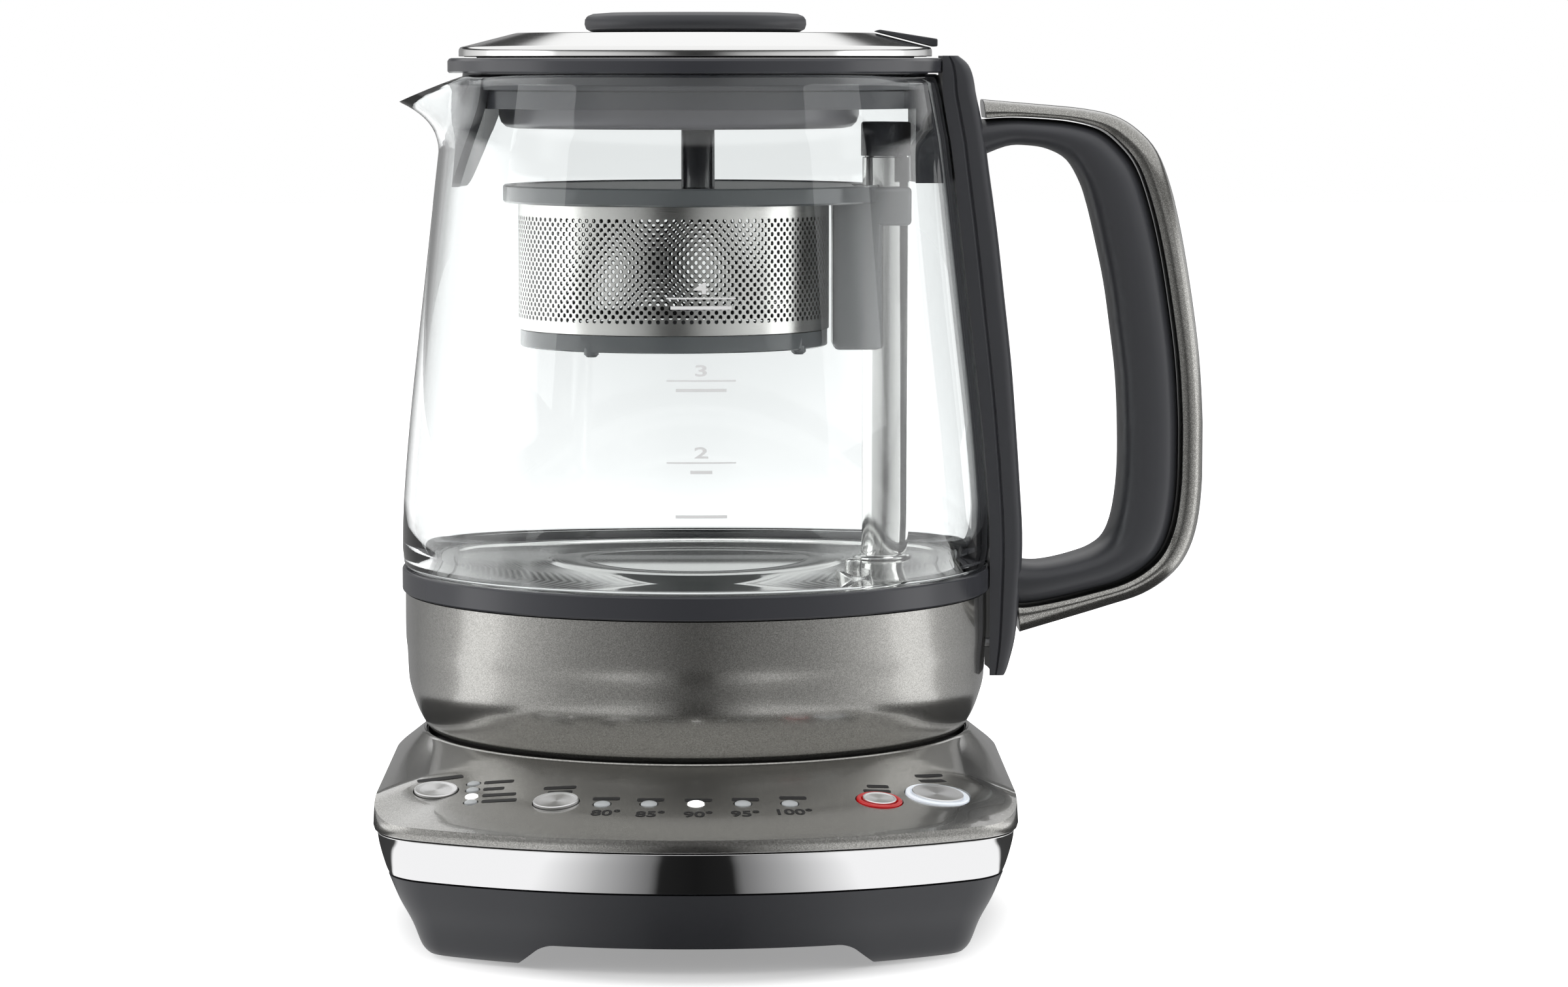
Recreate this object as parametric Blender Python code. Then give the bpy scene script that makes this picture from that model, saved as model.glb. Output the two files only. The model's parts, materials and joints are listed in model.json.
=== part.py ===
"""Automatic tea maker: a glass jug with a driven tea basket, standing on a power base with buttons.

Sizes are laid out round the jug's axis, x = 0 and y = 0, with the table at z = 0. The controls face -Y, the
handle points to +X and the pouring spout to -X. At the end the whole model is moved so that the middle of
its footprint is the origin.
"""

import math

import bmesh
import bpy
from mathutils import Matrix, Vector

MM = 0.001
CLEARANCE = 0.3 * MM
OVERRUN = 1.0 * MM
MERGE_DISTANCE = 0.001 * MM
SMOOTH_ANGLE = math.radians(32)
UP = Vector((0.0, 0.0, 1.0))

FINE_SEGMENTS = 28
MEDIUM_SEGMENTS = 16
SMALL_SEGMENTS = 12
TINY_SEGMENTS = 8

# Jug radius at the shell: the seat, glass, collar, lid, post and basket follow it
SHELL_RADIUS = 75.6 * MM

# Base, plan view
SEAT_TUCK = 5.2 * MM
SEAT_RADIUS = SHELL_RADIUS - SEAT_TUCK
BASE_SIDE_MARGIN = 8.1 * MM
BASE_HALF_WIDTH = SEAT_RADIUS + BASE_SIDE_MARGIN
PANEL_DEPTH = 43.5 * MM
BASE_FRONT_REACH = BASE_HALF_WIDTH + PANEL_DEPTH
BASE_FRONT_SETBACK = 8.0 * MM
BASE_FRONT_RADIUS = BASE_FRONT_REACH + BASE_FRONT_SETBACK
BASE_CORNER_RADIUS = 22.0 * MM
BASE_WALL = 2.2 * MM

# Base, heights
FOOT_HEIGHT = 1.0 * MM
TRAY_ARCH_Z = 6.6 * MM
COVER_EDGE_Z = 32.8 * MM
TRAY_DROP = 12.2 * MM
TRAY_TOP_Z = COVER_EDGE_Z - TRAY_DROP
COVER_LIP_HEIGHT = 1.5 * MM
COVER_LIP_TOP_Z = 34.5 * MM
SEAT_FLOOR_Z = 39.7 * MM
SEAT_RIM_Z = 44.6 * MM

# Power connector between base and jug
CONNECTOR_RADIUS = 13.5 * MM
CONNECTOR_TOP_Z = 49.0 * MM
CONNECTOR_FLANGE_RADIUS = 20.0 * MM
CONNECTOR_CUP_RADIUS = 19.0 * MM
CONNECTOR_CUP_TOP_Z = 58.0 * MM

# Jug, lower body
JUG_BOTTOM_Z = SEAT_FLOOR_Z + CLEARANCE
JUG_PLATE_TUCK = 7.4 * MM
JUG_PLATE_RADIUS = SEAT_RADIUS - JUG_PLATE_TUCK
JUG_PLATE_THICKNESS = 1.2 * MM
SHELL_TOP_Z = 80.5 * MM
SHELL_WALL = 1.8 * MM
BAND_STEP = 0.8 * MM
BAND_RADIUS = SHELL_RADIUS + BAND_STEP
BAND_TOP_Z = 86.9 * MM
HEATER_TUCK = 7.0 * MM
HEATER_RADIUS = SHELL_RADIUS - HEATER_TUCK
HEATER_TOP_Z = 84.4 * MM

# Jug, glass and collar
GLASS_TUCK = 0.1 * MM
GLASS_RADIUS = BAND_RADIUS - GLASS_TUCK
GLASS_WALL = 2.5 * MM
GLASS_BELLY_RISE = 5.1 * MM
GLASS_BELLY_Z = BAND_TOP_Z + GLASS_BELLY_RISE
GLASS_TOP_Z = 213.9 * MM
GLASS_TAPER = 13.3 * MM
GLASS_RIM_RADIUS = GLASS_RADIUS - GLASS_TAPER
SPOUT_HEIGHT = 19.9 * MM
SPOUT_START_Z = GLASS_TOP_Z - SPOUT_HEIGHT
SPOUT_REACH = 14.0 * MM
SPOUT_DROP = 7.0 * MM
COLLAR_RISE = 4.1 * MM
COLLAR_TOP_Z = GLASS_TOP_Z + COLLAR_RISE
COLLAR_STEP = 0.9 * MM
COLLAR_RADIUS = GLASS_RIM_RADIUS + COLLAR_STEP
COLLAR_WALL = 1.6 * MM

# Post and drive
POST_TUCK = 13.7 * MM
POST_X = GLASS_RIM_RADIUS - POST_TUCK
POST_RADIUS = 6.1 * MM
POST_BORE_RADIUS = 4.9 * MM
POST_BOTTOM_Z = 79.0 * MM
POST_DROP = 15.9 * MM
POST_TOP_Z = GLASS_TOP_Z - POST_DROP
POST_CAP_RISE = 3.6 * MM
POST_CAP_TOP_Z = POST_TOP_Z + POST_CAP_RISE
SCREW_RADIUS = 2.0 * MM
MOTOR_RADIUS = 7.0 * MM
GEARBOX_RADIUS = 9.0 * MM

# Handle
HANDLE_OUT = 55.8 * MM
HANDLE_REACH = SHELL_RADIUS + HANDLE_OUT
HANDLE_ROOT_TUCK = 6.615 * MM
HANDLE_ROOT_X = SHELL_RADIUS - HANDLE_ROOT_TUCK
HANDLE_HALF_WIDTH = 12.5 * MM
HANDLE_BOTTOM_Z = 68.0 * MM
SPINE_HALF_WIDTH = 11.0 * MM
SPINE_BOTTOM_Z = 58.7 * MM
SPINE_RISE = 0.6 * MM
SPINE_TOP_Z = COLLAR_TOP_Z + SPINE_RISE
HANDLE_DROP = 10.6 * MM
HANDLE_TOP_Z = SPINE_TOP_Z - HANDLE_DROP

# Lid
LID_TUCK = 2.9 * MM
LID_RADIUS = COLLAR_RADIUS - LID_TUCK
LID_SLOPE_WIDTH = 14.8 * MM
LID_TOP_RADIUS = LID_RADIUS - LID_SLOPE_WIDTH
LID_RISE = 6.4 * MM
LID_TOP_Z = COLLAR_TOP_Z + LID_RISE
KNOB_RADIUS = 28.6 * MM
KNOB_HEIGHT = 5.0 * MM

# Basket
BASKET_TUCK = 22.8 * MM
BASKET_RADIUS = GLASS_RIM_RADIUS - BASKET_TUCK
BASKET_POST_GAP = 14.8 * MM
BASKET_CENTRE_X = POST_X - BASKET_POST_GAP - BASKET_RADIUS
BASKET_WALL = 0.8 * MM
BASKET_DROP = 28.4 * MM
BASKET_RIM_TOP_Z = GLASS_TOP_Z - BASKET_DROP
BASKET_HEIGHT = 41.5 * MM
BASKET_BOTTOM_Z = BASKET_RIM_TOP_Z - BASKET_HEIGHT
BASKET_RIM_SHIFT = 4.5 * MM
BASKET_RIM_CENTRE_X = BASKET_CENTRE_X + BASKET_RIM_SHIFT
BASKET_RIM_STEP = 8.4 * MM
BASKET_RIM_RADIUS = BASKET_RADIUS + BASKET_RIM_STEP
FORK_HALF_WIDTH = 9.5 * MM
BASKET_GRIP_HEIGHT = 14.1 * MM
BASKET_GRIP_TOP_Z = BASKET_RIM_TOP_Z + BASKET_GRIP_HEIGHT


# Shared tools

def point_at(centre, radius, angle):
    """Point of a circle in plan."""
    return Vector((centre[0] + radius * math.cos(angle), centre[1] + radius * math.sin(angle)))


def arc_points(centre, radius, start, end, steps):
    """Points of an arc in plan, with both ends."""
    return [point_at(centre, radius, start + (end - start) * i / steps) for i in range(steps + 1)]


def at_height(points, height):
    """Plan points lifted to one height."""
    return [Vector((point.x, point.y, height)) for point in points]


def material(name, colour, roughness, metallic=0.0, transmission=0.0):
    """Principled material with a linear base colour."""
    made = bpy.data.materials.new(name)
    made.use_nodes = True
    shader = made.node_tree.nodes["Principled BSDF"]
    shader.inputs["Base Color"].default_value = (*colour, 1.0)
    shader.inputs["Roughness"].default_value = roughness
    shader.inputs["Metallic"].default_value = metallic
    shader.inputs["Transmission Weight"].default_value = transmission
    return made


def mesh_from(name, bm, smooth=True):
    """Turn a finished bmesh into a mesh with its faces pointing out."""
    bmesh.ops.recalc_face_normals(bm, faces=bm.faces)
    mesh = bpy.data.meshes.new(name)
    bm.to_mesh(mesh)
    bm.free()
    if smooth:
        mesh.shade_smooth()
        mesh.set_sharp_from_angle(angle=SMOOTH_ANGLE)
    return mesh


def add_object(name, mesh, finish=None, matrix=None):
    """Link a mesh as an object with its material, at a placing matrix."""
    thing = bpy.data.objects.new(name, mesh)
    if finish is not None and not mesh.materials:
        mesh.materials.append(finish)
    if matrix is not None:
        thing.matrix_world = matrix
    bpy.context.scene.collection.objects.link(thing)
    return thing


def loft_mesh(name, rings, closed=False, smooth=True):
    """Skin rings of equal counts; closed joins the last ring to the first, else both ends are capped."""
    bm = bmesh.new()
    loops = [[bm.verts.new(point) for point in ring] for ring in rings]
    pairs = list(zip(loops, loops[1:]))
    if closed:
        pairs.append((loops[-1], loops[0]))
    for lower, upper in pairs:
        for near, far, high_near, high_far in zip(lower, lower[1:] + lower[:1], upper, upper[1:] + upper[:1]):
            bm.faces.new((near, far, high_far, high_near))
    if not closed:
        bm.faces.new(loops[0])
        bm.faces.new(loops[-1])
    return mesh_from(name, bm, smooth)


def turned_mesh(name, profile, segments, centre=(0.0, 0.0), smooth=True):
    """Turn (radius, height) points round a vertical axis; a profile with both ends on the axis is solid.

    A piece that stands off the jug's axis is turned by half a facet, so that no cut runs along an edge.
    """
    bm = bmesh.new()
    verts = [bm.verts.new((radius, 0.0, height)) for radius, height in profile]
    edges = [bm.edges.new(pair) for pair in zip(verts, verts[1:])]
    if profile[0][0] > 0.0:
        edges.append(bm.edges.new((verts[-1], verts[0])))
    bmesh.ops.spin(bm, geom=verts + edges, cent=(0, 0, 0), axis=UP, angle=math.tau, steps=segments, use_merge=True)
    bmesh.ops.remove_doubles(bm, verts=bm.verts, dist=MERGE_DISTANCE)
    if centre[0] != 0.0:
        half_facet = Matrix.Rotation(math.pi / segments, 3, "Z")
        bmesh.ops.rotate(bm, verts=bm.verts, cent=(0, 0, 0), matrix=half_facet)
    bmesh.ops.translate(bm, verts=bm.verts, vec=(centre[0], centre[1], 0.0))
    return mesh_from(name, bm, smooth)


def disc_profile(radius, bottom, top, chamfer=0.0):
    """Profile of a plain solid disc, with both rims chamfered."""
    if chamfer == 0.0:
        return [(0.0, bottom), (radius, bottom), (radius, top), (0.0, top)]
    return [
        (0.0, bottom),
        (radius - chamfer, bottom),
        (radius, bottom + chamfer),
        (radius, top - chamfer),
        (radius - chamfer, top),
        (0.0, top),
    ]


def tube_profile(outer, inner, bottom, top):
    """Profile of a plain ring."""
    return [(outer, bottom), (outer, top), (inner, top), (inner, bottom)]


def box_mesh(name, low, high, chamfer=0.0):
    """Box between two corners, with its edges chamfered."""
    bm = bmesh.new()
    bmesh.ops.create_cube(bm, size=1.0)
    size = Vector(high) - Vector(low)
    bmesh.ops.scale(bm, verts=bm.verts, vec=size)
    bmesh.ops.translate(bm, verts=bm.verts, vec=(Vector(high) + Vector(low)) / 2)
    if chamfer > 0.0:
        bmesh.ops.bevel(bm, geom=bm.edges, offset=chamfer, segments=1, profile=0.5, affect="EDGES")
    return mesh_from(name, bm, False)


def prism_mesh(name, outline, bottom, top, smooth=True):
    """Plan outline raised from one height to another."""
    return loft_mesh(name, [at_height(outline, bottom), at_height(outline, top)], smooth=smooth)


def combine(target, mesh, operation, matrix=None):
    """Add a Boolean of a hidden helper mesh to an object."""
    helper = add_object(f"{target.name}_{operation.lower()}_{len(target.modifiers)}", mesh, matrix=matrix)
    helper.hide_render = True
    helper.display_type = "WIRE"
    helper.parent = target
    helper.matrix_parent_inverse = target.matrix_world.inverted()
    boolean = target.modifiers.new(operation.title(), "BOOLEAN")
    boolean.operation = operation
    boolean.solver = "EXACT"
    boolean.object = helper


def cut(target, mesh, matrix=None):
    """Take a helper mesh away from an object."""
    combine(target, mesh, "DIFFERENCE", matrix)


def join(target, mesh, matrix=None):
    """Join a helper mesh to an object."""
    combine(target, mesh, "UNION", matrix)


def lerp(start, end, share):
    """Value between two others."""
    return start + (end - start) * share


# Materials, from the photo

def make_materials():
    """Every finish that the part uses, by name."""
    return {
        "pearl": material("pearl gunmetal plastic", (0.20, 0.19, 0.17), 0.32, 0.55),
        "dark": material("dark grey plastic", (0.055, 0.056, 0.065), 0.45),
        "black": material("black plastic", (0.012, 0.012, 0.013), 0.5),
        "steel": material("brushed steel", (0.62, 0.62, 0.61), 0.28, 1.0),
        "chrome": material("polished metal", (0.85, 0.85, 0.86), 0.08, 1.0),
        "glass": material("clear glass", (0.97, 0.99, 0.99), 0.02, 0.0, 1.0),
        "lens": material("clear lens", (0.85, 0.87, 0.88), 0.15, 0.0, 0.5),
        "red": material("red light", (0.75, 0.03, 0.03), 0.3),
        "rubber": material("grey rubber", (0.06, 0.06, 0.06), 0.8),
        "silicone": material("clear silicone", (0.6, 0.6, 0.6), 0.5),
        "board": material("circuit board", (0.03, 0.16, 0.07), 0.5),
        "brass": material("brass", (0.75, 0.55, 0.22), 0.3, 1.0),
        "frost": material("smoked clear plastic", (0.30, 0.31, 0.33), 0.2, 0.0, 0.4),
    }


# Base

BACK_STEPS = 16
SIDE_STEPS = 5
CORNER_STEPS = 3
FRONT_STEPS = 6

COVER_BOTTOM_Z = COVER_EDGE_Z - COVER_LIP_HEIGHT
COVER_SIDE_TOP_Z = 39.0 * MM
COVER_LIP_TUCK = 0.9 * MM
COVER_EDGE_INSET = 0.3 * MM
RIM_WIDTH = 1.0 * MM
RIM_ROUNDING = 0.2 * MM
PANEL_BREAK_RUN_SHARE = 0.8
PANEL_BREAK_DROP_SHARE = 0.76
PANEL_TURN_RUN_SHARE = 0.95
PANEL_TURN_DROP_SHARE = 0.93
SEAT_FLOOR_UNDER_Z = SEAT_FLOOR_Z - BASE_WALL


def base_outline(inset=0.0):
    """Widest plan line of the base less an inset: a round back, straight sides and a bowed front."""
    corner_x = BASE_HALF_WIDTH - BASE_CORNER_RADIUS
    front_y = BASE_FRONT_RADIUS - BASE_FRONT_REACH
    corner_y = front_y - math.sqrt((BASE_FRONT_RADIUS - BASE_CORNER_RADIUS) ** 2 - corner_x**2)
    turn = math.atan2(front_y - corner_y, corner_x)
    corner = BASE_CORNER_RADIUS - inset
    front = arc_points(
        (0.0, front_y), BASE_FRONT_RADIUS - inset, math.pi + turn, math.tau - turn, FRONT_STEPS
    )
    back = arc_points((0.0, 0.0), BASE_HALF_WIDTH - inset, 0.0, math.pi, BACK_STEPS)
    left_corner = arc_points((-corner_x, corner_y), corner, math.pi, math.pi + turn, CORNER_STEPS)
    right_corner = arc_points((corner_x, corner_y), corner, math.tau - turn, math.tau, CORNER_STEPS)
    side_turn = math.atan2(-corner_y, BASE_HALF_WIDTH)
    slants = [math.tan(side_turn * i / SIDE_STEPS) for i in range(1, SIDE_STEPS)]
    share = -corner_y / math.tan(side_turn)
    left_side = [Vector((inset - BASE_HALF_WIDTH, -share * slant)) for slant in slants]
    right_side = [Vector((-point.x, point.y)) for point in reversed(left_side)]
    return back + left_side + left_corner + front[1:-1] + right_corner + right_side


def base_ring(inset, height):
    """Base outline at an inset and a height."""
    return at_height(base_outline(inset), height)


def cover_edge_heights():
    """Height of the cover's upper edge at each outline point: low along the front, high at sides and back."""
    corner_top = -(BASE_FRONT_REACH - BASE_CORNER_RADIUS) + BASE_CORNER_RADIUS / 2
    heights = []
    for point in base_outline():
        share = min(max((corner_top + BASE_CORNER_RADIUS / 2 - point.y) / BASE_CORNER_RADIUS, 0.0), 1.0)
        heights.append(lerp(COVER_SIDE_TOP_Z, COVER_LIP_TOP_Z, share * share * (3.0 - 2.0 * share)))
    return heights


def seat_circle(radius, height):
    """Circle round the jug's axis whose points face the outline's points."""
    return [Vector((0.0, 0.0, height)) + Vector((p.x, p.y, 0.0)).normalized() * radius for p in base_outline()]


def panel_share_height(share, rim_z, edge_z):
    """Height of the cover's skin at a share of the way out from the seat's rim."""
    knots = (
        (0.0, 0.0),
        (PANEL_BREAK_RUN_SHARE, PANEL_BREAK_DROP_SHARE),
        (PANEL_TURN_RUN_SHARE, PANEL_TURN_DROP_SHARE),
        (1.0, 1.0),
    )
    for (start, start_drop), (end, end_drop) in zip(knots, knots[1:]):
        if share <= end:
            drop = lerp(start_drop, end_drop, (share - start) / (end - start))
            return lerp(rim_z, edge_z, drop)
    return edge_z


def panel_ring(share, thickness=0.0):
    """Ring of the cover's skin, or of its underside one wall further in."""
    ring = []
    inner = seat_circle(SEAT_RADIUS + RIM_WIDTH, SEAT_RIM_Z)
    for start, end, edge_z in zip(inner, base_ring(COVER_EDGE_INSET, 0.0), cover_edge_heights()):
        run = (Vector((end.x, end.y, start.z)) - start).length
        slope = (start.z - edge_z) / run
        height = panel_share_height(share, start.z, edge_z) - thickness * math.sqrt(1.0 + slope * slope)
        ring.append(Vector((lerp(start.x, end.x, share), lerp(start.y, end.y, share), height)))
    return ring


def inner_panel_ring(share):
    """Ring of the cover's underside, kept one wall inside the skin's two ends."""
    ring = []
    start_ring = seat_circle(SEAT_RADIUS + BASE_WALL, 0.0)
    end_ring = base_ring(COVER_EDGE_INSET + BASE_WALL, 0.0)
    outer = seat_circle(SEAT_RADIUS + RIM_WIDTH, SEAT_RIM_Z)
    edge = base_ring(COVER_EDGE_INSET, 0.0)
    for start, end, near, far, edge_z in zip(start_ring, end_ring, outer, edge, cover_edge_heights()):
        x, y = lerp(start.x, end.x, share), lerp(start.y, end.y, share)
        run = math.hypot(far.x - near.x, far.y - near.y)
        slope = (near.z - edge_z) / run
        out_share = math.hypot(x - near.x, y - near.y) / run
        height = panel_share_height(out_share, near.z, edge_z) - BASE_WALL * math.sqrt(1.0 + slope * slope)
        ring.append(Vector((x, y, height)))
    return ring


def panel_frame(place):
    """Matrix at a place of the control panel, its Z square to the panel's skin there."""
    angle = math.atan2(place[1], place[0])
    inner, outer = panel_ring(0.0), panel_ring(PANEL_BREAK_RUN_SHARE)
    count = len(inner)
    turns = [math.remainder(angle - math.atan2(point.y, point.x), math.tau) for point in outer]
    index = min((i for i in range(count) if turns[i] >= 0.0), key=lambda i: turns[i])
    after = (index + 1) % count
    share = turns[index] / (turns[index] - turns[after])
    near, far = inner[index].lerp(inner[after], share), outer[index].lerp(outer[after], share)
    near_radius, far_radius = math.hypot(near.x, near.y), math.hypot(far.x, far.y)
    out = (math.hypot(*place) - near_radius) / (far_radius - near_radius)
    across = inner[after].lerp(outer[after], out) - inner[index].lerp(outer[index], out)
    normal = (far - near).cross(across).normalized()
    side = UP.cross(normal).normalized()
    front = normal.cross(side)
    rotation = Matrix((-front, side, normal)).transposed()
    return Matrix.Translation((place[0], place[1], lerp(near.z, far.z, out))) @ rotation.to_4x4()


TRAY_PROFILE_SHARES = ((1.0, 0.0), (0.70, 0.26), (0.38, 0.57), (0.0, 1.0))
TRAY_TOP_INSET = 3.7 * MM
TRAY_BOTTOM_INSET = 13.6 * MM
TRAY_FLOOR_TOP_Z = TRAY_ARCH_Z + BASE_WALL
BAND_BOTTOM_Z = TRAY_TOP_Z + CLEARANCE
BAND_TOP_EDGE_Z = COVER_BOTTOM_Z - CLEARANCE
BASE_BAND_WALL = 1.4 * MM
BASE_BAND_PROFILE_SHARES = ((0.0, 1.0), (0.36, 0.47), (0.72, 0.12), (1.0, 0.0))
BASE_BAND_TOP_INSET = 1.0 * MM
BASE_BAND_BOTTOM_INSET = 3.8 * MM
ARCH_MARGIN = 32.5 * MM
ARCH_HALF_WIDTH = BASE_HALF_WIDTH - ARCH_MARGIN
ARCH_BACK_MARGIN = 48.5 * MM
ARCH_BACK_HALF_WIDTH = BASE_HALF_WIDTH - ARCH_BACK_MARGIN
ARCH_SLANT = 8.0 * MM
RUBBER_FOOT_RADIUS = 6.0 * MM
RUBBER_FOOT_HEIGHT = 2.0 * MM
FOOT_SIDE_MARGIN = 25.0 * MM
FOOT_FRONT_MARGIN = 39.0 * MM
FOOT_BACK_MARGIN = 21.5 * MM
FRONT_FOOT_PLACE = (BASE_HALF_WIDTH - FOOT_SIDE_MARGIN, FOOT_FRONT_MARGIN - BASE_FRONT_REACH)
BACK_FOOT_PLACE = point_at((0.0, 0.0), BASE_HALF_WIDTH - FOOT_BACK_MARGIN, math.pi / 4)
SIDE_ARCH_Y = (BASE_HALF_WIDTH - BASE_FRONT_REACH) / 2
BASE_SCREW_MARGIN = 20.4 * MM
BASE_SCREW_X = SEAT_RADIUS - BASE_SCREW_MARGIN
BASE_SCREW_SEAT_MARGIN = 3.13 * MM
BASE_SCREW_FRONT_Y = -math.sqrt((SEAT_RADIUS - BASE_SCREW_SEAT_MARGIN) ** 2 - BASE_SCREW_X**2)
BASE_SCREW_ARCH_MARGIN = 19.25 * MM
BASE_SCREW_BACK_Y = SIDE_ARCH_Y + ARCH_HALF_WIDTH - BASE_SCREW_ARCH_MARGIN
BOSS_RADIUS = 4.0 * MM
SCREW_SHANK_RADIUS = 1.3 * MM
SCREW_HEAD_RADIUS = 3.0 * MM
SCREW_HEAD_HEIGHT = 1.5 * MM
SCREW_LENGTH = 14.0 * MM
GLAND_RADIUS = 3.8 * MM
GLAND_BORE_RADIUS = 2.6 * MM
GLAND_FLANGE_RADIUS = 5.2 * MM
GLAND_FLANGE_WIDTH = 2.4 * MM
GLAND_FLANGE_SETBACK = 11.4 * MM
GLAND_Z = 15.0 * MM
GLAND_TUCK = 0.5 * MM
GLAND_RIB_SHARES = (0.625, 0.75, 0.875)
BOARD_THICKNESS = 1.6 * MM
BOARD_LEG_RADIUS = 1.5 * MM
POWER_BOARD_HALF_LENGTH = 30.0 * MM
POWER_BOARD_BACK_Y = 20.0 * MM
POWER_BOARD_Z = 12.1 * MM
CONTROL_BOARD_Z = 27.0 * MM
TEMPERATURE_LENS_MARGIN = 23.6 * MM
TEMPERATURE_LENS_RADIUS = BASE_FRONT_REACH - TEMPERATURE_LENS_MARGIN
STRENGTH_SIDE_MARGIN = 14.9 * MM
STRENGTH_FRONT_MARGIN = 44.0 * MM
STRENGTH_BUTTON_PLACE = (STRENGTH_SIDE_MARGIN - BASE_HALF_WIDTH, STRENGTH_FRONT_MARGIN - BASE_FRONT_REACH)
CONTROL_BOARD_BACK_MARGIN = 6.4 * MM
CONTROL_BOARD_FRONT_MARGIN = 5.6 * MM
CONTROL_BOARD_INNER = TEMPERATURE_LENS_RADIUS - CONTROL_BOARD_BACK_MARGIN
CONTROL_BOARD_OUTER = TEMPERATURE_LENS_RADIUS + CONTROL_BOARD_FRONT_MARGIN
CONTROL_BOARD_END_ANGLE = math.radians(4.8)
STRENGTH_ANGLE = math.atan2(-STRENGTH_BUTTON_PLACE[0], -STRENGTH_BUTTON_PLACE[1])
CONTROL_BOARD_HALF_ANGLE = STRENGTH_ANGLE + CONTROL_BOARD_END_ANGLE
SWITCH_RADIUS = 3.0 * MM
SWITCH_HEIGHT = 3.4 * MM


def tray_insets():
    """(height, inset) pairs of the tray's outer side, from the bottom up."""
    pairs = []
    for height_share, inset_share in reversed(TRAY_PROFILE_SHARES):
        height = lerp(FOOT_HEIGHT, TRAY_TOP_Z, height_share)
        pairs.append((height, lerp(TRAY_TOP_INSET, TRAY_BOTTOM_INSET, inset_share)))
    return pairs


def tray_inset_at(height):
    """Inset of the tray's outer side at a height."""
    pairs = tray_insets()
    for (low, low_inset), (high, high_inset) in zip(pairs, pairs[1:]):
        if height <= high:
            return lerp(low_inset, high_inset, (height - low) / (high - low))
    return pairs[-1][1]


def arch_cutter(name):
    """Trapezoid channel that runs under the tray from front to back and narrows towards the back."""
    rings = []
    front, back = -BASE_FRONT_REACH - OVERRUN, BASE_HALF_WIDTH + OVERRUN
    for y, half in ((front, ARCH_HALF_WIDTH), (back, ARCH_BACK_HALF_WIDTH)):
        rings.append(trapezoid_ring(half, lambda x, z, y=y: Vector((x, y, z))))
    return loft_mesh(name, rings, smooth=False)


def side_arch_cutter(name):
    """Trapezoid channel that runs under the tray from side to side."""
    rings = []
    for x in (-BASE_HALF_WIDTH - OVERRUN, BASE_HALF_WIDTH + OVERRUN):
        rings.append(trapezoid_ring(ARCH_HALF_WIDTH, lambda y, z, x=x: Vector((x, SIDE_ARCH_Y + y, z))))
    return loft_mesh(name, rings, smooth=False)


def trapezoid_ring(half_width, place):
    """Cross-section of an arch, its slanted sides carried on below the tray."""
    slope = ARCH_SLANT / TRAY_ARCH_Z
    low = half_width + slope * OVERRUN
    return [place(-low, -OVERRUN), place(low, -OVERRUN), place(half_width - ARCH_SLANT, TRAY_ARCH_Z),
            place(ARCH_SLANT - half_width, TRAY_ARCH_Z)]


def foot_places():
    """Name suffix and plan place of each rubber foot."""
    places = {}
    for end, (x, y) in (("front", FRONT_FOOT_PLACE), ("rear", BACK_FOOT_PLACE)):
        for side, sign in (("left", -1.0), ("right", 1.0)):
            places[f"{end}_{side}"] = (sign * x, y)
    return places


def base_screw_places():
    """Name suffix and plan place of each screw that joins tray and cover."""
    places = {}
    for end, y in (("front", BASE_SCREW_FRONT_Y), ("rear", BASE_SCREW_BACK_Y)):
        for side, sign in (("left", -1.0), ("right", 1.0)):
            places[f"{end}_{side}"] = (sign * BASE_SCREW_X, y)
    return places


def turned_y_matrix(y, z):
    """Matrix that lays a turned piece along Y, its top towards +Y."""
    return Matrix.Translation((0.0, y, z)) @ Matrix.Rotation(-math.pi / 2, 4, "X")


def make_base_tray(finish):
    """Dark lower tray: arched underside, slanted sides, recesses for the feet, screw holes and cord hole."""
    outer = [base_ring(inset, height) for height, inset in tray_insets()]
    inner = [
        base_ring(tray_inset_at(height) + BASE_WALL, height)
        for height in (TRAY_TOP_Z, lerp(TRAY_FLOOR_TOP_Z, TRAY_TOP_Z, 1 / 2), TRAY_FLOOR_TOP_Z)
    ]
    tray = add_object("base_tray", loft_mesh("base_tray", outer + inner), finish)
    cut(tray, arch_cutter("front_arch"))
    cut(tray, side_arch_cutter("side_arch"))
    recess_top = RUBBER_FOOT_HEIGHT + CLEARANCE
    recess = disc_profile(RUBBER_FOOT_RADIUS + CLEARANCE, -OVERRUN, recess_top)
    for place in foot_places().values():
        cut(tray, turned_mesh("foot_recess", recess, SMALL_SEGMENTS, place))
    hole = disc_profile(SCREW_SHANK_RADIUS + CLEARANCE, -OVERRUN, TRAY_FLOOR_TOP_Z + OVERRUN)
    for place in base_screw_places().values():
        cut(tray, turned_mesh("screw_hole", hole, TINY_SEGMENTS, place))
    cord_hole = disc_profile(GLAND_RADIUS + CLEARANCE, -BASE_HALF_WIDTH / 4, BASE_HALF_WIDTH / 4)
    cut(tray, turned_mesh("cord_hole", cord_hole, SMALL_SEGMENTS), turned_y_matrix(BASE_HALF_WIDTH, GLAND_Z))
    return tray


def make_base_band(finish):
    """Polished metal band clamped between tray and cover."""
    pairs = []
    for height_share, inset_share in BASE_BAND_PROFILE_SHARES:
        height = lerp(BAND_BOTTOM_Z, BAND_TOP_EDGE_Z, height_share)
        pairs.append((height, lerp(BASE_BAND_TOP_INSET, BASE_BAND_BOTTOM_INSET, inset_share)))
    outer = [base_ring(inset, height) for height, inset in pairs]
    inner = [base_ring(inset + BASE_BAND_WALL, height) for height, inset in reversed(pairs)]
    return add_object("base_chrome_band", loft_mesh("base_chrome_band", outer + inner, closed=True), finish)


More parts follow.
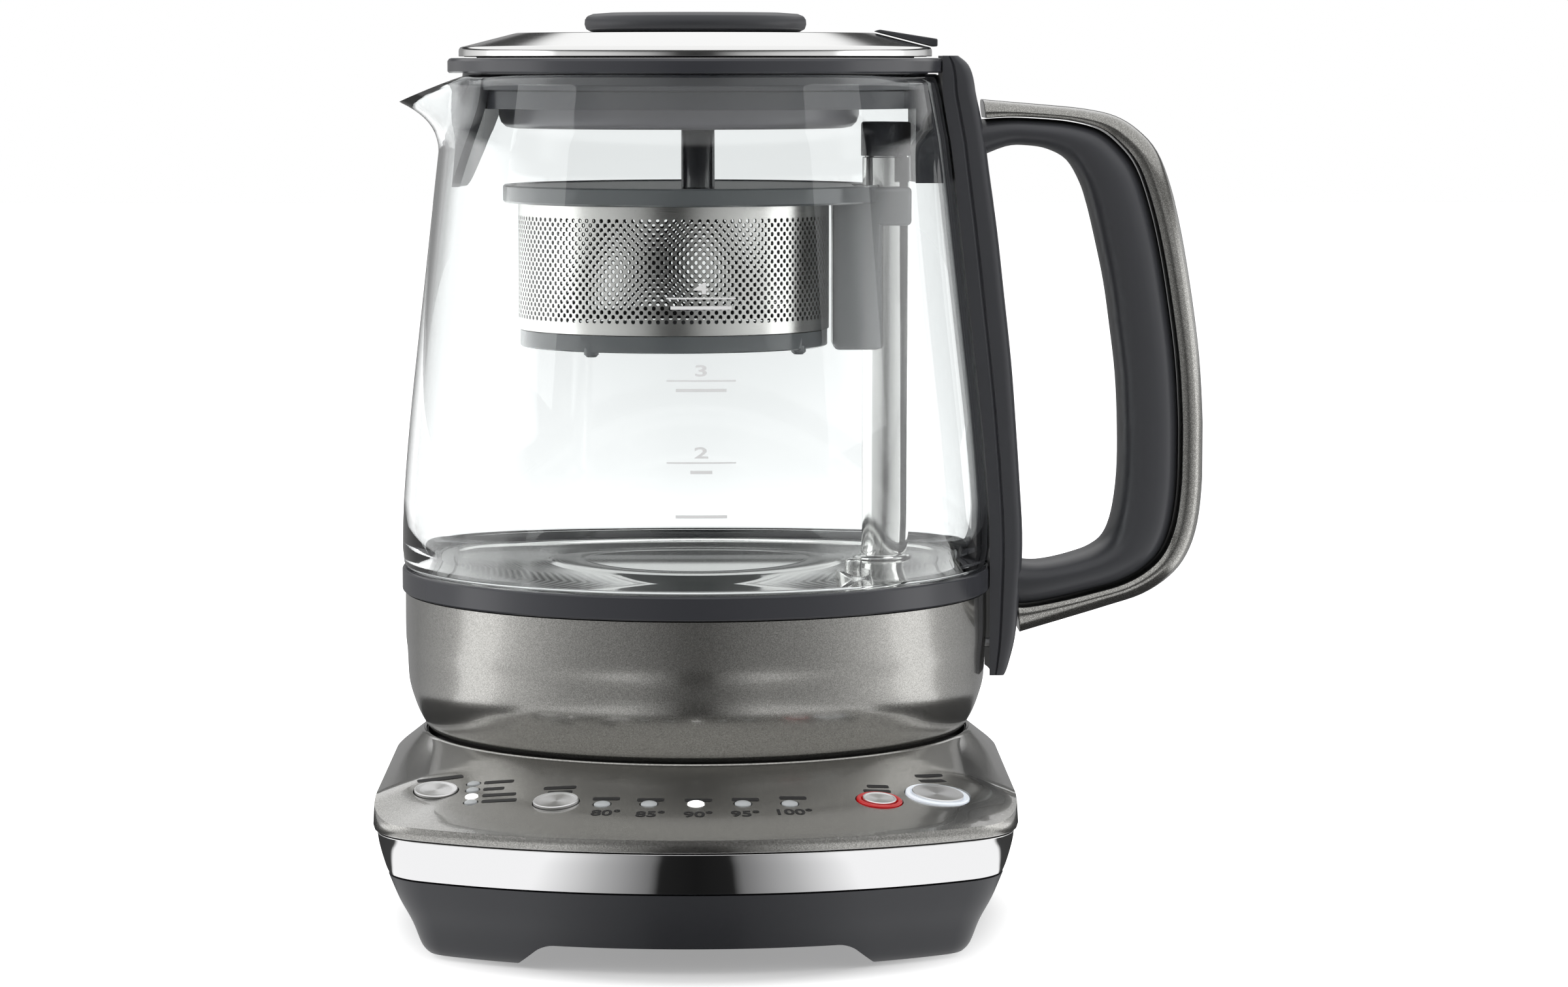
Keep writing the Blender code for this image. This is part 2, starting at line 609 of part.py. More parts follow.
def make_base_cover(finish):
    """Pearl cover: control panel, round seat for the jug, screw bosses and holes for all the controls."""
    rings = [
        base_ring(COVER_LIP_TUCK, COVER_BOTTOM_Z),
        base_ring(0.0, COVER_EDGE_Z),
        panel_ring(1.0),
        panel_ring(PANEL_TURN_RUN_SHARE),
        panel_ring(PANEL_BREAK_RUN_SHARE),
        panel_ring(0.0),
        seat_circle(SEAT_RADIUS + RIM_ROUNDING, SEAT_RIM_Z),
        seat_circle(SEAT_RADIUS, SEAT_RIM_Z - RIM_ROUNDING),
        seat_circle(SEAT_RADIUS, SEAT_FLOOR_Z),
        seat_circle(CONNECTOR_RADIUS + CLEARANCE, SEAT_FLOOR_Z),
        seat_circle(CONNECTOR_RADIUS + CLEARANCE, SEAT_FLOOR_UNDER_Z),
        seat_circle(SEAT_RADIUS + BASE_WALL, SEAT_FLOOR_UNDER_Z),
        inner_panel_ring(0.0),
        inner_panel_ring(PANEL_BREAK_RUN_SHARE),
        inner_panel_ring(1.0),
        base_ring(COVER_LIP_TUCK + BASE_WALL, COVER_BOTTOM_Z),
    ]
    cover = add_object("base_cover", loft_mesh("base_cover", rings, closed=True), finish)
    boss = disc_profile(BOSS_RADIUS, TRAY_FLOOR_TOP_Z + CLEARANCE, SEAT_FLOOR_UNDER_Z + BASE_WALL / 2)
    hole_top = TRAY_ARCH_Z - CLEARANCE + SCREW_LENGTH + OVERRUN
    hole = disc_profile(SCREW_SHANK_RADIUS + CLEARANCE, 0.0, hole_top)
    for place in base_screw_places().values():
        join(cover, turned_mesh("boss", boss, SMALL_SEGMENTS, place))
        cut(cover, turned_mesh("boss_hole", hole, TINY_SEGMENTS, place))
    for place, radius in panel_holes():
        bore = disc_profile(radius, -BASE_WALL * 4, BASE_WALL * 2)
        cut(cover, turned_mesh("panel_hole", bore, SMALL_SEGMENTS), panel_frame(place))
    return cover


def make_base_fittings(looks):
    """Feet, screws, power connector, boards and cord gland of the base."""
    made = []
    foot = turned_mesh("rubber_foot", disc_profile(RUBBER_FOOT_RADIUS, 0.0, RUBBER_FOOT_HEIGHT), SMALL_SEGMENTS)
    for suffix, place in foot_places().items():
        made.append(add_object(f"rubber_foot_{suffix}", foot, looks["rubber"], Matrix.Translation((*place, 0.0))))
    seat_z = TRAY_ARCH_Z - CLEARANCE
    screw = turned_mesh("base_screw", screw_profile(SCREW_LENGTH), TINY_SEGMENTS)
    for suffix, place in base_screw_places().items():
        made.append(add_object(f"base_screw_{suffix}", screw, looks["steel"], Matrix.Translation((*place, seat_z))))
    made.append(make_power_connector(looks["black"]))
    made.append(make_power_board(looks["board"]))
    made.append(make_control_board(looks["board"]))
    made.append(make_cord_gland(looks["black"]))
    return made


def screw_profile(length):
    """Pan-head screw whose head lies just below z = 0 and whose shank points up."""
    return [
        (0.0, -SCREW_HEAD_HEIGHT),
        (SCREW_HEAD_RADIUS * 3 / 4, -SCREW_HEAD_HEIGHT),
        (SCREW_HEAD_RADIUS, 0.0),
        (SCREW_SHANK_RADIUS, 0.0),
        (SCREW_SHANK_RADIUS, length - SCREW_SHANK_RADIUS),
        (0.0, length),
    ]


CONNECTOR_FLANGE_HEIGHT = 4.2 * MM
CONNECTOR_GROOVE_SHARES = ((0.80, 0.66), (0.50, 0.36))
CONNECTOR_GROOVE_DEPTH = 4.0 * MM
CONNECTOR_CHAMFER = 1.0 * MM


def make_power_connector(finish):
    """Round power connector: a post with two ring grooves and a centre well, on a flange under the seat."""
    top = CONNECTOR_TOP_Z
    flange_top = SEAT_FLOOR_UNDER_Z - CLEARANCE
    profile = [
        (0.0, flange_top - CONNECTOR_FLANGE_HEIGHT),
        (CONNECTOR_FLANGE_RADIUS, flange_top - CONNECTOR_FLANGE_HEIGHT),
        (CONNECTOR_FLANGE_RADIUS, flange_top),
        (CONNECTOR_RADIUS, flange_top),
        (CONNECTOR_RADIUS, top - CONNECTOR_CHAMFER),
        (CONNECTOR_RADIUS - CONNECTOR_CHAMFER, top),
    ]
    for outer_share, inner_share in CONNECTOR_GROOVE_SHARES:
        outer, inner = outer_share * CONNECTOR_RADIUS, inner_share * CONNECTOR_RADIUS
        low = top - CONNECTOR_GROOVE_DEPTH
        profile += [(outer, top), (outer, low), (inner, low), (inner, top)]
    well = CONNECTOR_GROOVE_SHARES[-1][1] * CONNECTOR_RADIUS / 2
    profile += [(well, top), (well, top - CONNECTOR_GROOVE_DEPTH), (0.0, top - CONNECTOR_GROOVE_DEPTH)]
    mesh = turned_mesh("power_connector_base", profile, MEDIUM_SEGMENTS)
    return add_object("power_connector_base", mesh, finish)


def add_legs(board, places, bottom, top):
    """Join round standoffs to a board."""
    for place in places:
        join(board, turned_mesh("leg", disc_profile(BOARD_LEG_RADIUS, bottom, top), TINY_SEGMENTS, place))


def make_power_board(finish):
    """Power board on four standoffs over the tray's floor."""
    half, back = POWER_BOARD_HALF_LENGTH, POWER_BOARD_BACK_Y
    front = BASE_SCREW_FRONT_Y
    top = POWER_BOARD_Z + BOARD_THICKNESS
    plate = box_mesh("power_board", (-half, front, POWER_BOARD_Z), (half, back, top))
    board = add_object("power_board", plate, finish)
    margin = BOARD_LEG_RADIUS * 2
    places = [(sx * (half - margin), y) for sx in (-1.0, 1.0) for y in (front + margin, back - margin)]
    add_legs(board, places, TRAY_FLOOR_TOP_Z + CLEARANCE, POWER_BOARD_Z + BOARD_THICKNESS / 2)
    return board


def make_control_board(finish):
    """Bowed control board under the panel, with four push switches and four standoffs."""
    start = -math.pi / 2 - CONTROL_BOARD_HALF_ANGLE
    end = -math.pi / 2 + CONTROL_BOARD_HALF_ANGLE
    outline = arc_points((0.0, 0.0), CONTROL_BOARD_OUTER, start, end, MEDIUM_SEGMENTS // 2)
    outline += reversed(arc_points((0.0, 0.0), CONTROL_BOARD_INNER, start, end, MEDIUM_SEGMENTS // 2))
    top = CONTROL_BOARD_Z + BOARD_THICKNESS
    board = add_object("control_board", prism_mesh("control_board", outline, CONTROL_BOARD_Z, top), finish)
    switch = disc_profile(SWITCH_RADIUS, top - BOARD_THICKNESS / 2, top + SWITCH_HEIGHT)
    for button in BUTTONS.values():
        join(board, turned_mesh("switch", switch, TINY_SEGMENTS, switch_place(button)))
    middle = (CONTROL_BOARD_INNER + CONTROL_BOARD_OUTER) / 2
    turns = (start + CONTROL_BOARD_HALF_ANGLE / 4, -math.pi / 2 - CONTROL_BOARD_HALF_ANGLE / 4,
             -math.pi / 2 + CONTROL_BOARD_HALF_ANGLE / 4, end - CONTROL_BOARD_HALF_ANGLE / 4)
    places = [point_at((0.0, 0.0), middle, turn) for turn in turns]
    add_legs(board, places, TRAY_FLOOR_TOP_Z + CLEARANCE, CONTROL_BOARD_Z + BOARD_THICKNESS / 2)
    return board


def make_cord_gland(finish):
    """Cord gland through the tray's back wall: an inner flange and an open, ribbed boot."""
    back = BASE_HALF_WIDTH - GLAND_FLANGE_SETBACK
    length = GLAND_FLANGE_SETBACK - GLAND_TUCK
    rib = GLAND_RADIUS - CLEARANCE * 2
    first, second, third = (length * share for share in GLAND_RIB_SHARES)
    profile = [
        (GLAND_BORE_RADIUS, -GLAND_FLANGE_WIDTH),
        (GLAND_FLANGE_RADIUS, -GLAND_FLANGE_WIDTH),
        (GLAND_FLANGE_RADIUS, 0.0),
        (GLAND_RADIUS, 0.0),
        (GLAND_RADIUS, first),
        (rib, first),
        (rib, second),
        (GLAND_RADIUS - CLEARANCE, second),
        (GLAND_RADIUS - CLEARANCE, third),
        (rib, third),
        (rib, length),
        (GLAND_BORE_RADIUS, length),
    ]
    mesh = turned_mesh("cord_gland", profile, SMALL_SEGMENTS)
    return add_object("cord_gland", mesh, finish, turned_y_matrix(back, GLAND_Z))


# Controls

BUTTON_PROUD = 0.8 * MM
BUTTON_TRAVEL = 0.8 * MM
BUTTON_FLANGE_WIDTH = 0.9 * MM
BUTTON_FLANGE_HEIGHT = 1.0 * MM
BUTTON_SEAT_GAP = 0.5 * MM
BUTTON_DISH = 0.25 * MM
STEM_RADIUS = 2.0 * MM
RING_WALL = 1.2 * MM
KEEP_WARM_RADIUS = 4.1 * MM
START_RADIUS = 6.4 * MM
LENS_PROUD = 0.6 * MM
LENS_RADIUS = 1.6 * MM
WIDE_LENS_RADIUS = 2.0 * MM
LIGHT_BAR_HEIGHT = 1.5 * MM

TEMPERATURE_LENS_PITCH = 11.3 * MM
TEMPERATURE_LENS_COUNT = 5
SELECT_TEMP_GAP = 11.2 * MM
SELECT_TEMP_STEP = 4.4 * MM
SELECT_TEMP_X = -(TEMPERATURE_LENS_PITCH * 2 + SELECT_TEMP_GAP)
SELECT_TEMP_PLACE = (SELECT_TEMP_X, SELECT_TEMP_STEP - TEMPERATURE_LENS_RADIUS)
START_SIDE_MARGIN = 19.6 * MM
START_FRONT_MARGIN = 39.0 * MM
KEEP_WARM_GAP = 14.5 * MM
KEEP_WARM_STEP = 8.0 * MM
START_PLACE = (BASE_HALF_WIDTH - START_SIDE_MARGIN, START_FRONT_MARGIN - BASE_FRONT_REACH)
KEEP_WARM_PLACE = (START_PLACE[0] - KEEP_WARM_GAP, START_PLACE[1] - KEEP_WARM_STEP)
# Plan place, cap radius and width of the light ring round it
BUTTONS = {
    "strength_button": (STRENGTH_BUTTON_PLACE, 5.35 * MM, 0.0),
    "select_temp_button": (SELECT_TEMP_PLACE, 5.5 * MM, 0.0),
    "keep_warm_button": (KEEP_WARM_PLACE, KEEP_WARM_RADIUS, RING_WALL),
    "start_cancel_button": (START_PLACE, START_RADIUS, RING_WALL),
}
STRENGTH_LENS_GAP = 9.0 * MM
STRENGTH_LENS_X = STRENGTH_BUTTON_PLACE[0] + STRENGTH_LENS_GAP
# Steps of the strength lenses towards the front, from the button's own place
STRENGTH_LENS_STEPS = (-3.5 * MM, 1.5 * MM, 6.5 * MM, 11.0 * MM)


def strength_lens_places():
    """Plan places of the four strength lenses."""
    return [(STRENGTH_LENS_X, STRENGTH_BUTTON_PLACE[1] - step) for step in STRENGTH_LENS_STEPS]


def temperature_lens_places():
    """Plan places of the five temperature lenses, along a bow that follows the panel."""
    places = []
    for i in range(TEMPERATURE_LENS_COUNT):
        x = TEMPERATURE_LENS_PITCH * (i - (TEMPERATURE_LENS_COUNT - 1) / 2)
        places.append((x, -math.sqrt(TEMPERATURE_LENS_RADIUS**2 - x * x / 2)))
    return places


def panel_holes():
    """Plan place and radius of every hole in the control panel."""
    holes = []
    for place, radius, ring_width in BUTTONS.values():
        ring = ring_width + CLEARANCE if ring_width else 0.0
        holes.append((place, radius + ring + CLEARANCE))
    holes += [(place, LENS_RADIUS + CLEARANCE) for place in strength_lens_places()]
    holes += [(place, WIDE_LENS_RADIUS + CLEARANCE) for place in temperature_lens_places()]
    return holes


def switch_place(button):
    """Plan place of the switch under a button, where the button's own axis meets the switch's top."""
    frame = panel_frame(button[0])
    top = CONTROL_BOARD_Z + BOARD_THICKNESS + SWITCH_HEIGHT
    axis = frame.to_3x3() @ UP
    origin = frame.translation
    meeting = origin - axis * ((origin.z - top) / axis.z)
    return (meeting.x, meeting.y)


def button_profile(button):
    """Profile of a button along its own axis, from the stem's end up to its dished metal face."""
    place, radius, ring_width = button
    frame = panel_frame(place)
    axis = frame.to_3x3() @ UP
    switch_top = CONTROL_BOARD_Z + BOARD_THICKNESS + SWITCH_HEIGHT
    tilt_rise = STEM_RADIUS * math.hypot(axis.x, axis.y)
    stem_end = -(frame.translation.z - switch_top - tilt_rise) / axis.z + BUTTON_TRAVEL + CLEARANCE
    flange_top = -(BASE_WALL + BUTTON_SEAT_GAP)
    if ring_width:
        flange_top -= BUTTON_FLANGE_HEIGHT + CLEARANCE
    flange = radius + BUTTON_FLANGE_WIDTH
    edge = BUTTON_PROUD - BUTTON_DISH
    return [
        (0.0, stem_end),
        (STEM_RADIUS, stem_end),
        (STEM_RADIUS, flange_top - BUTTON_FLANGE_HEIGHT),
        (flange, flange_top - BUTTON_FLANGE_HEIGHT),
        (flange, flange_top),
        (radius, flange_top),
        (radius, edge),
        (radius - BUTTON_DISH * 2, BUTTON_PROUD),
        (0.0, edge),
    ]


def make_buttons(looks):
    """Four round push buttons with spun metal faces, each moving along its own axis."""
    made = {}
    for name, button in BUTTONS.items():
        mesh = turned_mesh(name, button_profile(button), SMALL_SEGMENTS)
        made[name] = add_object(name, mesh, looks["steel"], panel_frame(button[0]))
    return made


def make_light_ring(name, button, finish):
    """Light ring round a button, with a flange under the panel."""
    place, radius, width = button
    inner = radius + CLEARANCE
    outer = inner + width
    flange_top = -(BASE_WALL + BUTTON_SEAT_GAP)
    flange = outer + BUTTON_FLANGE_WIDTH
    profile = [
        (inner, flange_top - BUTTON_FLANGE_HEIGHT),
        (flange, flange_top - BUTTON_FLANGE_HEIGHT),
        (flange, flange_top),
        (outer, flange_top),
        (outer, BUTTON_DISH),
        (lerp(inner, outer, 1 / 2), BUTTON_DISH * 2),
        (inner, BUTTON_DISH),
    ]
    return add_object(name, turned_mesh(name, profile, SMALL_SEGMENTS), finish, panel_frame(place))


def make_light_bar(name, places, radius, finish):
    """Light guide: domed lenses that stand in the panel's holes, on one bar under the panel."""
    frames = [panel_frame(place) for place in places]
    top = -(BASE_WALL + BUTTON_SEAT_GAP)
    half = radius + CLEARANCE
    bar_rings = []
    ends = [frames[0].translation.lerp(frames[1].translation, -1 / 3), *(f.translation for f in frames[1:-1])]
    ends.append(frames[-1].translation.lerp(frames[-2].translation, -1 / 3))
    for index, centre in enumerate(ends):
        frame = frames[index]
        along = (ends[min(index + 1, len(ends) - 1)] - ends[max(index - 1, 0)]).normalized()
        normal = frame.to_3x3() @ UP
        across = along.cross(normal).normalized() * half
        high = centre + normal * top
        low = high - normal * LIGHT_BAR_HEIGHT
        bar_rings.append([low - across, low + across, high + across, high - across])
    bar = add_object(name, loft_mesh(name, bar_rings, smooth=False), finish)
    lens = [
        (0.0, top - LIGHT_BAR_HEIGHT / 2),
        (radius, top - LIGHT_BAR_HEIGHT / 2),
        (radius, 0.0),
        (radius * 3 / 4, LENS_PROUD * 3 / 4),
        (0.0, LENS_PROUD),
    ]
    for frame in frames:
        join(bar, turned_mesh("lens", lens, TINY_SEGMENTS), frame)
    return bar


def make_controls(looks):
    """Light rings and light guides of the control panel."""
    return [
        make_light_ring("keep_warm_light_ring", BUTTONS["keep_warm_button"], looks["red"]),
        make_light_ring("start_light_ring", BUTTONS["start_cancel_button"], looks["lens"]),
        make_light_bar("strength_light_bar", strength_lens_places(), LENS_RADIUS, looks["lens"]),
        make_light_bar("temperature_light_bar", temperature_lens_places(), WIDE_LENS_RADIUS, looks["lens"]),
    ]


# Jug, lower body

BAND_BOTTOM_INNER_Z = SHELL_TOP_Z + CLEARANCE
BAND_LEDGE_THICKNESS = 1.4 * MM
BAND_LEDGE_Z = BAND_BOTTOM_INNER_Z + BAND_LEDGE_THICKNESS
BAND_LEDGE_TUCK = 5.6 * MM
BAND_LEDGE_RADIUS = SHELL_RADIUS - BAND_LEDGE_TUCK
BAND_INNER_TUCK = 1.6 * MM
BAND_INNER_RADIUS = SHELL_RADIUS - BAND_INNER_TUCK
GLASS_FOOT_RADIUS = BAND_INNER_RADIUS - CLEARANCE * 3
GLASS_FOOT_WALL = 2.4 * MM
GLASS_FOOT_Z = BAND_LEDGE_Z + CLEARANCE
GLASS_SHOULDER_Z = BAND_TOP_Z + CLEARANCE
GLASS_SHOULDER_TUCK = 0.5 * MM
GLASS_SHOULDER_RADIUS = GLASS_RADIUS - GLASS_SHOULDER_TUCK
SEAL_TOP_Z = HEATER_TOP_Z
HEATER_UNDER_Z = 82.3 * MM
HEATER_TROUGH_DEPTH = 1.0 * MM
HEATER_CENTRE_RISE = 0.8 * MM
HEATER_RIM_WIDTH = 4.1 * MM
HEATER_TROUGH_RADIUS = HEATER_RADIUS - HEATER_RIM_WIDTH
HEATER_CENTRE_MARGIN = 30.6 * MM
HEATER_CENTRE_RADIUS = HEATER_RADIUS - HEATER_CENTRE_MARGIN
HEATER_TROUGH_Z = HEATER_TOP_Z - HEATER_TROUGH_DEPTH
CHASSIS_RADIUS = BAND_LEDGE_RADIUS - CLEARANCE
CHASSIS_INNER_TUCK = 17.6 * MM
CHASSIS_INNER_RADIUS = SHELL_RADIUS - CHASSIS_INNER_TUCK
CHASSIS_THICKNESS = 3.0 * MM
CHASSIS_TOP_Z = HEATER_UNDER_Z - CLEARANCE
CHASSIS_UNDER_Z = CHASSIS_TOP_Z - CHASSIS_THICKNESS
CHASSIS_LUG_HALF_ANGLE = math.radians(8.0)
MOTOR_LUG_HALF_ANGLE = math.radians(14.0)
MOTOR_LUG_REACH = 10.3 * MM
MOTOR_LUG_INNER_RADIUS = POST_X - MOTOR_LUG_REACH
JUG_SCREW_MARGIN = 11.0 * MM
JUG_SCREW_CIRCLE = JUG_PLATE_RADIUS - JUG_SCREW_MARGIN
JUG_SCREW_ANGLES = (math.radians(60.0), math.radians(180.0), math.radians(300.0))
SHELL_BOTTOM_Z = 41.5 * MM
SHELL_TUCK = 11.6 * MM
SHELL_LIFT_SHARE = 1.6
SHELL_FLANGE_TUCK = 17.6 * MM
SHELL_FLANGE_RADIUS = SHELL_RADIUS - SHELL_FLANGE_TUCK
SHELL_PROFILE_SHARES = (
    (1.0, 0.0), (0.60, 0.035), (0.42, 0.07), (0.30, 0.175), (0.18, 0.34), (0.077, 0.569), (0.0, 1.0),
)
PLATE_REGISTER_HEIGHT = 1.8 * MM
PLATE_REGISTER_WIDTH = 1.8 * MM
SCREW_PAD_RADIUS = 5.0 * MM
SCREW_PAD_HEIGHT = 3.5 * MM
SCREW_SINK = SCREW_HEAD_HEIGHT + CLEARANCE * 2
CUP_BORE_RADIUS = CONNECTOR_RADIUS + CLEARANCE * 2
CUP_CEILING_Z = CONNECTOR_TOP_Z + OVERRUN
CUP_FLANGE_WIDTH = 5.0 * MM
CUP_FLANGE_HEIGHT = 2.0 * MM
CUP_LIFT = 0.5 * MM
CONTACT_PIN_RADIUS = 1.8 * MM
ELEMENT_MARGIN = 5.0 * MM
ELEMENT_CIRCLE = HEATER_CENTRE_RADIUS - ELEMENT_MARGIN
ELEMENT_RADIUS = 3.2 * MM
ELEMENT_GAP_ANGLE = math.radians(24.0)
ELEMENT_STEPS = 22
ELEMENT_LEG = 12.0 * MM
SENSOR_POST_GAP = 9.3 * MM
SENSOR_SIDE = 30.0 * MM
SENSOR_PLACE = (POST_X - SENSOR_POST_GAP, -SENSOR_SIDE)
SENSOR_RADIUS = 2.2 * MM
SENSOR_TOP_Z = 89.0 * MM
SENSOR_FLANGE_RADIUS = 4.5 * MM
SENSOR_FLANGE_HEIGHT = 1.0 * MM
POST_FLANGE_RADIUS = 8.0 * MM
POST_FLANGE_HEIGHT = 1.3 * MM


def shell_profile():
    """Pearl shell under the glass: straight wall, rounded foot and an inner flange at the bottom."""
    outer = []
    inner = []
    for height_share, tuck_share in SHELL_PROFILE_SHARES:
        z = lerp(SHELL_BOTTOM_Z, SHELL_TOP_Z, height_share)
        radius = SHELL_RADIUS - SHELL_TUCK * tuck_share
        outer.append((radius, z))
        lift = SHELL_WALL * min(1.0, tuck_share * SHELL_LIFT_SHARE) if height_share < 1.0 else 0.0
        inner.append((radius - SHELL_WALL * (1.0 - tuck_share * tuck_share / 2), z + lift))
    flange_top = SHELL_BOTTOM_Z + SHELL_WALL
    return outer + [(SHELL_FLANGE_RADIUS, SHELL_BOTTOM_Z), (SHELL_FLANGE_RADIUS, flange_top)] + inner[::-1]


def jug_screw_places():
    """Plan places of the three screws that hold the bottom plate to the chassis."""
    return [tuple(point_at((0.0, 0.0), JUG_SCREW_CIRCLE, angle)) for angle in JUG_SCREW_ANGLES]


def sector_outline(outer, inner, middle, half_angle, steps):
    """Plan outline of a ring's sector."""
    start, end = middle - half_angle, middle + half_angle
    points = arc_points((0.0, 0.0), outer, start, end, steps)
    return points + arc_points((0.0, 0.0), inner, end, start, steps)


def make_jug_band(finish):
    """Dark band that carries the glass, with an inner ledge."""
    profile = [
        (BAND_LEDGE_RADIUS, BAND_BOTTOM_INNER_Z),
        (BAND_RADIUS - CLEARANCE, BAND_BOTTOM_INNER_Z),
        (BAND_RADIUS, BAND_BOTTOM_INNER_Z + CLEARANCE),
        (BAND_RADIUS, BAND_TOP_Z - CLEARANCE),
        (BAND_RADIUS - CLEARANCE, BAND_TOP_Z),
        (BAND_INNER_RADIUS, BAND_TOP_Z),
        (BAND_INNER_RADIUS, BAND_LEDGE_Z),
        (BAND_LEDGE_RADIUS, BAND_LEDGE_Z),
    ]
    return add_object("jug_band", turned_mesh("jug_band", profile, FINE_SEGMENTS), finish)


def make_jug_chassis(finish):
    """Inner chassis: a ring under the heater plate, three screw posts and the lug that holds the lift motor."""
    ring = tube_profile(CHASSIS_RADIUS, CHASSIS_INNER_RADIUS, CHASSIS_UNDER_Z, CHASSIS_TOP_Z)
    chassis = add_object("jug_chassis", turned_mesh("jug_chassis", ring, FINE_SEGMENTS), finish)
    middle = (CHASSIS_RADIUS + CHASSIS_INNER_RADIUS) / 2
    lug_top = CHASSIS_TOP_Z - CLEARANCE
    lug_bottom = CHASSIS_UNDER_Z + CLEARANCE
    boss = disc_profile(BOSS_RADIUS, JUG_BOTTOM_Z + SCREW_PAD_HEIGHT + CLEARANCE, lug_top - CLEARANCE)
    hole_top = JUG_BOTTOM_Z + SCREW_SINK + SCREW_LENGTH + OVERRUN
    hole = disc_profile(SCREW_SHANK_RADIUS + CLEARANCE, JUG_BOTTOM_Z, hole_top)
    for angle, place in zip(JUG_SCREW_ANGLES, jug_screw_places()):
        outline = sector_outline(middle, JUG_SCREW_CIRCLE - BOSS_RADIUS / 2, angle, CHASSIS_LUG_HALF_ANGLE, 2)
        join(chassis, prism_mesh("lug", outline, lug_bottom, lug_top))
        join(chassis, turned_mesh("boss", boss, TINY_SEGMENTS, place))
        cut(chassis, turned_mesh("boss_hole", hole, TINY_SEGMENTS, place))
    outline = sector_outline(middle, MOTOR_LUG_INNER_RADIUS, 0.0, MOTOR_LUG_HALF_ANGLE, 4)
    join(chassis, prism_mesh("motor_lug", outline, lug_bottom, lug_top))
    hole = disc_profile(POST_RADIUS + CLEARANCE, CHASSIS_UNDER_Z - OVERRUN, CHASSIS_TOP_Z + OVERRUN)
    cut(chassis, turned_mesh("post_hole", hole, MEDIUM_SEGMENTS, (POST_X, 0.0)))
    return chassis


def make_bottom_plate(finish):
    """Bottom plate with a raised register, three sunk screw pads and a round hole for the connector."""
    hole = CONNECTOR_CUP_RADIUS + CLEARANCE
    top = JUG_BOTTOM_Z + JUG_PLATE_THICKNESS
    register = SHELL_FLANGE_RADIUS - CLEARANCE
    profile = [
        (hole, JUG_BOTTOM_Z),
        (JUG_PLATE_RADIUS, JUG_BOTTOM_Z),
        (JUG_PLATE_RADIUS, top),
        (register, top),
        (register, top + PLATE_REGISTER_HEIGHT),
        (register - PLATE_REGISTER_WIDTH, top + PLATE_REGISTER_HEIGHT),
        (register - PLATE_REGISTER_WIDTH, top),
        (hole, top),
    ]
    plate = add_object("jug_bottom_plate", turned_mesh("jug_bottom_plate", profile, FINE_SEGMENTS), finish)
    pad = disc_profile(SCREW_PAD_RADIUS, JUG_BOTTOM_Z + JUG_PLATE_THICKNESS / 2, JUG_BOTTOM_Z + SCREW_PAD_HEIGHT)
    sink = disc_profile(SCREW_HEAD_RADIUS + CLEARANCE, JUG_BOTTOM_Z - OVERRUN, JUG_BOTTOM_Z + SCREW_SINK)
    hole = disc_profile(SCREW_SHANK_RADIUS + CLEARANCE, JUG_BOTTOM_Z, JUG_BOTTOM_Z + SCREW_PAD_HEIGHT + OVERRUN)
    for place in jug_screw_places():
        join(plate, turned_mesh("pad", pad, SMALL_SEGMENTS, place))
        cut(plate, turned_mesh("sink", sink, SMALL_SEGMENTS, place))
        cut(plate, turned_mesh("screw_hole", hole, TINY_SEGMENTS, place))
    return plate


def make_jug_connector(finish):
    """Connector cup that drops over the base's post, with a contact pin in the middle."""
    bottom = JUG_BOTTOM_Z + CUP_LIFT
    flange = JUG_BOTTOM_Z + JUG_PLATE_THICKNESS + CLEARANCE
    outer = CONNECTOR_CUP_RADIUS
    profile = [
        (0.0, CUP_CEILING_Z - CONNECTOR_GROOVE_DEPTH),
        (CONTACT_PIN_RADIUS, CUP_CEILING_Z - CONNECTOR_GROOVE_DEPTH),
        (CONTACT_PIN_RADIUS, CUP_CEILING_Z),
        (CUP_BORE_RADIUS, CUP_CEILING_Z),
        (CUP_BORE_RADIUS, bottom + CONNECTOR_CHAMFER),
        (CUP_BORE_RADIUS + CONNECTOR_CHAMFER, bottom),
        (outer, bottom),
        (outer, flange),
        (outer + CUP_FLANGE_WIDTH, flange),
        (outer + CUP_FLANGE_WIDTH, flange + CUP_FLANGE_HEIGHT),
        (outer, flange + CUP_FLANGE_HEIGHT),
        (outer, CONNECTOR_CUP_TOP_Z),
        (0.0, CONNECTOR_CUP_TOP_Z),
    ]
    return add_object("jug_connector", turned_mesh("jug_connector", profile, MEDIUM_SEGMENTS), finish)


def make_heater_plate(finish):
    """Polished heater plate with a trough and a raised middle, and holes for post and sensor."""
    step = HEATER_TROUGH_DEPTH
    centre_z = HEATER_TROUGH_Z + HEATER_CENTRE_RISE
    profile = [
        (0.0, HEATER_UNDER_Z),
        (HEATER_RADIUS, HEATER_UNDER_Z),
        (HEATER_RADIUS, HEATER_TOP_Z),
        (HEATER_TROUGH_RADIUS + step, HEATER_TOP_Z),
        (HEATER_TROUGH_RADIUS, HEATER_TROUGH_Z),
        (HEATER_CENTRE_RADIUS + step, HEATER_TROUGH_Z),
        (HEATER_CENTRE_RADIUS, centre_z),
        (0.0, centre_z),
    ]
    plate = add_object("heater_plate", turned_mesh("heater_plate", profile, FINE_SEGMENTS), finish)
    for radius, place in ((POST_RADIUS, (POST_X, 0.0)), (SENSOR_RADIUS, SENSOR_PLACE)):
        hole = disc_profile(radius + CLEARANCE, HEATER_UNDER_Z - OVERRUN, HEATER_TOP_Z + OVERRUN)
        cut(plate, turned_mesh("hole", hole, MEDIUM_SEGMENTS, place))
    return plate


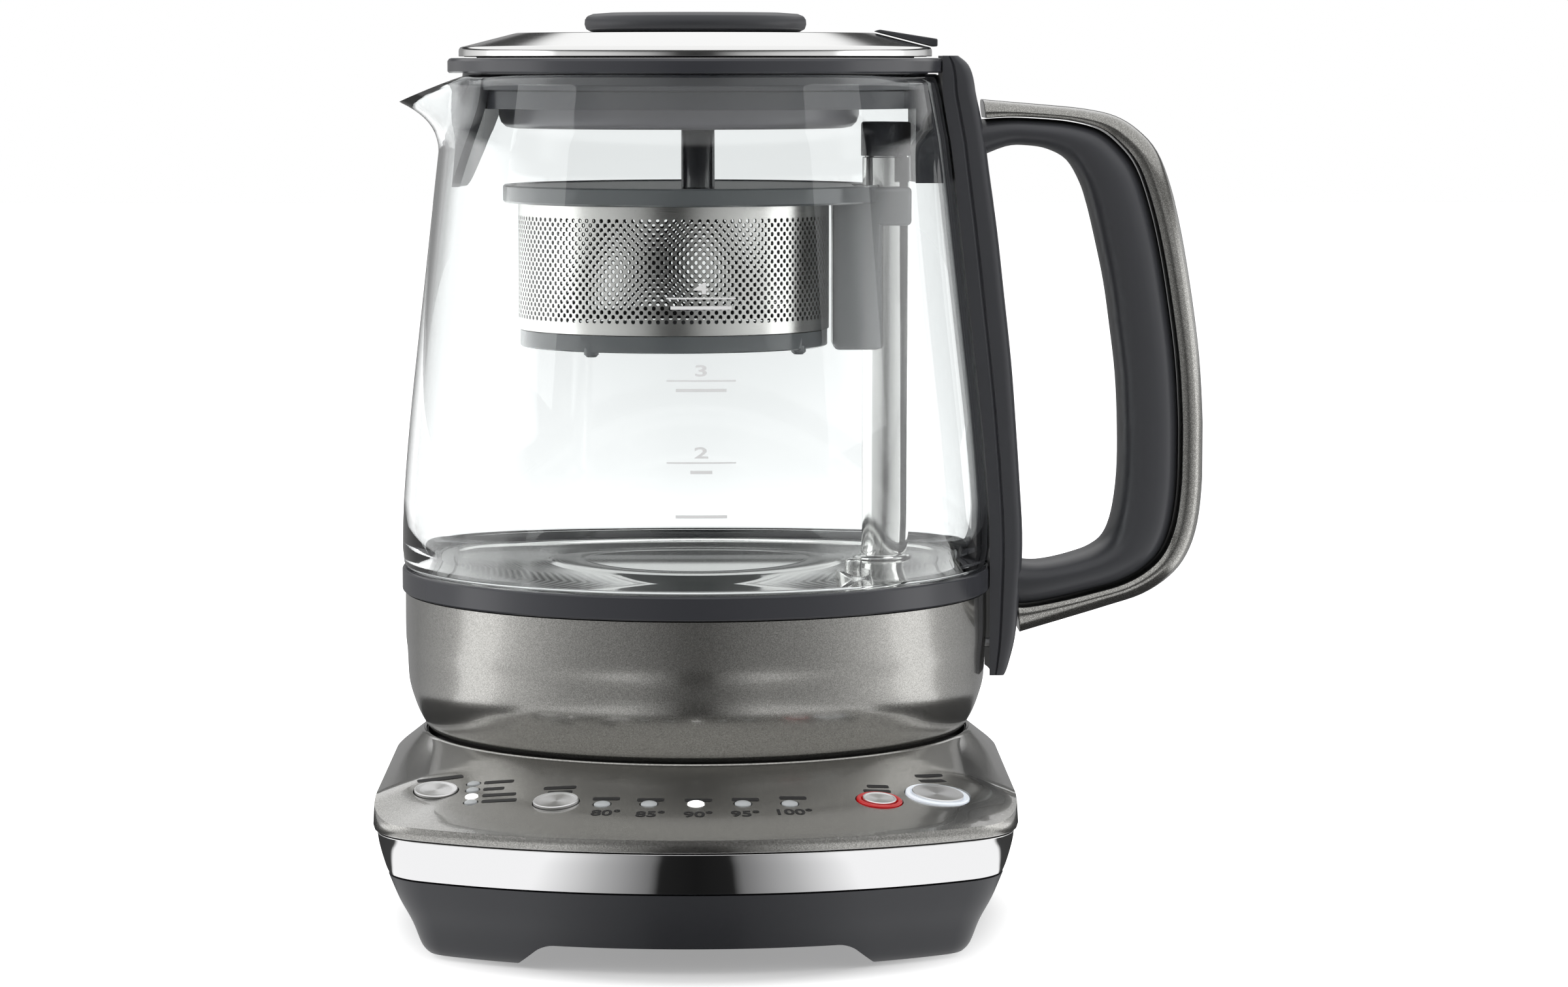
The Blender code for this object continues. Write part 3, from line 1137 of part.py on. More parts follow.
def swept_mesh(name, path, radius, segments):
    """Round tube along a path, its rings square to the path."""
    rings = []
    side = UP.cross(path[1] - path[0])
    side = side.normalized() if side.length > MERGE_DISTANCE else Vector((0.0, 1.0, 0.0))
    for index, point in enumerate(path):
        along = (path[min(index + 1, len(path) - 1)] - path[max(index - 1, 0)]).normalized()
        side = (side - along * side.dot(along)).normalized()
        other = along.cross(side)
        turns = [math.tau * i / segments for i in range(segments)]
        rings.append([point + (side * math.cos(t) + other * math.sin(t)) * radius for t in turns])
    return loft_mesh(name, rings)


def make_heater_element(finish):
    """Tubular heating element: an open ring under the heater plate, both ends turned down."""
    z = HEATER_UNDER_Z - CLEARANCE - ELEMENT_RADIUS
    start, end = ELEMENT_GAP_ANGLE, math.tau - ELEMENT_GAP_ANGLE
    ring = at_height(arc_points((0.0, 0.0), ELEMENT_CIRCLE, start, end, ELEMENT_STEPS), z)
    bend = ELEMENT_RADIUS * 2
    first, last = ring[0], ring[-1]
    path = [first - UP * ELEMENT_LEG, first - UP * bend, *ring[1:-1], last - UP * bend, last - UP * ELEMENT_LEG]
    return add_object("heater_element", swept_mesh("heater_element", path, ELEMENT_RADIUS, TINY_SEGMENTS), finish)


def make_temperature_sensor(finish):
    """Sensor pin through the heater plate, with a small flange on it."""
    flange = HEATER_TROUGH_Z + CLEARANCE
    tip = SENSOR_RADIUS / 2
    profile = [
        (0.0, HEATER_UNDER_Z - CHASSIS_THICKNESS),
        (SENSOR_RADIUS, HEATER_UNDER_Z - CHASSIS_THICKNESS),
        (SENSOR_RADIUS, flange),
        (SENSOR_FLANGE_RADIUS, flange),
        (SENSOR_FLANGE_RADIUS, flange + SENSOR_FLANGE_HEIGHT),
        (SENSOR_RADIUS, flange + SENSOR_FLANGE_HEIGHT),
        (SENSOR_RADIUS, SENSOR_TOP_Z - tip),
        (SENSOR_RADIUS - tip, SENSOR_TOP_Z),
        (0.0, SENSOR_TOP_Z),
    ]
    mesh = turned_mesh("temperature_sensor", profile, SMALL_SEGMENTS, SENSOR_PLACE)
    return add_object("temperature_sensor", mesh, finish)


# Jug, glass and collar

SPOUT_HALF_ANGLE = math.radians(25.0)
SPOUT_FINE_HALF_ANGLE = math.radians(27.0)
SPOUT_FINE_STEPS = 10
GLASS_COARSE_STEPS = 28
SPOUT_PUSH_POWER = 1.6
SPOUT_DROP_POWER = 1.7
GLASS_SWELL_SHARES = (
    (0.0, 1.0), (0.10, 0.97), (0.28, 0.83), (0.56, 0.54), (0.837, 0.25), (0.89, 0.17), (0.945, 0.085), (1.0, 0.0),
)
COLLAR_SKIRT_TUCK = 3.0 * MM
COLLAR_SKIRT_RADIUS = GLASS_RIM_RADIUS - COLLAR_SKIRT_TUCK
COLLAR_INNER_TUCK = 6.0 * MM
COLLAR_INNER_RADIUS = GLASS_RIM_RADIUS - COLLAR_INNER_TUCK
COLLAR_STEP_DROP = 4.3 * MM
COLLAR_SKIRT_STEP_Z = GLASS_TOP_Z - COLLAR_STEP_DROP
COLLAR_SKIRT_DROP = 8.9 * MM
COLLAR_SKIRT_BOTTOM_Z = GLASS_TOP_Z - COLLAR_SKIRT_DROP
TONGUE_TOP_HALF_ANGLE = math.radians(29.0)
TONGUE_BOTTOM_HALF_ANGLE = math.radians(9.0)
TONGUE_DROP = 28.9 * MM
TONGUE_BOTTOM_Z = GLASS_TOP_Z - TONGUE_DROP
TONGUE_STEPS = 8
TONGUE_WIDTH_SHARES = ((0.0, 0.0), (0.08, 0.25), (0.35, 0.62), (0.7, 0.95), (1.0, 1.0))
TONGUE_TUCK = 3.0 * MM
TONGUE_TOP_RADIUS = GLASS_RIM_RADIUS - TONGUE_TUCK
TONGUE_BOTTOM_RADIUS = GLASS_RIM_RADIUS
TONGUE_THICKNESS = 2.0 * MM
BRACKET_HALF_ANGLE = math.radians(12.0)
BRACKET_DROP = 27.9 * MM
BRACKET_BOTTOM_Z = GLASS_TOP_Z - BRACKET_DROP
BRACKET_GAP = 0.6 * MM


def glass_radius_at(z):
    """Outer radius of the glass at a height, away from the spout."""
    share = (z - GLASS_BELLY_Z) / (GLASS_TOP_Z - GLASS_BELLY_Z)
    for (low, low_swell), (high, high_swell) in zip(GLASS_SWELL_SHARES, GLASS_SWELL_SHARES[1:]):
        if share <= high:
            swell = lerp(low_swell, high_swell, (share - low) / (high - low))
            return lerp(GLASS_RIM_RADIUS, GLASS_RADIUS, min(swell, 1.0))
    return GLASS_RIM_RADIUS


def glass_angles():
    """Angles of the glass's upright lines: close together at the spout, wider elsewhere."""
    start = math.pi - SPOUT_FINE_HALF_ANGLE
    fine = [start + 2 * SPOUT_FINE_HALF_ANGLE * i / SPOUT_FINE_STEPS for i in range(SPOUT_FINE_STEPS)]
    rest_start = math.pi + SPOUT_FINE_HALF_ANGLE
    rest = math.tau - 2 * SPOUT_FINE_HALF_ANGLE
    return fine + [rest_start + rest * i / GLASS_COARSE_STEPS for i in range(GLASS_COARSE_STEPS)]


def glass_ring(radius, z):
    """Ring of the glass; above the spout's start it leans out and down round -X."""
    ring = []
    rise = max(0.0, (z - SPOUT_START_Z) / (GLASS_TOP_Z - SPOUT_START_Z))
    for angle in glass_angles():
        away = abs(math.remainder(angle - math.pi, math.tau)) / SPOUT_HALF_ANGLE
        spout = math.cos(min(away, 1.0) * math.pi / 2) ** 2
        reach = radius + SPOUT_REACH * spout * rise**SPOUT_PUSH_POWER
        height = z - SPOUT_DROP * spout * rise**SPOUT_DROP_POWER
        place = point_at((0.0, 0.0), reach, angle)
        ring.append(Vector((place.x, place.y, height)))
    return ring


def make_glass_jug(finish):
    """Glass body: stepped foot in the band, gently tapered wall and a pouring spout at -X."""
    rings = [glass_ring(GLASS_FOOT_RADIUS, GLASS_FOOT_Z), glass_ring(GLASS_FOOT_RADIUS, GLASS_SHOULDER_Z)]
    rings.append(glass_ring(GLASS_SHOULDER_RADIUS, GLASS_SHOULDER_Z))
    heights = [lerp(GLASS_BELLY_Z, GLASS_TOP_Z, share) for share, swell in GLASS_SWELL_SHARES]
    rings += [glass_ring(glass_radius_at(z), z) for z in heights]
    rings += [glass_ring(glass_radius_at(z) - GLASS_WALL, z) for z in reversed(heights[1:])]
    rings.append(glass_ring(GLASS_RADIUS - GLASS_WALL * 4 / 3, GLASS_BELLY_Z))
    foot_inner = GLASS_FOOT_RADIUS - GLASS_FOOT_WALL
    rings.append(glass_ring(foot_inner, GLASS_SHOULDER_Z - CLEARANCE))
    rings.append(glass_ring(foot_inner, GLASS_FOOT_Z))
    return add_object("glass_jug", loft_mesh("glass_jug", rings, closed=True), finish)


def tongue_rings():
    """Sections of the spout guard from its narrow foot up to the collar."""
    rings = []
    top = GLASS_TOP_Z + CLEARANCE
    for height_share, width_share in TONGUE_WIDTH_SHARES:
        z = lerp(TONGUE_BOTTOM_Z, top, height_share)
        outer = lerp(TONGUE_BOTTOM_RADIUS, TONGUE_TOP_RADIUS, height_share)
        half = lerp(TONGUE_BOTTOM_HALF_ANGLE, TONGUE_TOP_HALF_ANGLE, width_share)
        outline = sector_outline(outer, outer - TONGUE_THICKNESS, math.pi, half, TONGUE_STEPS)
        rings.append(at_height(outline, z))
    return rings


def bracket_rings():
    """Sections of the bracket inside the glass at the handle."""
    rings = []
    for z in (BRACKET_BOTTOM_Z, lerp(BRACKET_BOTTOM_Z, COLLAR_SKIRT_STEP_Z, 2 / 3), COLLAR_SKIRT_STEP_Z):
        outer = glass_radius_at(z) - GLASS_WALL - BRACKET_GAP
        outer = min(outer, COLLAR_SKIRT_RADIUS + CLEARANCE if z == COLLAR_SKIRT_STEP_Z else outer)
        rings.append(at_height(sector_outline(outer, COLLAR_INNER_RADIUS + CLEARANCE, 0.0, BRACKET_HALF_ANGLE, 4), z))
    return rings


def make_jug_collar(finish):
    """Dark collar over the glass rim: flange, stepped skirt, spout guard and handle-side bracket."""
    under = GLASS_TOP_Z + CLEARANCE
    step = COLLAR_WALL
    profile = [
        (COLLAR_INNER_RADIUS, COLLAR_SKIRT_BOTTOM_Z),
        (COLLAR_SKIRT_RADIUS - step, COLLAR_SKIRT_BOTTOM_Z),
        (COLLAR_SKIRT_RADIUS - step, COLLAR_SKIRT_STEP_Z),
        (COLLAR_SKIRT_RADIUS, COLLAR_SKIRT_STEP_Z),
        (COLLAR_SKIRT_RADIUS, under),
        (COLLAR_RADIUS, under),
        (COLLAR_RADIUS, COLLAR_TOP_Z - CLEARANCE * 2),
        (COLLAR_RADIUS - CLEARANCE * 2, COLLAR_TOP_Z),
        (COLLAR_INNER_RADIUS, COLLAR_TOP_Z),
    ]
    collar = add_object("jug_collar", turned_mesh("jug_collar", profile, FINE_SEGMENTS), finish)
    join(collar, loft_mesh("tongue", tongue_rings()))
    join(collar, loft_mesh("bracket", bracket_rings()))
    return collar


# Post and drive

POST_NECK_RADIUS = 5.5 * MM
POST_NECK_HEIGHT = 5.5 * MM
POST_NECK_Z = POST_TOP_Z - POST_NECK_HEIGHT
CAP_RADIUS = 6.5 * MM
CAP_CHAMFER = 0.6 * MM
BEARING_DROP = 12.0 * MM
BEARING_BOTTOM_Z = POST_TOP_Z - BEARING_DROP
LEAD_SCREW_DROP = 8.0 * MM
SCREW_TOP_Z = POST_TOP_Z - LEAD_SCREW_DROP
NUT_RISE = 19.0 * MM
NUT_BOTTOM_Z = BASKET_BOTTOM_Z + NUT_RISE
NUT_HEIGHT = 14.0 * MM
GEARBOX_BOTTOM_Z = 62.0 * MM
MOTOR_BOTTOM_Z = 46.0 * MM
DRIVE_WELL_DEPTH = 3.0 * MM
POST_AXIS = (POST_X, 0.0)


def make_post(finish):
    """Hollow steel post that guides the basket, with a flange on the heater plate and a neck for its cap."""
    flange = HEATER_TROUGH_Z + CLEARANCE
    profile = [
        (POST_BORE_RADIUS, POST_BOTTOM_Z),
        (POST_RADIUS, POST_BOTTOM_Z),
        (POST_RADIUS, flange),
        (POST_FLANGE_RADIUS, flange),
        (POST_FLANGE_RADIUS, flange + POST_FLANGE_HEIGHT / 2),
        (POST_FLANGE_RADIUS - POST_FLANGE_HEIGHT / 2, flange + POST_FLANGE_HEIGHT),
        (POST_RADIUS, flange + POST_FLANGE_HEIGHT),
        (POST_RADIUS, POST_NECK_Z),
        (POST_NECK_RADIUS, POST_NECK_Z),
        (POST_NECK_RADIUS, POST_TOP_Z),
        (POST_BORE_RADIUS, POST_TOP_Z),
    ]
    return add_object("post", turned_mesh("post", profile, MEDIUM_SEGMENTS, POST_AXIS), finish)


def make_drive(looks):
    """Post cap, upper bearing and lift motor on the post's axis."""
    inner = POST_NECK_RADIUS + CLEARANCE
    cap = [
        (inner, POST_NECK_Z + CLEARANCE),
        (CAP_RADIUS, POST_NECK_Z + CLEARANCE),
        (CAP_RADIUS, POST_CAP_TOP_Z - CAP_CHAMFER),
        (CAP_RADIUS - CAP_CHAMFER, POST_CAP_TOP_Z),
        (0.0, POST_CAP_TOP_Z),
    ]
    cap = [(0.0, POST_TOP_Z + CLEARANCE), (inner, POST_TOP_Z + CLEARANCE), *cap]
    bearing = tube_profile(POST_BORE_RADIUS - CLEARANCE, SCREW_RADIUS + CLEARANCE, BEARING_BOTTOM_Z, SCREW_TOP_Z)
    top = POST_BOTTOM_Z - CLEARANCE
    motor = [
        (0.0, MOTOR_BOTTOM_Z),
        (MOTOR_RADIUS, MOTOR_BOTTOM_Z),
        (MOTOR_RADIUS, GEARBOX_BOTTOM_Z),
        (GEARBOX_RADIUS, GEARBOX_BOTTOM_Z),
        (GEARBOX_RADIUS, top),
        (SCREW_RADIUS + CLEARANCE, top),
        (SCREW_RADIUS + CLEARANCE, top - DRIVE_WELL_DEPTH),
        (0.0, top - DRIVE_WELL_DEPTH),
    ]
    return [
        add_object("post_cap", turned_mesh("post_cap", cap, MEDIUM_SEGMENTS, POST_AXIS), looks["steel"]),
        add_object("lift_bearing", turned_mesh("lift_bearing", bearing, SMALL_SEGMENTS, POST_AXIS), looks["brass"]),
        add_object("lift_motor", turned_mesh("lift_motor", motor, SMALL_SEGMENTS, POST_AXIS), looks["steel"]),
    ]


def make_lead_screw(finish):
    """Lead screw inside the post, standing in the gearbox."""
    bottom = POST_BOTTOM_Z - DRIVE_WELL_DEPTH
    profile = disc_profile(SCREW_RADIUS, bottom, SCREW_TOP_Z, SCREW_RADIUS / 4)
    return add_object("lead_screw", turned_mesh("lead_screw", profile, SMALL_SEGMENTS, POST_AXIS), finish)


# Handle

STRAP_SHARE = 0.38
STRAP_HALF_WIDTH = 11.6 * MM
SPINE_THICKNESS = 8.6 * MM
SPINE_CORNER = 2.4 * MM
SPINE_GAP = 0.35 * MM
SPINE_SIDE_STEPS = 4
# Groove along each side of the spine: share of the thickness out from the jug, and share of its depth
SPINE_GROOVE_SHARES = ((0.30, 0.0), (0.38, 1.0), (0.46, 0.0))
SPINE_GROOVE_DEPTH = 0.6 * MM
# Height share between the spine's ends, and thickness share
SPINE_PROFILE_SHARES = (
    (0.0, 0.36), (0.015, 0.48), (0.06, 0.69), (0.13, 0.82), (0.21, 0.91), (0.30, 0.90), (0.40, 0.93),
    (0.51, 0.99), (0.62, 1.0), (0.72, 1.0), (0.82, 0.95), (0.90, 0.94), (0.955, 0.86), (0.985, 0.68), (1.0, 0.36),
)
# Outer reach and height share, inner reach and height share, half-width share
HANDLE_STATION_SHARES = (
    (0.525, 0.999, 0.548, 0.886, 0.80), (0.609, 0.992, 0.609, 0.909, 0.86), (0.685, 0.986, 0.651, 0.911, 0.92),
    (0.761, 0.979, 0.693, 0.904, 0.97), (0.822, 0.966, 0.731, 0.884, 1.0), (0.868, 0.940, 0.757, 0.843, 1.0),
    (0.906, 0.900, 0.772, 0.800, 1.0), (0.933, 0.836, 0.790, 0.729, 1.0), (0.955, 0.750, 0.806, 0.657, 1.0),
    (0.976, 0.636, 0.818, 0.579, 1.0), (0.992, 0.521, 0.830, 0.486, 1.0), (1.0, 0.400, 0.835, 0.386, 1.0),
    (1.0, 0.300, 0.834, 0.300, 1.0), (0.991, 0.214, 0.824, 0.229, 1.0), (0.970, 0.155, 0.807, 0.187, 1.0),
    (0.936, 0.114, 0.780, 0.166, 1.0), (0.883, 0.081, 0.746, 0.154, 0.98), (0.814, 0.059, 0.704, 0.144, 0.95),
    (0.731, 0.035, 0.666, 0.140, 0.90), (0.654, 0.013, 0.632, 0.146, 0.84), (0.609, 0.0, 0.601, 0.171, 0.80),
)
STRAP_START_SHARE = 0.40
STRAP_END_SHARE = 0.10
STRAP_THIN_SHARE = 0.10
GRIP_POINTS = 12
GRIP_ROUNDNESS_SHARE = 0.72
HANDLE_SCREW_Z = 66.0 * MM
HANDLE_SCREW_LENGTH = 8.0 * MM


def spine_inner_radius(z):
    """Radius that the spine's inner face follows: straight along shell and band, then the glass and collar."""
    if z > GLASS_TOP_Z - SPINE_CORNER:
        return COLLAR_RADIUS + CLEARANCE
    if z < GLASS_BELLY_Z:
        return BAND_RADIUS + CLEARANCE
    return max(glass_radius_at(z) + SPINE_GAP, COLLAR_RADIUS + CLEARANCE)


def spine_ring(z, thickness):
    """Plan section of the spine: inner face round the jug, rounded outer corners."""
    radius = spine_inner_radius(z)
    half = SPINE_HALF_WIDTH
    ys = [lerp(-half, half, i / SPINE_SIDE_STEPS) for i in range(SPINE_SIDE_STEPS + 1)]
    inner = [Vector((math.sqrt(radius * radius - y * y), y)) for y in reversed(ys)]
    corner = min(SPINE_CORNER, thickness / 2)
    outer_x = radius + thickness
    lower = arc_points((outer_x - corner, -half + corner), corner, -math.pi / 2, 0.0, 3)
    upper = arc_points((outer_x - corner, half - corner), corner, 0.0, math.pi / 2, 3)
    depth = min(SPINE_GROOVE_DEPTH, thickness / 8)
    groove = [(lerp(inner[-1].x, outer_x, out), half - depth * sunk) for out, sunk in SPINE_GROOVE_SHARES]
    near = [Vector((x, -y)) for x, y in groove]
    far = [Vector((x, y)) for x, y in reversed(groove)]
    return at_height(near + lower + upper + far + inner, z)


def strap_share(position):
    """Share of the handle's depth that the strap takes: most at the top, least in the middle."""
    middle = abs(position / (len(HANDLE_STATION_SHARES) - 1) - 1 / 2) * 2
    return STRAP_SHARE - STRAP_THIN_SHARE * (1.0 - middle * middle)


def handle_x(reach_share):
    """Distance from the jug's axis at a reach share; the first station stays at the root."""
    root_share = HANDLE_STATION_SHARES[0][0]
    return lerp(HANDLE_ROOT_X, HANDLE_REACH, (reach_share - root_share) / (1.0 - root_share))


def handle_station(position):
    """Outer point, inner point, half-width and strap share at a station, or between two of them."""
    index = min(int(position), len(HANDLE_STATION_SHARES) - 2)
    between = position - index
    pairs = zip(HANDLE_STATION_SHARES[index], HANDLE_STATION_SHARES[index + 1])
    out_x, out_z, in_x, in_z, width = (lerp(start, end, between) for start, end in pairs)
    outer = Vector((handle_x(out_x), 0.0, lerp(HANDLE_BOTTOM_Z, HANDLE_TOP_Z, out_z)))
    inner = Vector((handle_x(in_x), 0.0, lerp(HANDLE_BOTTOM_Z, HANDLE_TOP_Z, in_z)))
    share = lerp(strap_share(index), strap_share(index + 1), between)
    return outer, inner, HANDLE_HALF_WIDTH * width, share


def grip_ring(outer, inner, half_width, share):
    """Rounded section of the dark grip, from its inner side to the seat of the strap."""
    seat = outer.lerp(inner, share)
    centre = seat.lerp(inner, 1 / 2)
    reach = (inner - seat) / 2
    ring = []
    for i in range(GRIP_POINTS):
        turn = math.tau * (i + 1 / 2) / GRIP_POINTS
        along = math.copysign(abs(math.cos(turn)) ** GRIP_ROUNDNESS_SHARE, math.cos(turn))
        across = math.copysign(abs(math.sin(turn)) ** GRIP_ROUNDNESS_SHARE, math.sin(turn))
        ring.append(centre + reach * along + Vector((0.0, half_width * across, 0.0)))
    return ring


STRAP_SECTION_SHARES = (
    (0.0, -0.94), (0.0, 0.94), (0.35, 1.0), (0.80, 0.84), (1.0, 0.45), (1.0, -0.45), (0.80, -0.84), (0.35, -1.0),
)


def strap_ring(outer, inner, half_width, share):
    """D-shaped section of the strap on the handle's outer side."""
    depth = (inner - outer).length
    seat = outer.lerp(inner, share - CLEARANCE / depth)
    width = half_width * STRAP_HALF_WIDTH / HANDLE_HALF_WIDTH
    return [seat.lerp(outer, out) + Vector((0.0, width * side, 0.0)) for out, side in STRAP_SECTION_SHARES]


def make_handle_body(finish):
    """Dark moulding: the spine along the jug and the grip that springs from it."""
    height = SPINE_TOP_Z - SPINE_BOTTOM_Z
    rings = [
        spine_ring(SPINE_BOTTOM_Z + height * height_share, SPINE_THICKNESS * thickness_share)
        for height_share, thickness_share in SPINE_PROFILE_SHARES
    ]
    body = add_object("handle_body", loft_mesh("handle_body", rings), finish)
    grip = [grip_ring(*handle_station(position)) for position in range(len(HANDLE_STATION_SHARES))]
    join(body, loft_mesh("grip", grip))
    hole = disc_profile(SCREW_SHANK_RADIUS + CLEARANCE, -OVERRUN, HANDLE_SCREW_LENGTH - SHELL_WALL)
    cut(body, turned_mesh("screw_hole", hole, TINY_SEGMENTS), turned_x_matrix(BAND_RADIUS, HANDLE_SCREW_Z))
    return body


def turned_x_matrix(x, z):
    """Matrix that lays a turned piece along X, its top towards +X."""
    return Matrix.Translation((x, 0.0, z)) @ Matrix.Rotation(math.pi / 2, 4, "Y")


def make_handle_strap(finish):
    """Pearl strap over the outer side of the handle, its ends just clear of the spine."""
    last = len(HANDLE_STATION_SHARES) - 1
    positions = [STRAP_START_SHARE, *range(1, last), last - 1 + STRAP_END_SHARE]
    rings = [strap_ring(*handle_station(position)) for position in positions]
    return add_object("handle_strap", loft_mesh("handle_strap", rings), finish)


def make_handle_screw(finish):
    """Screw from inside the shell into the spine."""
    x = SHELL_RADIUS - SHELL_WALL - CLEARANCE * 3
    mesh = turned_mesh("handle_screw_lower", screw_profile(HANDLE_SCREW_LENGTH), TINY_SEGMENTS)
    return add_object("handle_screw_lower", mesh, finish, turned_x_matrix(x, HANDLE_SCREW_Z))


def make_jug_shell(finish):
    """Pearl shell of the jug, with the hole for the handle's screw."""
    shell = add_object("jug_shell", turned_mesh("jug_shell", shell_profile(), FINE_SEGMENTS), finish)
    hole = disc_profile(SCREW_SHANK_RADIUS + CLEARANCE, -SHELL_WALL * 3, SHELL_WALL)
    cut(shell, turned_mesh("screw_hole", hole, TINY_SEGMENTS), turned_x_matrix(SHELL_RADIUS, HANDLE_SCREW_Z))
    return shell


# Lid

LID_WALL = 1.0 * MM
LID_GAP = 0.4 * MM
LID_EDGE_Z = COLLAR_TOP_Z + LID_GAP
LID_EDGE_HEIGHT = 2.1 * MM
LID_SHOULDER_Z = LID_EDGE_Z + LID_EDGE_HEIGHT
PLUG_GAP = 2.5 * MM
PLUG_RADIUS = COLLAR_INNER_RADIUS - PLUG_GAP
PLUG_DEPTH = 11.0 * MM
PLUG_BOTTOM_Z = COLLAR_TOP_Z - PLUG_DEPTH
PLUG_GUIDE_RADIUS = COLLAR_INNER_RADIUS - CLEARANCE * 2
SEAL_DEPTH = 7.0 * MM
SEAL_BOTTOM_Z = COLLAR_TOP_Z - SEAL_DEPTH
SEAL_HEIGHT = 3.0 * MM
SEAL_RADIUS = COLLAR_INNER_RADIUS - CLEARANCE
DISH_TUCK = 8.0 * MM
DISH_RADIUS = PLUG_RADIUS - DISH_TUCK
DISH_CENTRE_X = -4.3 * MM
DISH_DEPTH = 7.0 * MM
DISH_BOTTOM_Z = PLUG_BOTTOM_Z - DISH_DEPTH
DISH_ROUNDING = 3.0 * MM
KNOB_ROUNDING = 2.0 * MM
TAB_HALF_WIDTH = 7.0 * MM
TAB_OVERHANG = 1.2 * MM
TAB_REACH = LID_RADIUS + TAB_OVERHANG
TAB_FALL = 1.5 * MM
TAB_END_TOP_Z = LID_TOP_Z - TAB_FALL


def make_lid(looks):
    """Jug lid: polished cap, dark plug and seal below it, knob and thumb tab on it."""
    shoulder = LID_RADIUS - LID_WALL / 2
    under_top = LID_TOP_Z - LID_WALL
    under_shoulder = LID_SHOULDER_Z - LID_WALL
    cap = [
        (0.0, under_top),
        (LID_TOP_RADIUS, under_top),
        (LID_RADIUS - LID_WALL, under_shoulder),
        (LID_RADIUS - LID_WALL, LID_EDGE_Z),
        (LID_RADIUS, LID_EDGE_Z),
        (LID_RADIUS, LID_SHOULDER_Z - LID_WALL / 2),
        (shoulder, LID_SHOULDER_Z),
        (LID_TOP_RADIUS, LID_TOP_Z),
        (0.0, LID_TOP_Z),
    ]
    flange = LID_RADIUS - LID_WALL - CLEARANCE
    plug = [
        (0.0, PLUG_BOTTOM_Z),
        (PLUG_RADIUS, PLUG_BOTTOM_Z),
        (PLUG_RADIUS, SEAL_BOTTOM_Z + SEAL_HEIGHT + CLEARANCE),
        (PLUG_GUIDE_RADIUS, SEAL_BOTTOM_Z + SEAL_HEIGHT + CLEARANCE),
        (PLUG_GUIDE_RADIUS, COLLAR_TOP_Z + CLEARANCE),
        (flange, COLLAR_TOP_Z + CLEARANCE),
        (flange, under_shoulder - CLEARANCE),
        (LID_TOP_RADIUS - CLEARANCE, under_top - CLEARANCE),
        (0.0, under_top - CLEARANCE),
    ]
    dish = [
        (0.0, DISH_BOTTOM_Z),
        (DISH_RADIUS - DISH_ROUNDING, DISH_BOTTOM_Z),
        (DISH_RADIUS - DISH_ROUNDING / 3, DISH_BOTTOM_Z + DISH_ROUNDING / 3),
        (DISH_RADIUS, DISH_BOTTOM_Z + DISH_ROUNDING),
        (DISH_RADIUS, PLUG_BOTTOM_Z + OVERRUN),
        (0.0, PLUG_BOTTOM_Z + OVERRUN),
    ]
    seal_middle = SEAL_BOTTOM_Z + SEAL_HEIGHT / 2
    seal = [
        (PLUG_RADIUS + CLEARANCE, SEAL_BOTTOM_Z),
        (SEAL_RADIUS - CLEARANCE * 2, SEAL_BOTTOM_Z),
        (SEAL_RADIUS, seal_middle),
        (SEAL_RADIUS - CLEARANCE * 2, SEAL_BOTTOM_Z + SEAL_HEIGHT),
        (PLUG_RADIUS + CLEARANCE, SEAL_BOTTOM_Z + SEAL_HEIGHT),
    ]
    knob_bottom = LID_TOP_Z + CLEARANCE
    knob_top = knob_bottom + KNOB_HEIGHT
    knob = [
        (0.0, knob_bottom),
        (KNOB_RADIUS - KNOB_ROUNDING, knob_bottom),
        (KNOB_RADIUS, knob_bottom + KNOB_ROUNDING),
        (KNOB_RADIUS - KNOB_ROUNDING / 3, knob_top - KNOB_ROUNDING),
        (KNOB_RADIUS - KNOB_ROUNDING * 3 / 2, knob_top - KNOB_ROUNDING / 3),
        (KNOB_RADIUS / 2, knob_top),
        (0.0, knob_top),
    ]
    plug_body = add_object("lid_plug", turned_mesh("lid_plug", plug, FINE_SEGMENTS), looks["dark"])
    join(plug_body, turned_mesh("dish", dish, FINE_SEGMENTS, (DISH_CENTRE_X, 0.0)))
    return [
        add_object("lid_cap", turned_mesh("lid_cap", cap, FINE_SEGMENTS), looks["steel"]),
        plug_body,
        add_object("lid_seal", turned_mesh("lid_seal", seal, FINE_SEGMENTS), looks["silicone"]),
        add_object("lid_knob", turned_mesh("lid_knob", knob, FINE_SEGMENTS), looks["dark"]),
        make_lid_tab(looks["dark"]),
    ]


def make_lid_tab(finish):
    """Wedge-shaped thumb tab over the cap's slope, towards the handle."""
    gap = CLEARANCE * 3 / 2
    profile = [
        (LID_TOP_RADIUS, LID_TOP_Z + gap),
        (LID_RADIUS + CLEARANCE, LID_SHOULDER_Z + gap),
        (TAB_REACH, LID_SHOULDER_Z + gap),
        (TAB_REACH, TAB_END_TOP_Z),
        (LID_TOP_RADIUS + LID_WALL, LID_TOP_Z + gap * 2),
    ]
    rings = [[Vector((x, y, z)) for x, z in profile] for y in (-TAB_HALF_WIDTH, TAB_HALF_WIDTH)]
    return add_object("lid_tab", loft_mesh("lid_tab", rings, smooth=False), finish)


# Basket

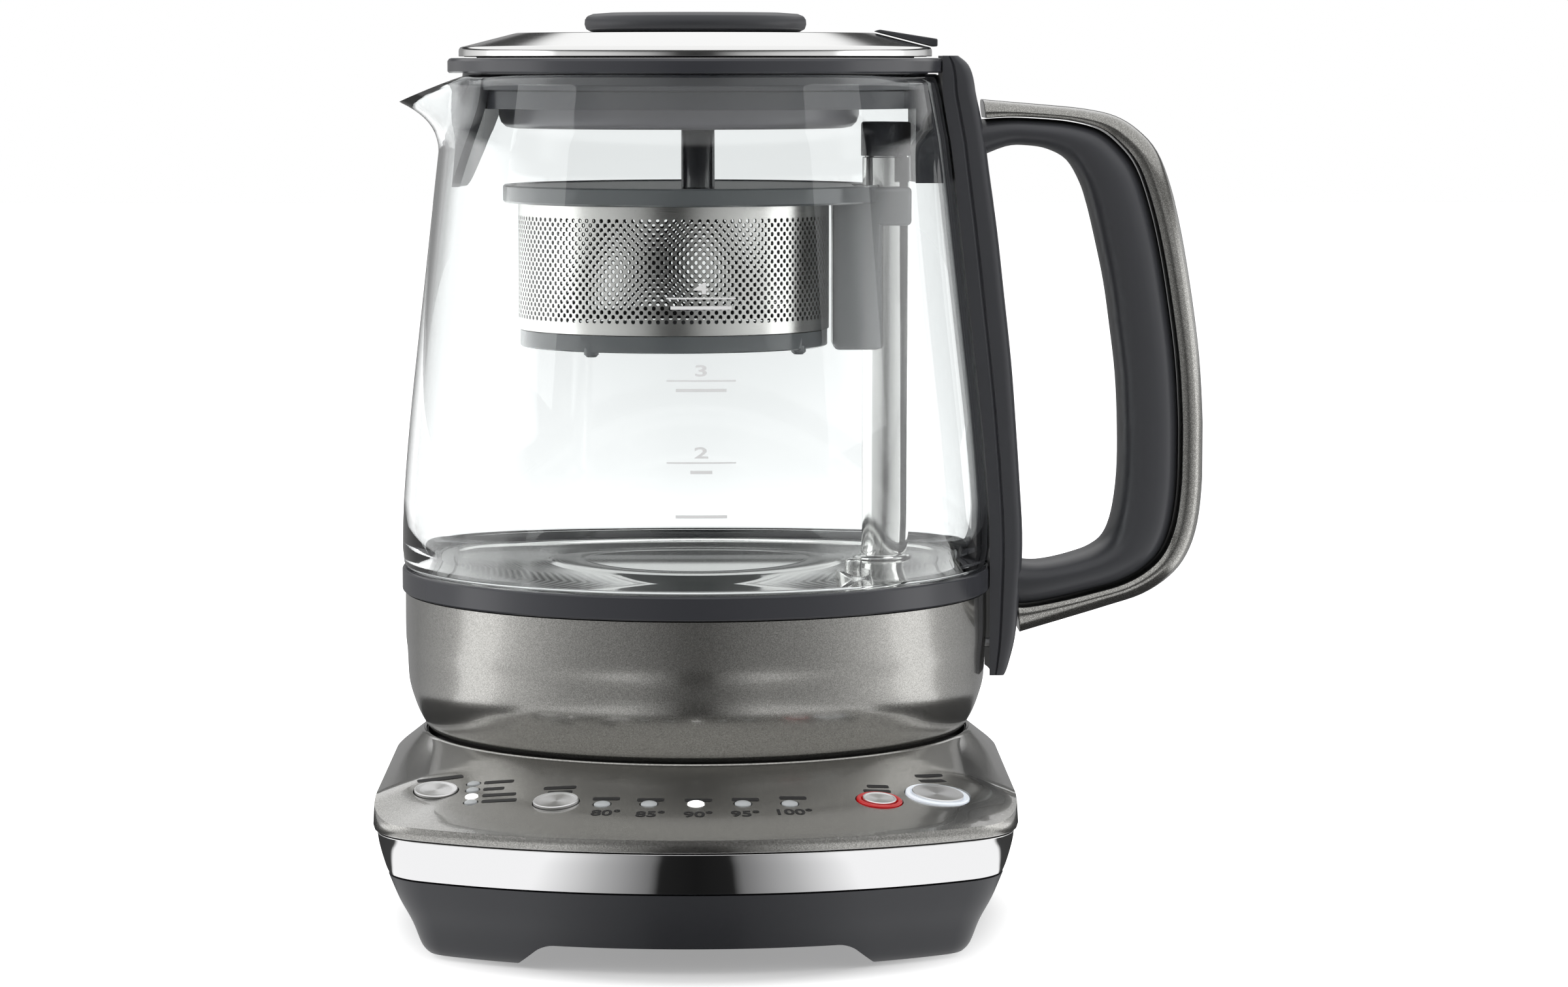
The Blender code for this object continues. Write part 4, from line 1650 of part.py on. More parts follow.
RIM_DEPTH = 4.5 * MM
RIM_PLATE_Z = BASKET_RIM_TOP_Z - RIM_DEPTH
RIM_PLATE_THICKNESS = 2.0 * MM
RIM_WALL = 1.7 * MM
FOOT_RING_HEIGHT = 4.5 * MM
SLEEVE_BOTTOM_Z = BASKET_BOTTOM_Z + FOOT_RING_HEIGHT
FOOT_RING_TOP_Z = SLEEVE_BOTTOM_Z - CLEARANCE
FOOT_RING_WALL = 2.9 * MM
FOOT_RING_BAND = 2.2 * MM
FOOT_FLOOR_THICKNESS = 1.0 * MM
FOOT_BUMP_DROP = 1.3 * MM
FOOT_BUMP_RADIUS = 1.6 * MM
FOOT_BUMP_COUNT = 4
HOUSING_INNER_REACH = 14.0 * MM
HOUSING_INNER_X = POST_X - HOUSING_INNER_REACH
HOUSING_OUTER_REACH = 1.5 * MM
HOUSING_OUTER_X = POST_X - HOUSING_OUTER_REACH
HOUSING_DROP = 1.0 * MM
HOUSING_BOTTOM_Z = BASKET_BOTTOM_Z - HOUSING_DROP
FORK_REACH_X = POST_X + POST_RADIUS
FORK_ARM_DROP = 6.0 * MM
FORK_ARM_BOTTOM_Z = RIM_PLATE_Z - FORK_ARM_DROP
FORK_SINK = 0.5 * MM
FORK_TOP_Z = BASKET_RIM_TOP_Z - FORK_SINK
FORK_START_REACH = 8.3 * MM
FORK_START_X = POST_X - FORK_START_REACH
FORK_CHAMFER = 0.9 * MM
MAGNET_MARGIN = 2.3 * MM
MAGNET_X = HOUSING_INNER_X + MAGNET_MARGIN
MAGNET_THICKNESS = 3.4 * MM
MAGNET_HALF_WIDTH = 4.0 * MM
MAGNET_RISE = 16.0 * MM
MAGNET_BOTTOM_Z = BASKET_BOTTOM_Z + MAGNET_RISE
MAGNET_HEIGHT = 12.0 * MM
GRIP_THICKNESS = 8.5 * MM
GRIP_HALF_LENGTH = 21.0 * MM
GRIP_TAPER_SHARE = 0.55
BASKET_LID_THICKNESS = 1.9 * MM


def post_groove(name, bottom, top, radius):
    """Cutter round the post that is open towards the handle."""
    outline = arc_points(POST_AXIS, radius, math.pi / 2, math.pi * 3 / 2, SMALL_SEGMENTS // 2)
    far = FORK_REACH_X + OVERRUN
    outline += [Vector((far, -radius)), Vector((far, radius))]
    return prism_mesh(name, outline, bottom - OVERRUN, top + OVERRUN)


def make_basket_frame(finish):
    """Plastic frame: rim with its wall, magnet housing and the fork that straddles the post."""
    rim_centre = (BASKET_RIM_CENTRE_X, 0.0)
    inner = BASKET_RIM_RADIUS - RIM_WALL
    hole = BASKET_RADIUS - BASKET_WALL - CLEARANCE
    rim = [
        (0.0, RIM_PLATE_Z),
        (BASKET_RIM_RADIUS, RIM_PLATE_Z),
        (BASKET_RIM_RADIUS, BASKET_RIM_TOP_Z),
        (inner, BASKET_RIM_TOP_Z),
        (inner, RIM_PLATE_Z + RIM_PLATE_THICKNESS),
        (0.0, RIM_PLATE_Z + RIM_PLATE_THICKNESS),
    ]
    frame = add_object("basket_frame", turned_mesh("basket_frame", rim, FINE_SEGMENTS, rim_centre), finish)
    mouth = disc_profile(hole, RIM_PLATE_Z - OVERRUN, RIM_PLATE_Z + RIM_PLATE_THICKNESS + OVERRUN)
    cut(frame, turned_mesh("mouth", mouth, FINE_SEGMENTS, (BASKET_CENTRE_X, 0.0)))
    half = FORK_HALF_WIDTH
    top = RIM_PLATE_Z + RIM_PLATE_THICKNESS / 2
    low, high = (HOUSING_INNER_X, -half, HOUSING_BOTTOM_Z), (HOUSING_OUTER_X, half, top)
    join(frame, box_mesh("housing", low, high, FORK_CHAMFER))
    low, high = (FORK_START_X, -half, FORK_ARM_BOTTOM_Z), (FORK_REACH_X, half, FORK_TOP_Z)
    join(frame, box_mesh("arms", low, high, FORK_CHAMFER))
    cut(frame, post_groove("groove", HOUSING_BOTTOM_Z, BASKET_RIM_TOP_Z, POST_RADIUS + CLEARANCE))
    low = (MAGNET_X - CLEARANCE, -MAGNET_HALF_WIDTH - CLEARANCE, HOUSING_BOTTOM_Z - OVERRUN)
    high = (
        MAGNET_X + MAGNET_THICKNESS + CLEARANCE,
        MAGNET_HALF_WIDTH + CLEARANCE,
        MAGNET_BOTTOM_Z + MAGNET_HEIGHT + CLEARANCE,
    )
    cut(frame, box_mesh("magnet_pocket", low, high))
    return frame


def make_foot_ring(finish):
    """Ring under the sleeve with the basket's floor and four small feet."""
    outer = BASKET_RADIUS - BASKET_WALL / 2
    floor = BASKET_BOTTOM_Z + FOOT_RING_BAND
    profile = [
        (0.0, floor - FOOT_FLOOR_THICKNESS),
        (outer - FOOT_RING_WALL, floor - FOOT_FLOOR_THICKNESS),
        (outer - FOOT_RING_WALL, BASKET_BOTTOM_Z),
        (outer, BASKET_BOTTOM_Z),
        (outer, FOOT_RING_TOP_Z),
        (outer - FOOT_RING_WALL, FOOT_RING_TOP_Z),
        (outer - FOOT_RING_WALL, floor),
        (0.0, floor),
    ]
    centre = (BASKET_CENTRE_X, 0.0)
    ring = add_object("basket_foot_ring", turned_mesh("basket_foot_ring", profile, FINE_SEGMENTS, centre), finish)
    middle = outer - FOOT_RING_WALL / 2
    bump_low, bump_high = BASKET_BOTTOM_Z - FOOT_BUMP_DROP, BASKET_BOTTOM_Z + FOOT_RING_BAND / 2
    bump = disc_profile(FOOT_BUMP_RADIUS - CLEARANCE, bump_low, bump_high)
    for i in range(FOOT_BUMP_COUNT):
        place = point_at(centre, middle - CLEARANCE / 2, math.tau * (i + 1 / 2) / FOOT_BUMP_COUNT)
        join(ring, turned_mesh("bump", bump, TINY_SEGMENTS, place))
    return ring


def make_basket(looks):
    """Everything that rides up and down the post."""
    centre = (BASKET_CENTRE_X, 0.0)
    sleeve = tube_profile(BASKET_RADIUS, BASKET_RADIUS - BASKET_WALL, SLEEVE_BOTTOM_Z, RIM_PLATE_Z - CLEARANCE)
    nut = tube_profile(POST_BORE_RADIUS - CLEARANCE, SCREW_RADIUS + CLEARANCE, NUT_BOTTOM_Z, NUT_BOTTOM_Z + NUT_HEIGHT)
    low = (MAGNET_X, -MAGNET_HALF_WIDTH, MAGNET_BOTTOM_Z)
    high = (MAGNET_X + MAGNET_THICKNESS, MAGNET_HALF_WIDTH, MAGNET_BOTTOM_Z + MAGNET_HEIGHT)
    return [
        add_object("basket_sleeve", turned_mesh("basket_sleeve", sleeve, FINE_SEGMENTS, centre), looks["steel"]),
        make_basket_frame(looks["frost"]),
        make_foot_ring(looks["frost"]),
        add_object("basket_magnet", box_mesh("basket_magnet", low, high), looks["steel"]),
        add_object("lift_nut", turned_mesh("lift_nut", nut, SMALL_SEGMENTS, POST_AXIS), looks["brass"]),
    ]


def make_basket_lid(finish):
    """Basket lid: a disc notched for post and fork, with a blade-shaped grip across it."""
    bottom = RIM_PLATE_Z + RIM_PLATE_THICKNESS + CLEARANCE
    top = bottom + BASKET_LID_THICKNESS
    radius = BASKET_RIM_RADIUS - RIM_WALL - CLEARANCE
    disc = turned_mesh("basket_lid", disc_profile(radius, bottom, top), FINE_SEGMENTS, (BASKET_RIM_CENTRE_X, 0.0))
    lid = add_object("basket_lid", disc, finish)
    rings = []
    height = BASKET_GRIP_TOP_Z - bottom
    for height_share, size_share in ((0.0, 1.0), (0.55, 0.8), (0.9, 0.7), (1.0, GRIP_TAPER_SHARE)):
        half_x = GRIP_THICKNESS / 2 * size_share
        half_y = GRIP_HALF_LENGTH * (1.0 + size_share) / 2
        front = arc_points((BASKET_RIM_CENTRE_X, -half_y + half_x), half_x, math.pi, math.tau, 6)
        back = arc_points((BASKET_RIM_CENTRE_X, half_y - half_x), half_x, 0.0, math.pi, 6)
        z = bottom + BASKET_LID_THICKNESS / 2 + (height - BASKET_LID_THICKNESS / 2) * height_share
        rings.append(at_height(front + back, z))
    join(lid, loft_mesh("grip", rings))
    cut(lid, post_groove("groove", bottom, top, CAP_RADIUS + CLEARANCE * 4))
    half = FORK_HALF_WIDTH + CLEARANCE
    low = (FORK_START_X - CLEARANCE, -half, bottom - OVERRUN)
    cut(lid, box_mesh("fork_notch", low, (FORK_REACH_X, half, top + OVERRUN)))
    return lid


# Assembly


def add_body(name, things, place=(0.0, 0.0, 0.0), parent=None):
    """Empty that carries the pieces of one body, at its joint's origin."""
    empty = bpy.data.objects.new(name, None)
    bpy.context.scene.collection.objects.link(empty)
    empty.location = place
    empty.parent = parent
    carried = Matrix.Translation(place)
    for thing in things:
        thing.parent = empty
        thing.matrix_parent_inverse = carried.inverted()
    return empty


def make_jug(looks):
    """Every piece of the jug body."""
    screws = turned_mesh("jug_screw", screw_profile(SCREW_LENGTH), TINY_SEGMENTS)
    seat_z = JUG_BOTTOM_Z + SCREW_SINK - CLEARANCE
    seal = tube_profile(GLASS_FOOT_RADIUS - GLASS_FOOT_WALL - CLEARANCE * 2, HEATER_RADIUS + CLEARANCE, GLASS_FOOT_Z, SEAL_TOP_Z)
    things = [
        make_glass_jug(looks["glass"]),
        make_jug_collar(looks["dark"]),
        make_jug_band(looks["dark"]),
        make_jug_shell(looks["pearl"]),
        make_bottom_plate(looks["black"]),
        make_jug_connector(looks["black"]),
        make_jug_chassis(looks["black"]),
        make_heater_plate(looks["chrome"]),
        make_heater_element(looks["steel"]),
        make_temperature_sensor(looks["steel"]),
        add_object("glass_seal", turned_mesh("glass_seal", seal, FINE_SEGMENTS), looks["silicone"]),
        make_post(looks["steel"]),
        make_handle_body(looks["dark"]),
        make_handle_strap(looks["pearl"]),
        make_handle_screw(looks["steel"]),
        *make_drive(looks),
    ]
    for index, place in enumerate(jug_screw_places(), start=1):
        matrix = Matrix.Translation((*place, seat_z))
        things.append(add_object(f"jug_screw_{index}", screws, looks["steel"], matrix))
    return things


def main():
    """Clear the scene, make every piece, group them by body and centre the footprint on the origin."""
    for thing in list(bpy.data.objects):
        bpy.data.objects.remove(thing, do_unlink=True)
    looks = make_materials()
    base_things = [
        make_base_tray(looks["dark"]),
        make_base_band(looks["chrome"]),
        make_base_cover(looks["pearl"]),
        *make_base_fittings(looks),
        *make_controls(looks),
    ]
    base = add_body("base_body", base_things)
    for name, button in make_buttons(looks).items():
        add_body(f"{name}_body", [button], parent=base)
    jug = add_body("jug_body", make_jug(looks), parent=base)
    add_body("lid_body", make_lid(looks), parent=jug)
    basket = add_body("basket_body", make_basket(looks), parent=jug)
    add_body("lead_screw_body", [make_lead_screw(looks["steel"])], (*POST_AXIS, 0.0), jug)
    add_body("basket_lid_body", [make_basket_lid(looks["frost"])], parent=basket)
    middle_x = (HANDLE_REACH - BASE_HALF_WIDTH) / 2
    middle_y = (BASE_HALF_WIDTH - BASE_FRONT_REACH) / 2
    base.location = (-middle_x, -middle_y, 0.0)


main()
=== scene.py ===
"""Looks of the automatic tea maker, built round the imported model.

Every shape is drawn in millimetres round the jug's upright axis, with the table at z = 0, the controls
towards -Y, the handle towards +X and the spout towards -X. The workbench turns it into metres in the model's
frame.
"""

from __future__ import annotations

import json
import logging
import math
from dataclasses import dataclass
from enum import Enum
from typing import Callable, Iterable, Sequence

import bmesh
import bpy
from mathutils import Matrix, Vector

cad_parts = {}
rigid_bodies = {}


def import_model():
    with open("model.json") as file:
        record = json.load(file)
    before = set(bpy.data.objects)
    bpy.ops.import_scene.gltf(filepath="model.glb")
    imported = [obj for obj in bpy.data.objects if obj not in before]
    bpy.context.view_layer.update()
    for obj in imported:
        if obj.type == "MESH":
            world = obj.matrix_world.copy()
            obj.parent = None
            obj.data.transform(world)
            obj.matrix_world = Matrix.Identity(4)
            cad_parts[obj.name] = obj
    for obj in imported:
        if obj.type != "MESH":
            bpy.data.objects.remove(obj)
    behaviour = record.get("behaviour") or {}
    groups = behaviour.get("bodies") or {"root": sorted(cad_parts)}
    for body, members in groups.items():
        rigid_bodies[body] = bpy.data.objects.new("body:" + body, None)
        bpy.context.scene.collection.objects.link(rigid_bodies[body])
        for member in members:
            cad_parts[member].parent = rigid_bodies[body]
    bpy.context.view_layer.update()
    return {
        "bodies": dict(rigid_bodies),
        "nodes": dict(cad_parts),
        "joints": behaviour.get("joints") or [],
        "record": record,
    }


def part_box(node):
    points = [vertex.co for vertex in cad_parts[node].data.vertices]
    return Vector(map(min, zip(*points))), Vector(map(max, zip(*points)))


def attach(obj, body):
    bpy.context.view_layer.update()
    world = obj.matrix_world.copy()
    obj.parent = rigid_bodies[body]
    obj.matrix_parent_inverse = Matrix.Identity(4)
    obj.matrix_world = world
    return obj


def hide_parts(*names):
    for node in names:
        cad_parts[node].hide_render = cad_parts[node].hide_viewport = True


LOG = logging.getLogger("tea_maker")
MM = 0.001
UP = Vector((0.0, 0.0, 1.0))
ORIGIN = Vector((0.0, 0.0, 0.0))
# Plan places, round the jug's axis, of the post and of the temperature sensor
POST = (49.3, 0.0)
SENSOR = (40.0, -30.0)

Shape = bmesh.types.BMesh
Thing = bpy.types.Object
Tree = bpy.types.NodeTree
Node = bpy.types.Node
Socket = bpy.types.NodeSocket
Place = tuple[float, float]
Profile = Sequence[Place]
Ring = Sequence[Vector]


class Body(str, Enum):
    """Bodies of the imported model."""

    BASE = "base"
    JUG = "jug"
    LID = "lid"
    BASKET = "basket"
    BASKET_LID = "basket_lid"
    STRENGTH = "strength_button"
    SELECT_TEMP = "select_temp_button"
    KEEP_WARM = "keep_warm_button"
    START = "start_cancel_button"


class Solver(str, Enum):
    """What a tool does to a piece."""

    CUT = "DIFFERENCE"
    JOIN = "UNION"


Tools = Iterable[tuple[Solver, Shape]]
Bend = Callable[[Vector], Vector]


# Shapes


def between(start: float, end: float, share: float) -> float:
    """Value at a share of the way from one number to another."""
    return start + (end - start) * share


def rounded_line(points: Sequence[Sequence[float]], steps: int) -> list[tuple[float, ...]]:
    """Draw a smooth line through a few points.

    Args:
        points: Points of any number of coordinates, in order.
        steps: Pieces that each stretch between two points is cut into.

    Returns:
        The points of the smooth line, with both ends.
    """
    made: list[tuple[float, ...]] = []
    last = len(points) - 1
    for index in range(last):
        a, b = points[max(index - 1, 0)], points[index]
        c, d = points[index + 1], points[min(index + 2, last)]
        for step in range(steps):
            t = step / steps
            weights = (
                -0.5 * t + t * t - 0.5 * t**3,
                1 - 2.5 * t * t + 1.5 * t**3,
                0.5 * t + 2 * t * t - 1.5 * t**3,
                -0.5 * t * t + 0.5 * t**3,
            )
            made.append(tuple(sum(w * p[k] for w, p in zip(weights, (a, b, c, d))) for k in range(len(b))))
    made.append(tuple(points[-1]))
    return made


def value_at(points: Profile, place: float) -> float:
    """Read a table of (place, value) pairs at a place, with straight lines between the pairs."""
    for (low, low_value), (high, high_value) in zip(points, points[1:]):
        if place <= high:
            return between(low_value, high_value, max(0.0, (place - low) / (high - low)))
    return points[-1][1]


def arc(radius: float, start: float, end: float, steps: int, centre: Place = (0.0, 0.0)) -> list[Vector]:
    """Points of an arc in plan, its angles in degrees, with both ends."""
    turns = [math.radians(between(start, end, i / steps)) for i in range(steps + 1)]
    return [Vector((centre[0] + radius * math.cos(t), centre[1] + radius * math.sin(t), 0.0)) for t in turns]


def at_height(points: Iterable[Vector], height: float) -> list[Vector]:
    """Plan points lifted to one height."""
    return [Vector((p.x, p.y, height)) for p in points]


def spun(profile: Profile, steps: int = 128, centre: Place = (0.0, 0.0)) -> Shape:
    """Spin a profile round an upright axis.

    Args:
        profile: (radius, height) points. One that starts off the axis is closed into a ring.
        steps: Facets of a full turn.
        centre: Plan place of the axis.

    Returns:
        The closed turned shape.
    """
    bm = bmesh.new()
    verts = [bm.verts.new((radius, 0.0, height)) for radius, height in profile]
    edges = [bm.edges.new(pair) for pair in zip(verts, verts[1:])]
    if profile[0][0] > 0.0 and profile[-1][0] > 0.0:
        edges.append(bm.edges.new((verts[-1], verts[0])))
    bmesh.ops.spin(bm, geom=verts + edges, cent=ORIGIN, axis=UP, angle=math.tau, steps=steps, use_merge=True)
    bmesh.ops.remove_doubles(bm, verts=bm.verts, dist=1e-4)
    bmesh.ops.translate(bm, verts=bm.verts, vec=(centre[0], centre[1], 0.0))
    return bm


def rod(radius: float, low: float, high: float, steps: int, centre: Place = (0.0, 0.0)) -> Shape:
    """Make an upright rod between two heights, mostly to cut a round hole."""
    return spun(((0.0, low), (radius, low), (radius, high), (0.0, high)), steps, centre)


def drawn_out(rings: Sequence[Ring], closed: bool = False) -> Shape:
    """Extrude a ring from one outline to the next.

    Args:
        rings: Outlines of equal counts.
        closed: Whether the last outline goes back to the first. If not, both ends are filled.

    Returns:
        The closed shape.
    """
    bm = bmesh.new()
    verts = [bm.verts.new(point) for point in rings[0]]
    edges = [bm.edges.new(pair) for pair in zip(verts, verts[1:] + verts[:1])]
    if not closed:
        bmesh.ops.contextual_create(bm, geom=edges)
    for ring in [*rings[1:], rings[0]] if closed else rings[1:]:
        made = bmesh.ops.extrude_edge_only(bm, edges=edges)["geom"]
        fresh = {item for item in made if isinstance(item, bmesh.types.BMVert)}
        verts = [next(e.other_vert(v) for e in v.link_edges if e.other_vert(v) in fresh) for v in verts]
        for vert, point in zip(verts, ring):
            vert.co = point
        edges = [item for item in made if isinstance(item, bmesh.types.BMEdge) and set(item.verts) <= fresh]
    if closed:
        bmesh.ops.remove_doubles(bm, verts=bm.verts, dist=1e-5)
    else:
        bmesh.ops.contextual_create(bm, geom=edges)
    return bm


def block(low: Sequence[float], high: Sequence[float], rounding: float = 0.0) -> Shape:
    """Make a box between two corners, with its edges rounded."""
    bm = bmesh.new()
    bmesh.ops.create_cube(bm, size=1.0)
    bmesh.ops.scale(bm, verts=bm.verts, vec=Vector(high) - Vector(low))
    bmesh.ops.translate(bm, verts=bm.verts, vec=(Vector(high) + Vector(low)) / 2)
    if rounding > 0.0:
        bevel(bm, bm.edges[:], rounding)
    return bm


def bevel(bm: Shape, edges: list[bmesh.types.BMEdge], width: float, segments: int = 3) -> None:
    """Round some edges of a shape."""
    bmesh.ops.bevel(
        bm, geom=edges, offset=width, offset_type="OFFSET", segments=segments, profile=0.5, affect="EDGES",
        material=-1, clamp_overlap=True,
    )


def moved(bm: Shape, frame: Matrix) -> Shape:
    """Move a shape by a matrix, and give it back."""
    bmesh.ops.transform(bm, matrix=frame, verts=bm.verts)
    return bm


def turned(bm: Shape, degrees: float, axis: str, by: Sequence[float]) -> Shape:
    """Turn a shape about an axis through the origin, then move it, and give it back."""
    bmesh.ops.rotate(bm, cent=ORIGIN, verts=bm.verts, matrix=Matrix.Rotation(math.radians(degrees), 3, axis))
    bmesh.ops.translate(bm, verts=bm.verts, vec=by)
    return bm


def put_together(*shapes: Shape) -> Shape:
    """Gather loose shapes into one."""
    whole = bmesh.new()
    for shape in shapes:
        carried = bpy.data.meshes.new("carried")
        shape.to_mesh(carried)
        shape.free()
        whole.from_mesh(carried)
        bpy.data.meshes.remove(carried)
    return whole


# Finishes


def linear(colour: str) -> tuple[float, float, float, float]:
    """Turn an sRGB hex colour into linear RGBA."""
    parts = [int(colour[i : i + 2], 16) / 255 for i in (1, 3, 5)]
    return (*(c / 12.92 if c <= 0.04045 else ((c + 0.055) / 1.055) ** 2.4 for c in parts), 1.0)


def add_node(
    tree: Tree,
    kind: str,
    settings: dict[str, object] | None = None,
    feeds: dict[str, Socket] | None = None,
) -> Node:
    """Add one node.

    Args:
        tree: Tree that it goes into.
        kind: Its Blender type.
        settings: Its inputs and properties, by name or number: a value, or the output that feeds the input.
        feeds: Inputs of other nodes that it feeds, by name of its output.

    Returns:
        The new node.
    """
    node = tree.nodes.new(kind)
    for name, value in (settings or {}).items():
        place = int(name) if name.isdigit() else name
        if isinstance(value, Socket):
            tree.links.new(value, node.inputs[place])
        elif name.isdigit() or name in node.inputs:
            node.inputs[place].default_value = value
        else:
            setattr(node, name, value)
    for name, fed in (feeds or {}).items():
        tree.links.new(node.outputs[name], fed)
    return node


@dataclass(frozen=True)
class Finish:
    """Plain moulded or milled surface; each kind of finish adds its own pattern."""

    name: str
    slot: str
    colour: str
    roughness: float
    metallic: float = 0.0
    coat: float = 0.0
    coat_roughness: float = 0.05
    ior: float = 1.5
    transmission: float = 0.0

    def material(self) -> bpy.types.Material:
        """Return the finish's material, made on first use."""
        made = bpy.data.materials.get(self.name)
        if made is not None:
            return made
        made = bpy.data.materials.new(self.name)
        made.use_nodes = True
        tree = made.node_tree
        shader = tree.nodes["Principled BSDF"]
        for name, value in (
            ("Base Color", linear(self.colour)),
            ("Roughness", self.roughness),
            ("Metallic", self.metallic),
            ("Coat Weight", self.coat),
            ("Coat Roughness", self.coat_roughness),
            ("IOR", self.ior),
            ("Transmission Weight", self.transmission),
        ):
            shader.inputs[name].default_value = value
        self.pattern(tree, shader, add_node(tree, "ShaderNodeTexCoord").outputs["Object"])
        return made

    def gloss_between(self, less: float, more: float) -> dict[str, object]:
        """Settings that turn a pattern into a roughness a little under and over the finish's own."""
        return {"To Min": max(0.0, self.roughness - less), "To Max": self.roughness + more}

    def pattern(self, tree: Tree, shader: Node, place: Socket) -> None:
        """Add what this kind of surface shows up close; the plain finish has a faint unevenness of gloss."""
        cloud = add_node(tree, "ShaderNodeTexNoise", {"Scale": 60.0, "Detail": 3.0, "Vector": place})
        add_node(
            tree, "ShaderNodeMapRange", {**self.gloss_between(0.02, 0.03), "Value": cloud.outputs["Fac"]},
            {"Result": shader.inputs["Roughness"]},
        )


@dataclass(frozen=True)
class PearlPaint(Finish):
    """Automotive-type metallic paint on ABS: mica flakes under a clear coat give it a fine sparkle."""

    flake_size: float = 0.14
    flake_light: str = "#BAB9B5"
    flake_dark: str = "#8B8A86"

    def pattern(self, tree: Tree, shader: Node, place: Socket) -> None:
        """Scatter flakes of about 0.05 mm, drawn as coarse as 0.14 mm so that they show."""
        flakes = add_node(
            tree, "ShaderNodeTexVoronoi", {"Scale": 1.0 / (self.flake_size * MM), "Vector": place}
        )
        grain = add_node(tree, "ShaderNodeSeparateColor", {"Color": flakes.outputs["Color"]})
        ramp = add_node(
            tree, "ShaderNodeValToRGB", {"Fac": grain.outputs["Red"]},
            {"Color": shader.inputs["Base Color"]},
        )
        stops = ramp.color_ramp.elements
        stops[0].color, stops[1].color = linear(self.flake_dark), linear(self.flake_light)
        stops[0].position, stops[1].position = 0.05, 0.95
        middle = stops.new(0.5)
        middle.color = linear(self.colour)
        add_node(
            tree, "ShaderNodeBump",
            {"Strength": 0.04, "Distance": 0.02 * MM, "Height": grain.outputs["Green"]},
            {"Normal": shader.inputs["Normal"]},
        )


@dataclass(frozen=True)
class SatinMoulding(Finish):
    """Spark-eroded satin ABS or polypropylene: a fine even grain breaks up the highlights."""

    grain: float = 0.35
    depth: float = 0.012

    def pattern(self, tree: Tree, shader: Node, place: Socket) -> None:
        """Raise a fine grain, and let the gloss wander a little over the moulding."""
        scale = 1.0 / (self.grain * MM)
        fine = add_node(tree, "ShaderNodeTexNoise", {"Scale": scale, "Detail": 2.0, "Vector": place})
        add_node(
            tree, "ShaderNodeBump",
            {"Strength": 0.25, "Distance": self.depth * MM, "Height": fine.outputs["Fac"]},
            {"Normal": shader.inputs["Normal"]},
        )
        broad = add_node(tree, "ShaderNodeTexNoise", {"Scale": 45.0, "Detail": 4.0, "Vector": place})
        add_node(
            tree, "ShaderNodeMapRange", {**self.gloss_between(0.03, 0.04), "Value": broad.outputs["Fac"]},
            {"Result": shader.inputs["Roughness"]},
        )


@dataclass(frozen=True)
class TurnedMetal(Finish):
    """Metal turned or polished round an axis: fine rings about it catch the light as a fan."""

    centre: tuple[float, float, float] = (0.0, 0.0, 0.0)
    pitch: float = 0.5
    depth: float = 0.004
    contrast: float = 0.05
    lay: float = 0.0

    def pattern(self, tree: Tree, shader: Node, place: Socket) -> None:
        """Cut fine rings about the axis; real ones are 0.05 mm apart, these are coarser so that they show."""
        if self.lay:
            shader.inputs["Anisotropic"].default_value = self.lay
            add_node(
                tree, "ShaderNodeTangent", {"direction_type": "RADIAL", "axis": "Z"},
                {"Tangent": shader.inputs["Tangent"]},
            )
        moved = add_node(
            tree, "ShaderNodeMapping", {"Location": tuple(-c for c in self.centre), "Vector": place}
        )
        rings = add_node(
            tree, "ShaderNodeTexWave",
            {"wave_type": "RINGS", "rings_direction": "Z", "Scale": 1.0 / (self.pitch * MM) / 3.14,
             "Distortion": 0.4, "Detail": 2.0, "Vector": moved.outputs["Vector"]},
        )
        add_node(
            tree, "ShaderNodeMapRange",
            {**self.gloss_between(self.contrast, self.contrast), "Value": rings.outputs["Fac"]},
            {"Result": shader.inputs["Roughness"]},
        )
        add_node(
            tree, "ShaderNodeBump",
            {"Strength": 0.3, "Distance": self.depth * MM, "Height": rings.outputs["Fac"]},
            {"Normal": shader.inputs["Normal"]},
        )


@dataclass(frozen=True)
class BrushedMetal(Finish):
    """Metal brushed along one direction: hairlines stretch the highlights across themselves."""

    stretch: tuple[float, float, float] = (1.0, 1.0, 0.03)
    hair: float = 0.25

    def pattern(self, tree: Tree, shader: Node, place: Socket) -> None:
        """Draw hairlines, in reality 0.03 mm wide and drawn coarser here."""
        drawn = add_node(tree, "ShaderNodeMapping", {"Scale": self.stretch, "Vector": place})
        hairs = add_node(
            tree, "ShaderNodeTexNoise",
            {"Scale": 1.0 / (self.hair * MM), "Detail": 3.0, "Vector": drawn.outputs["Vector"]},
        )
        add_node(
            tree, "ShaderNodeMapRange", {**self.gloss_between(0.06, 0.08), "Value": hairs.outputs["Fac"]},
            {"Result": shader.inputs["Roughness"]},
        )
        add_node(
            tree, "ShaderNodeBump",
            {"Strength": 0.1, "Distance": 0.003 * MM, "Height": hairs.outputs["Fac"]},
            {"Normal": shader.inputs["Normal"]},
        )


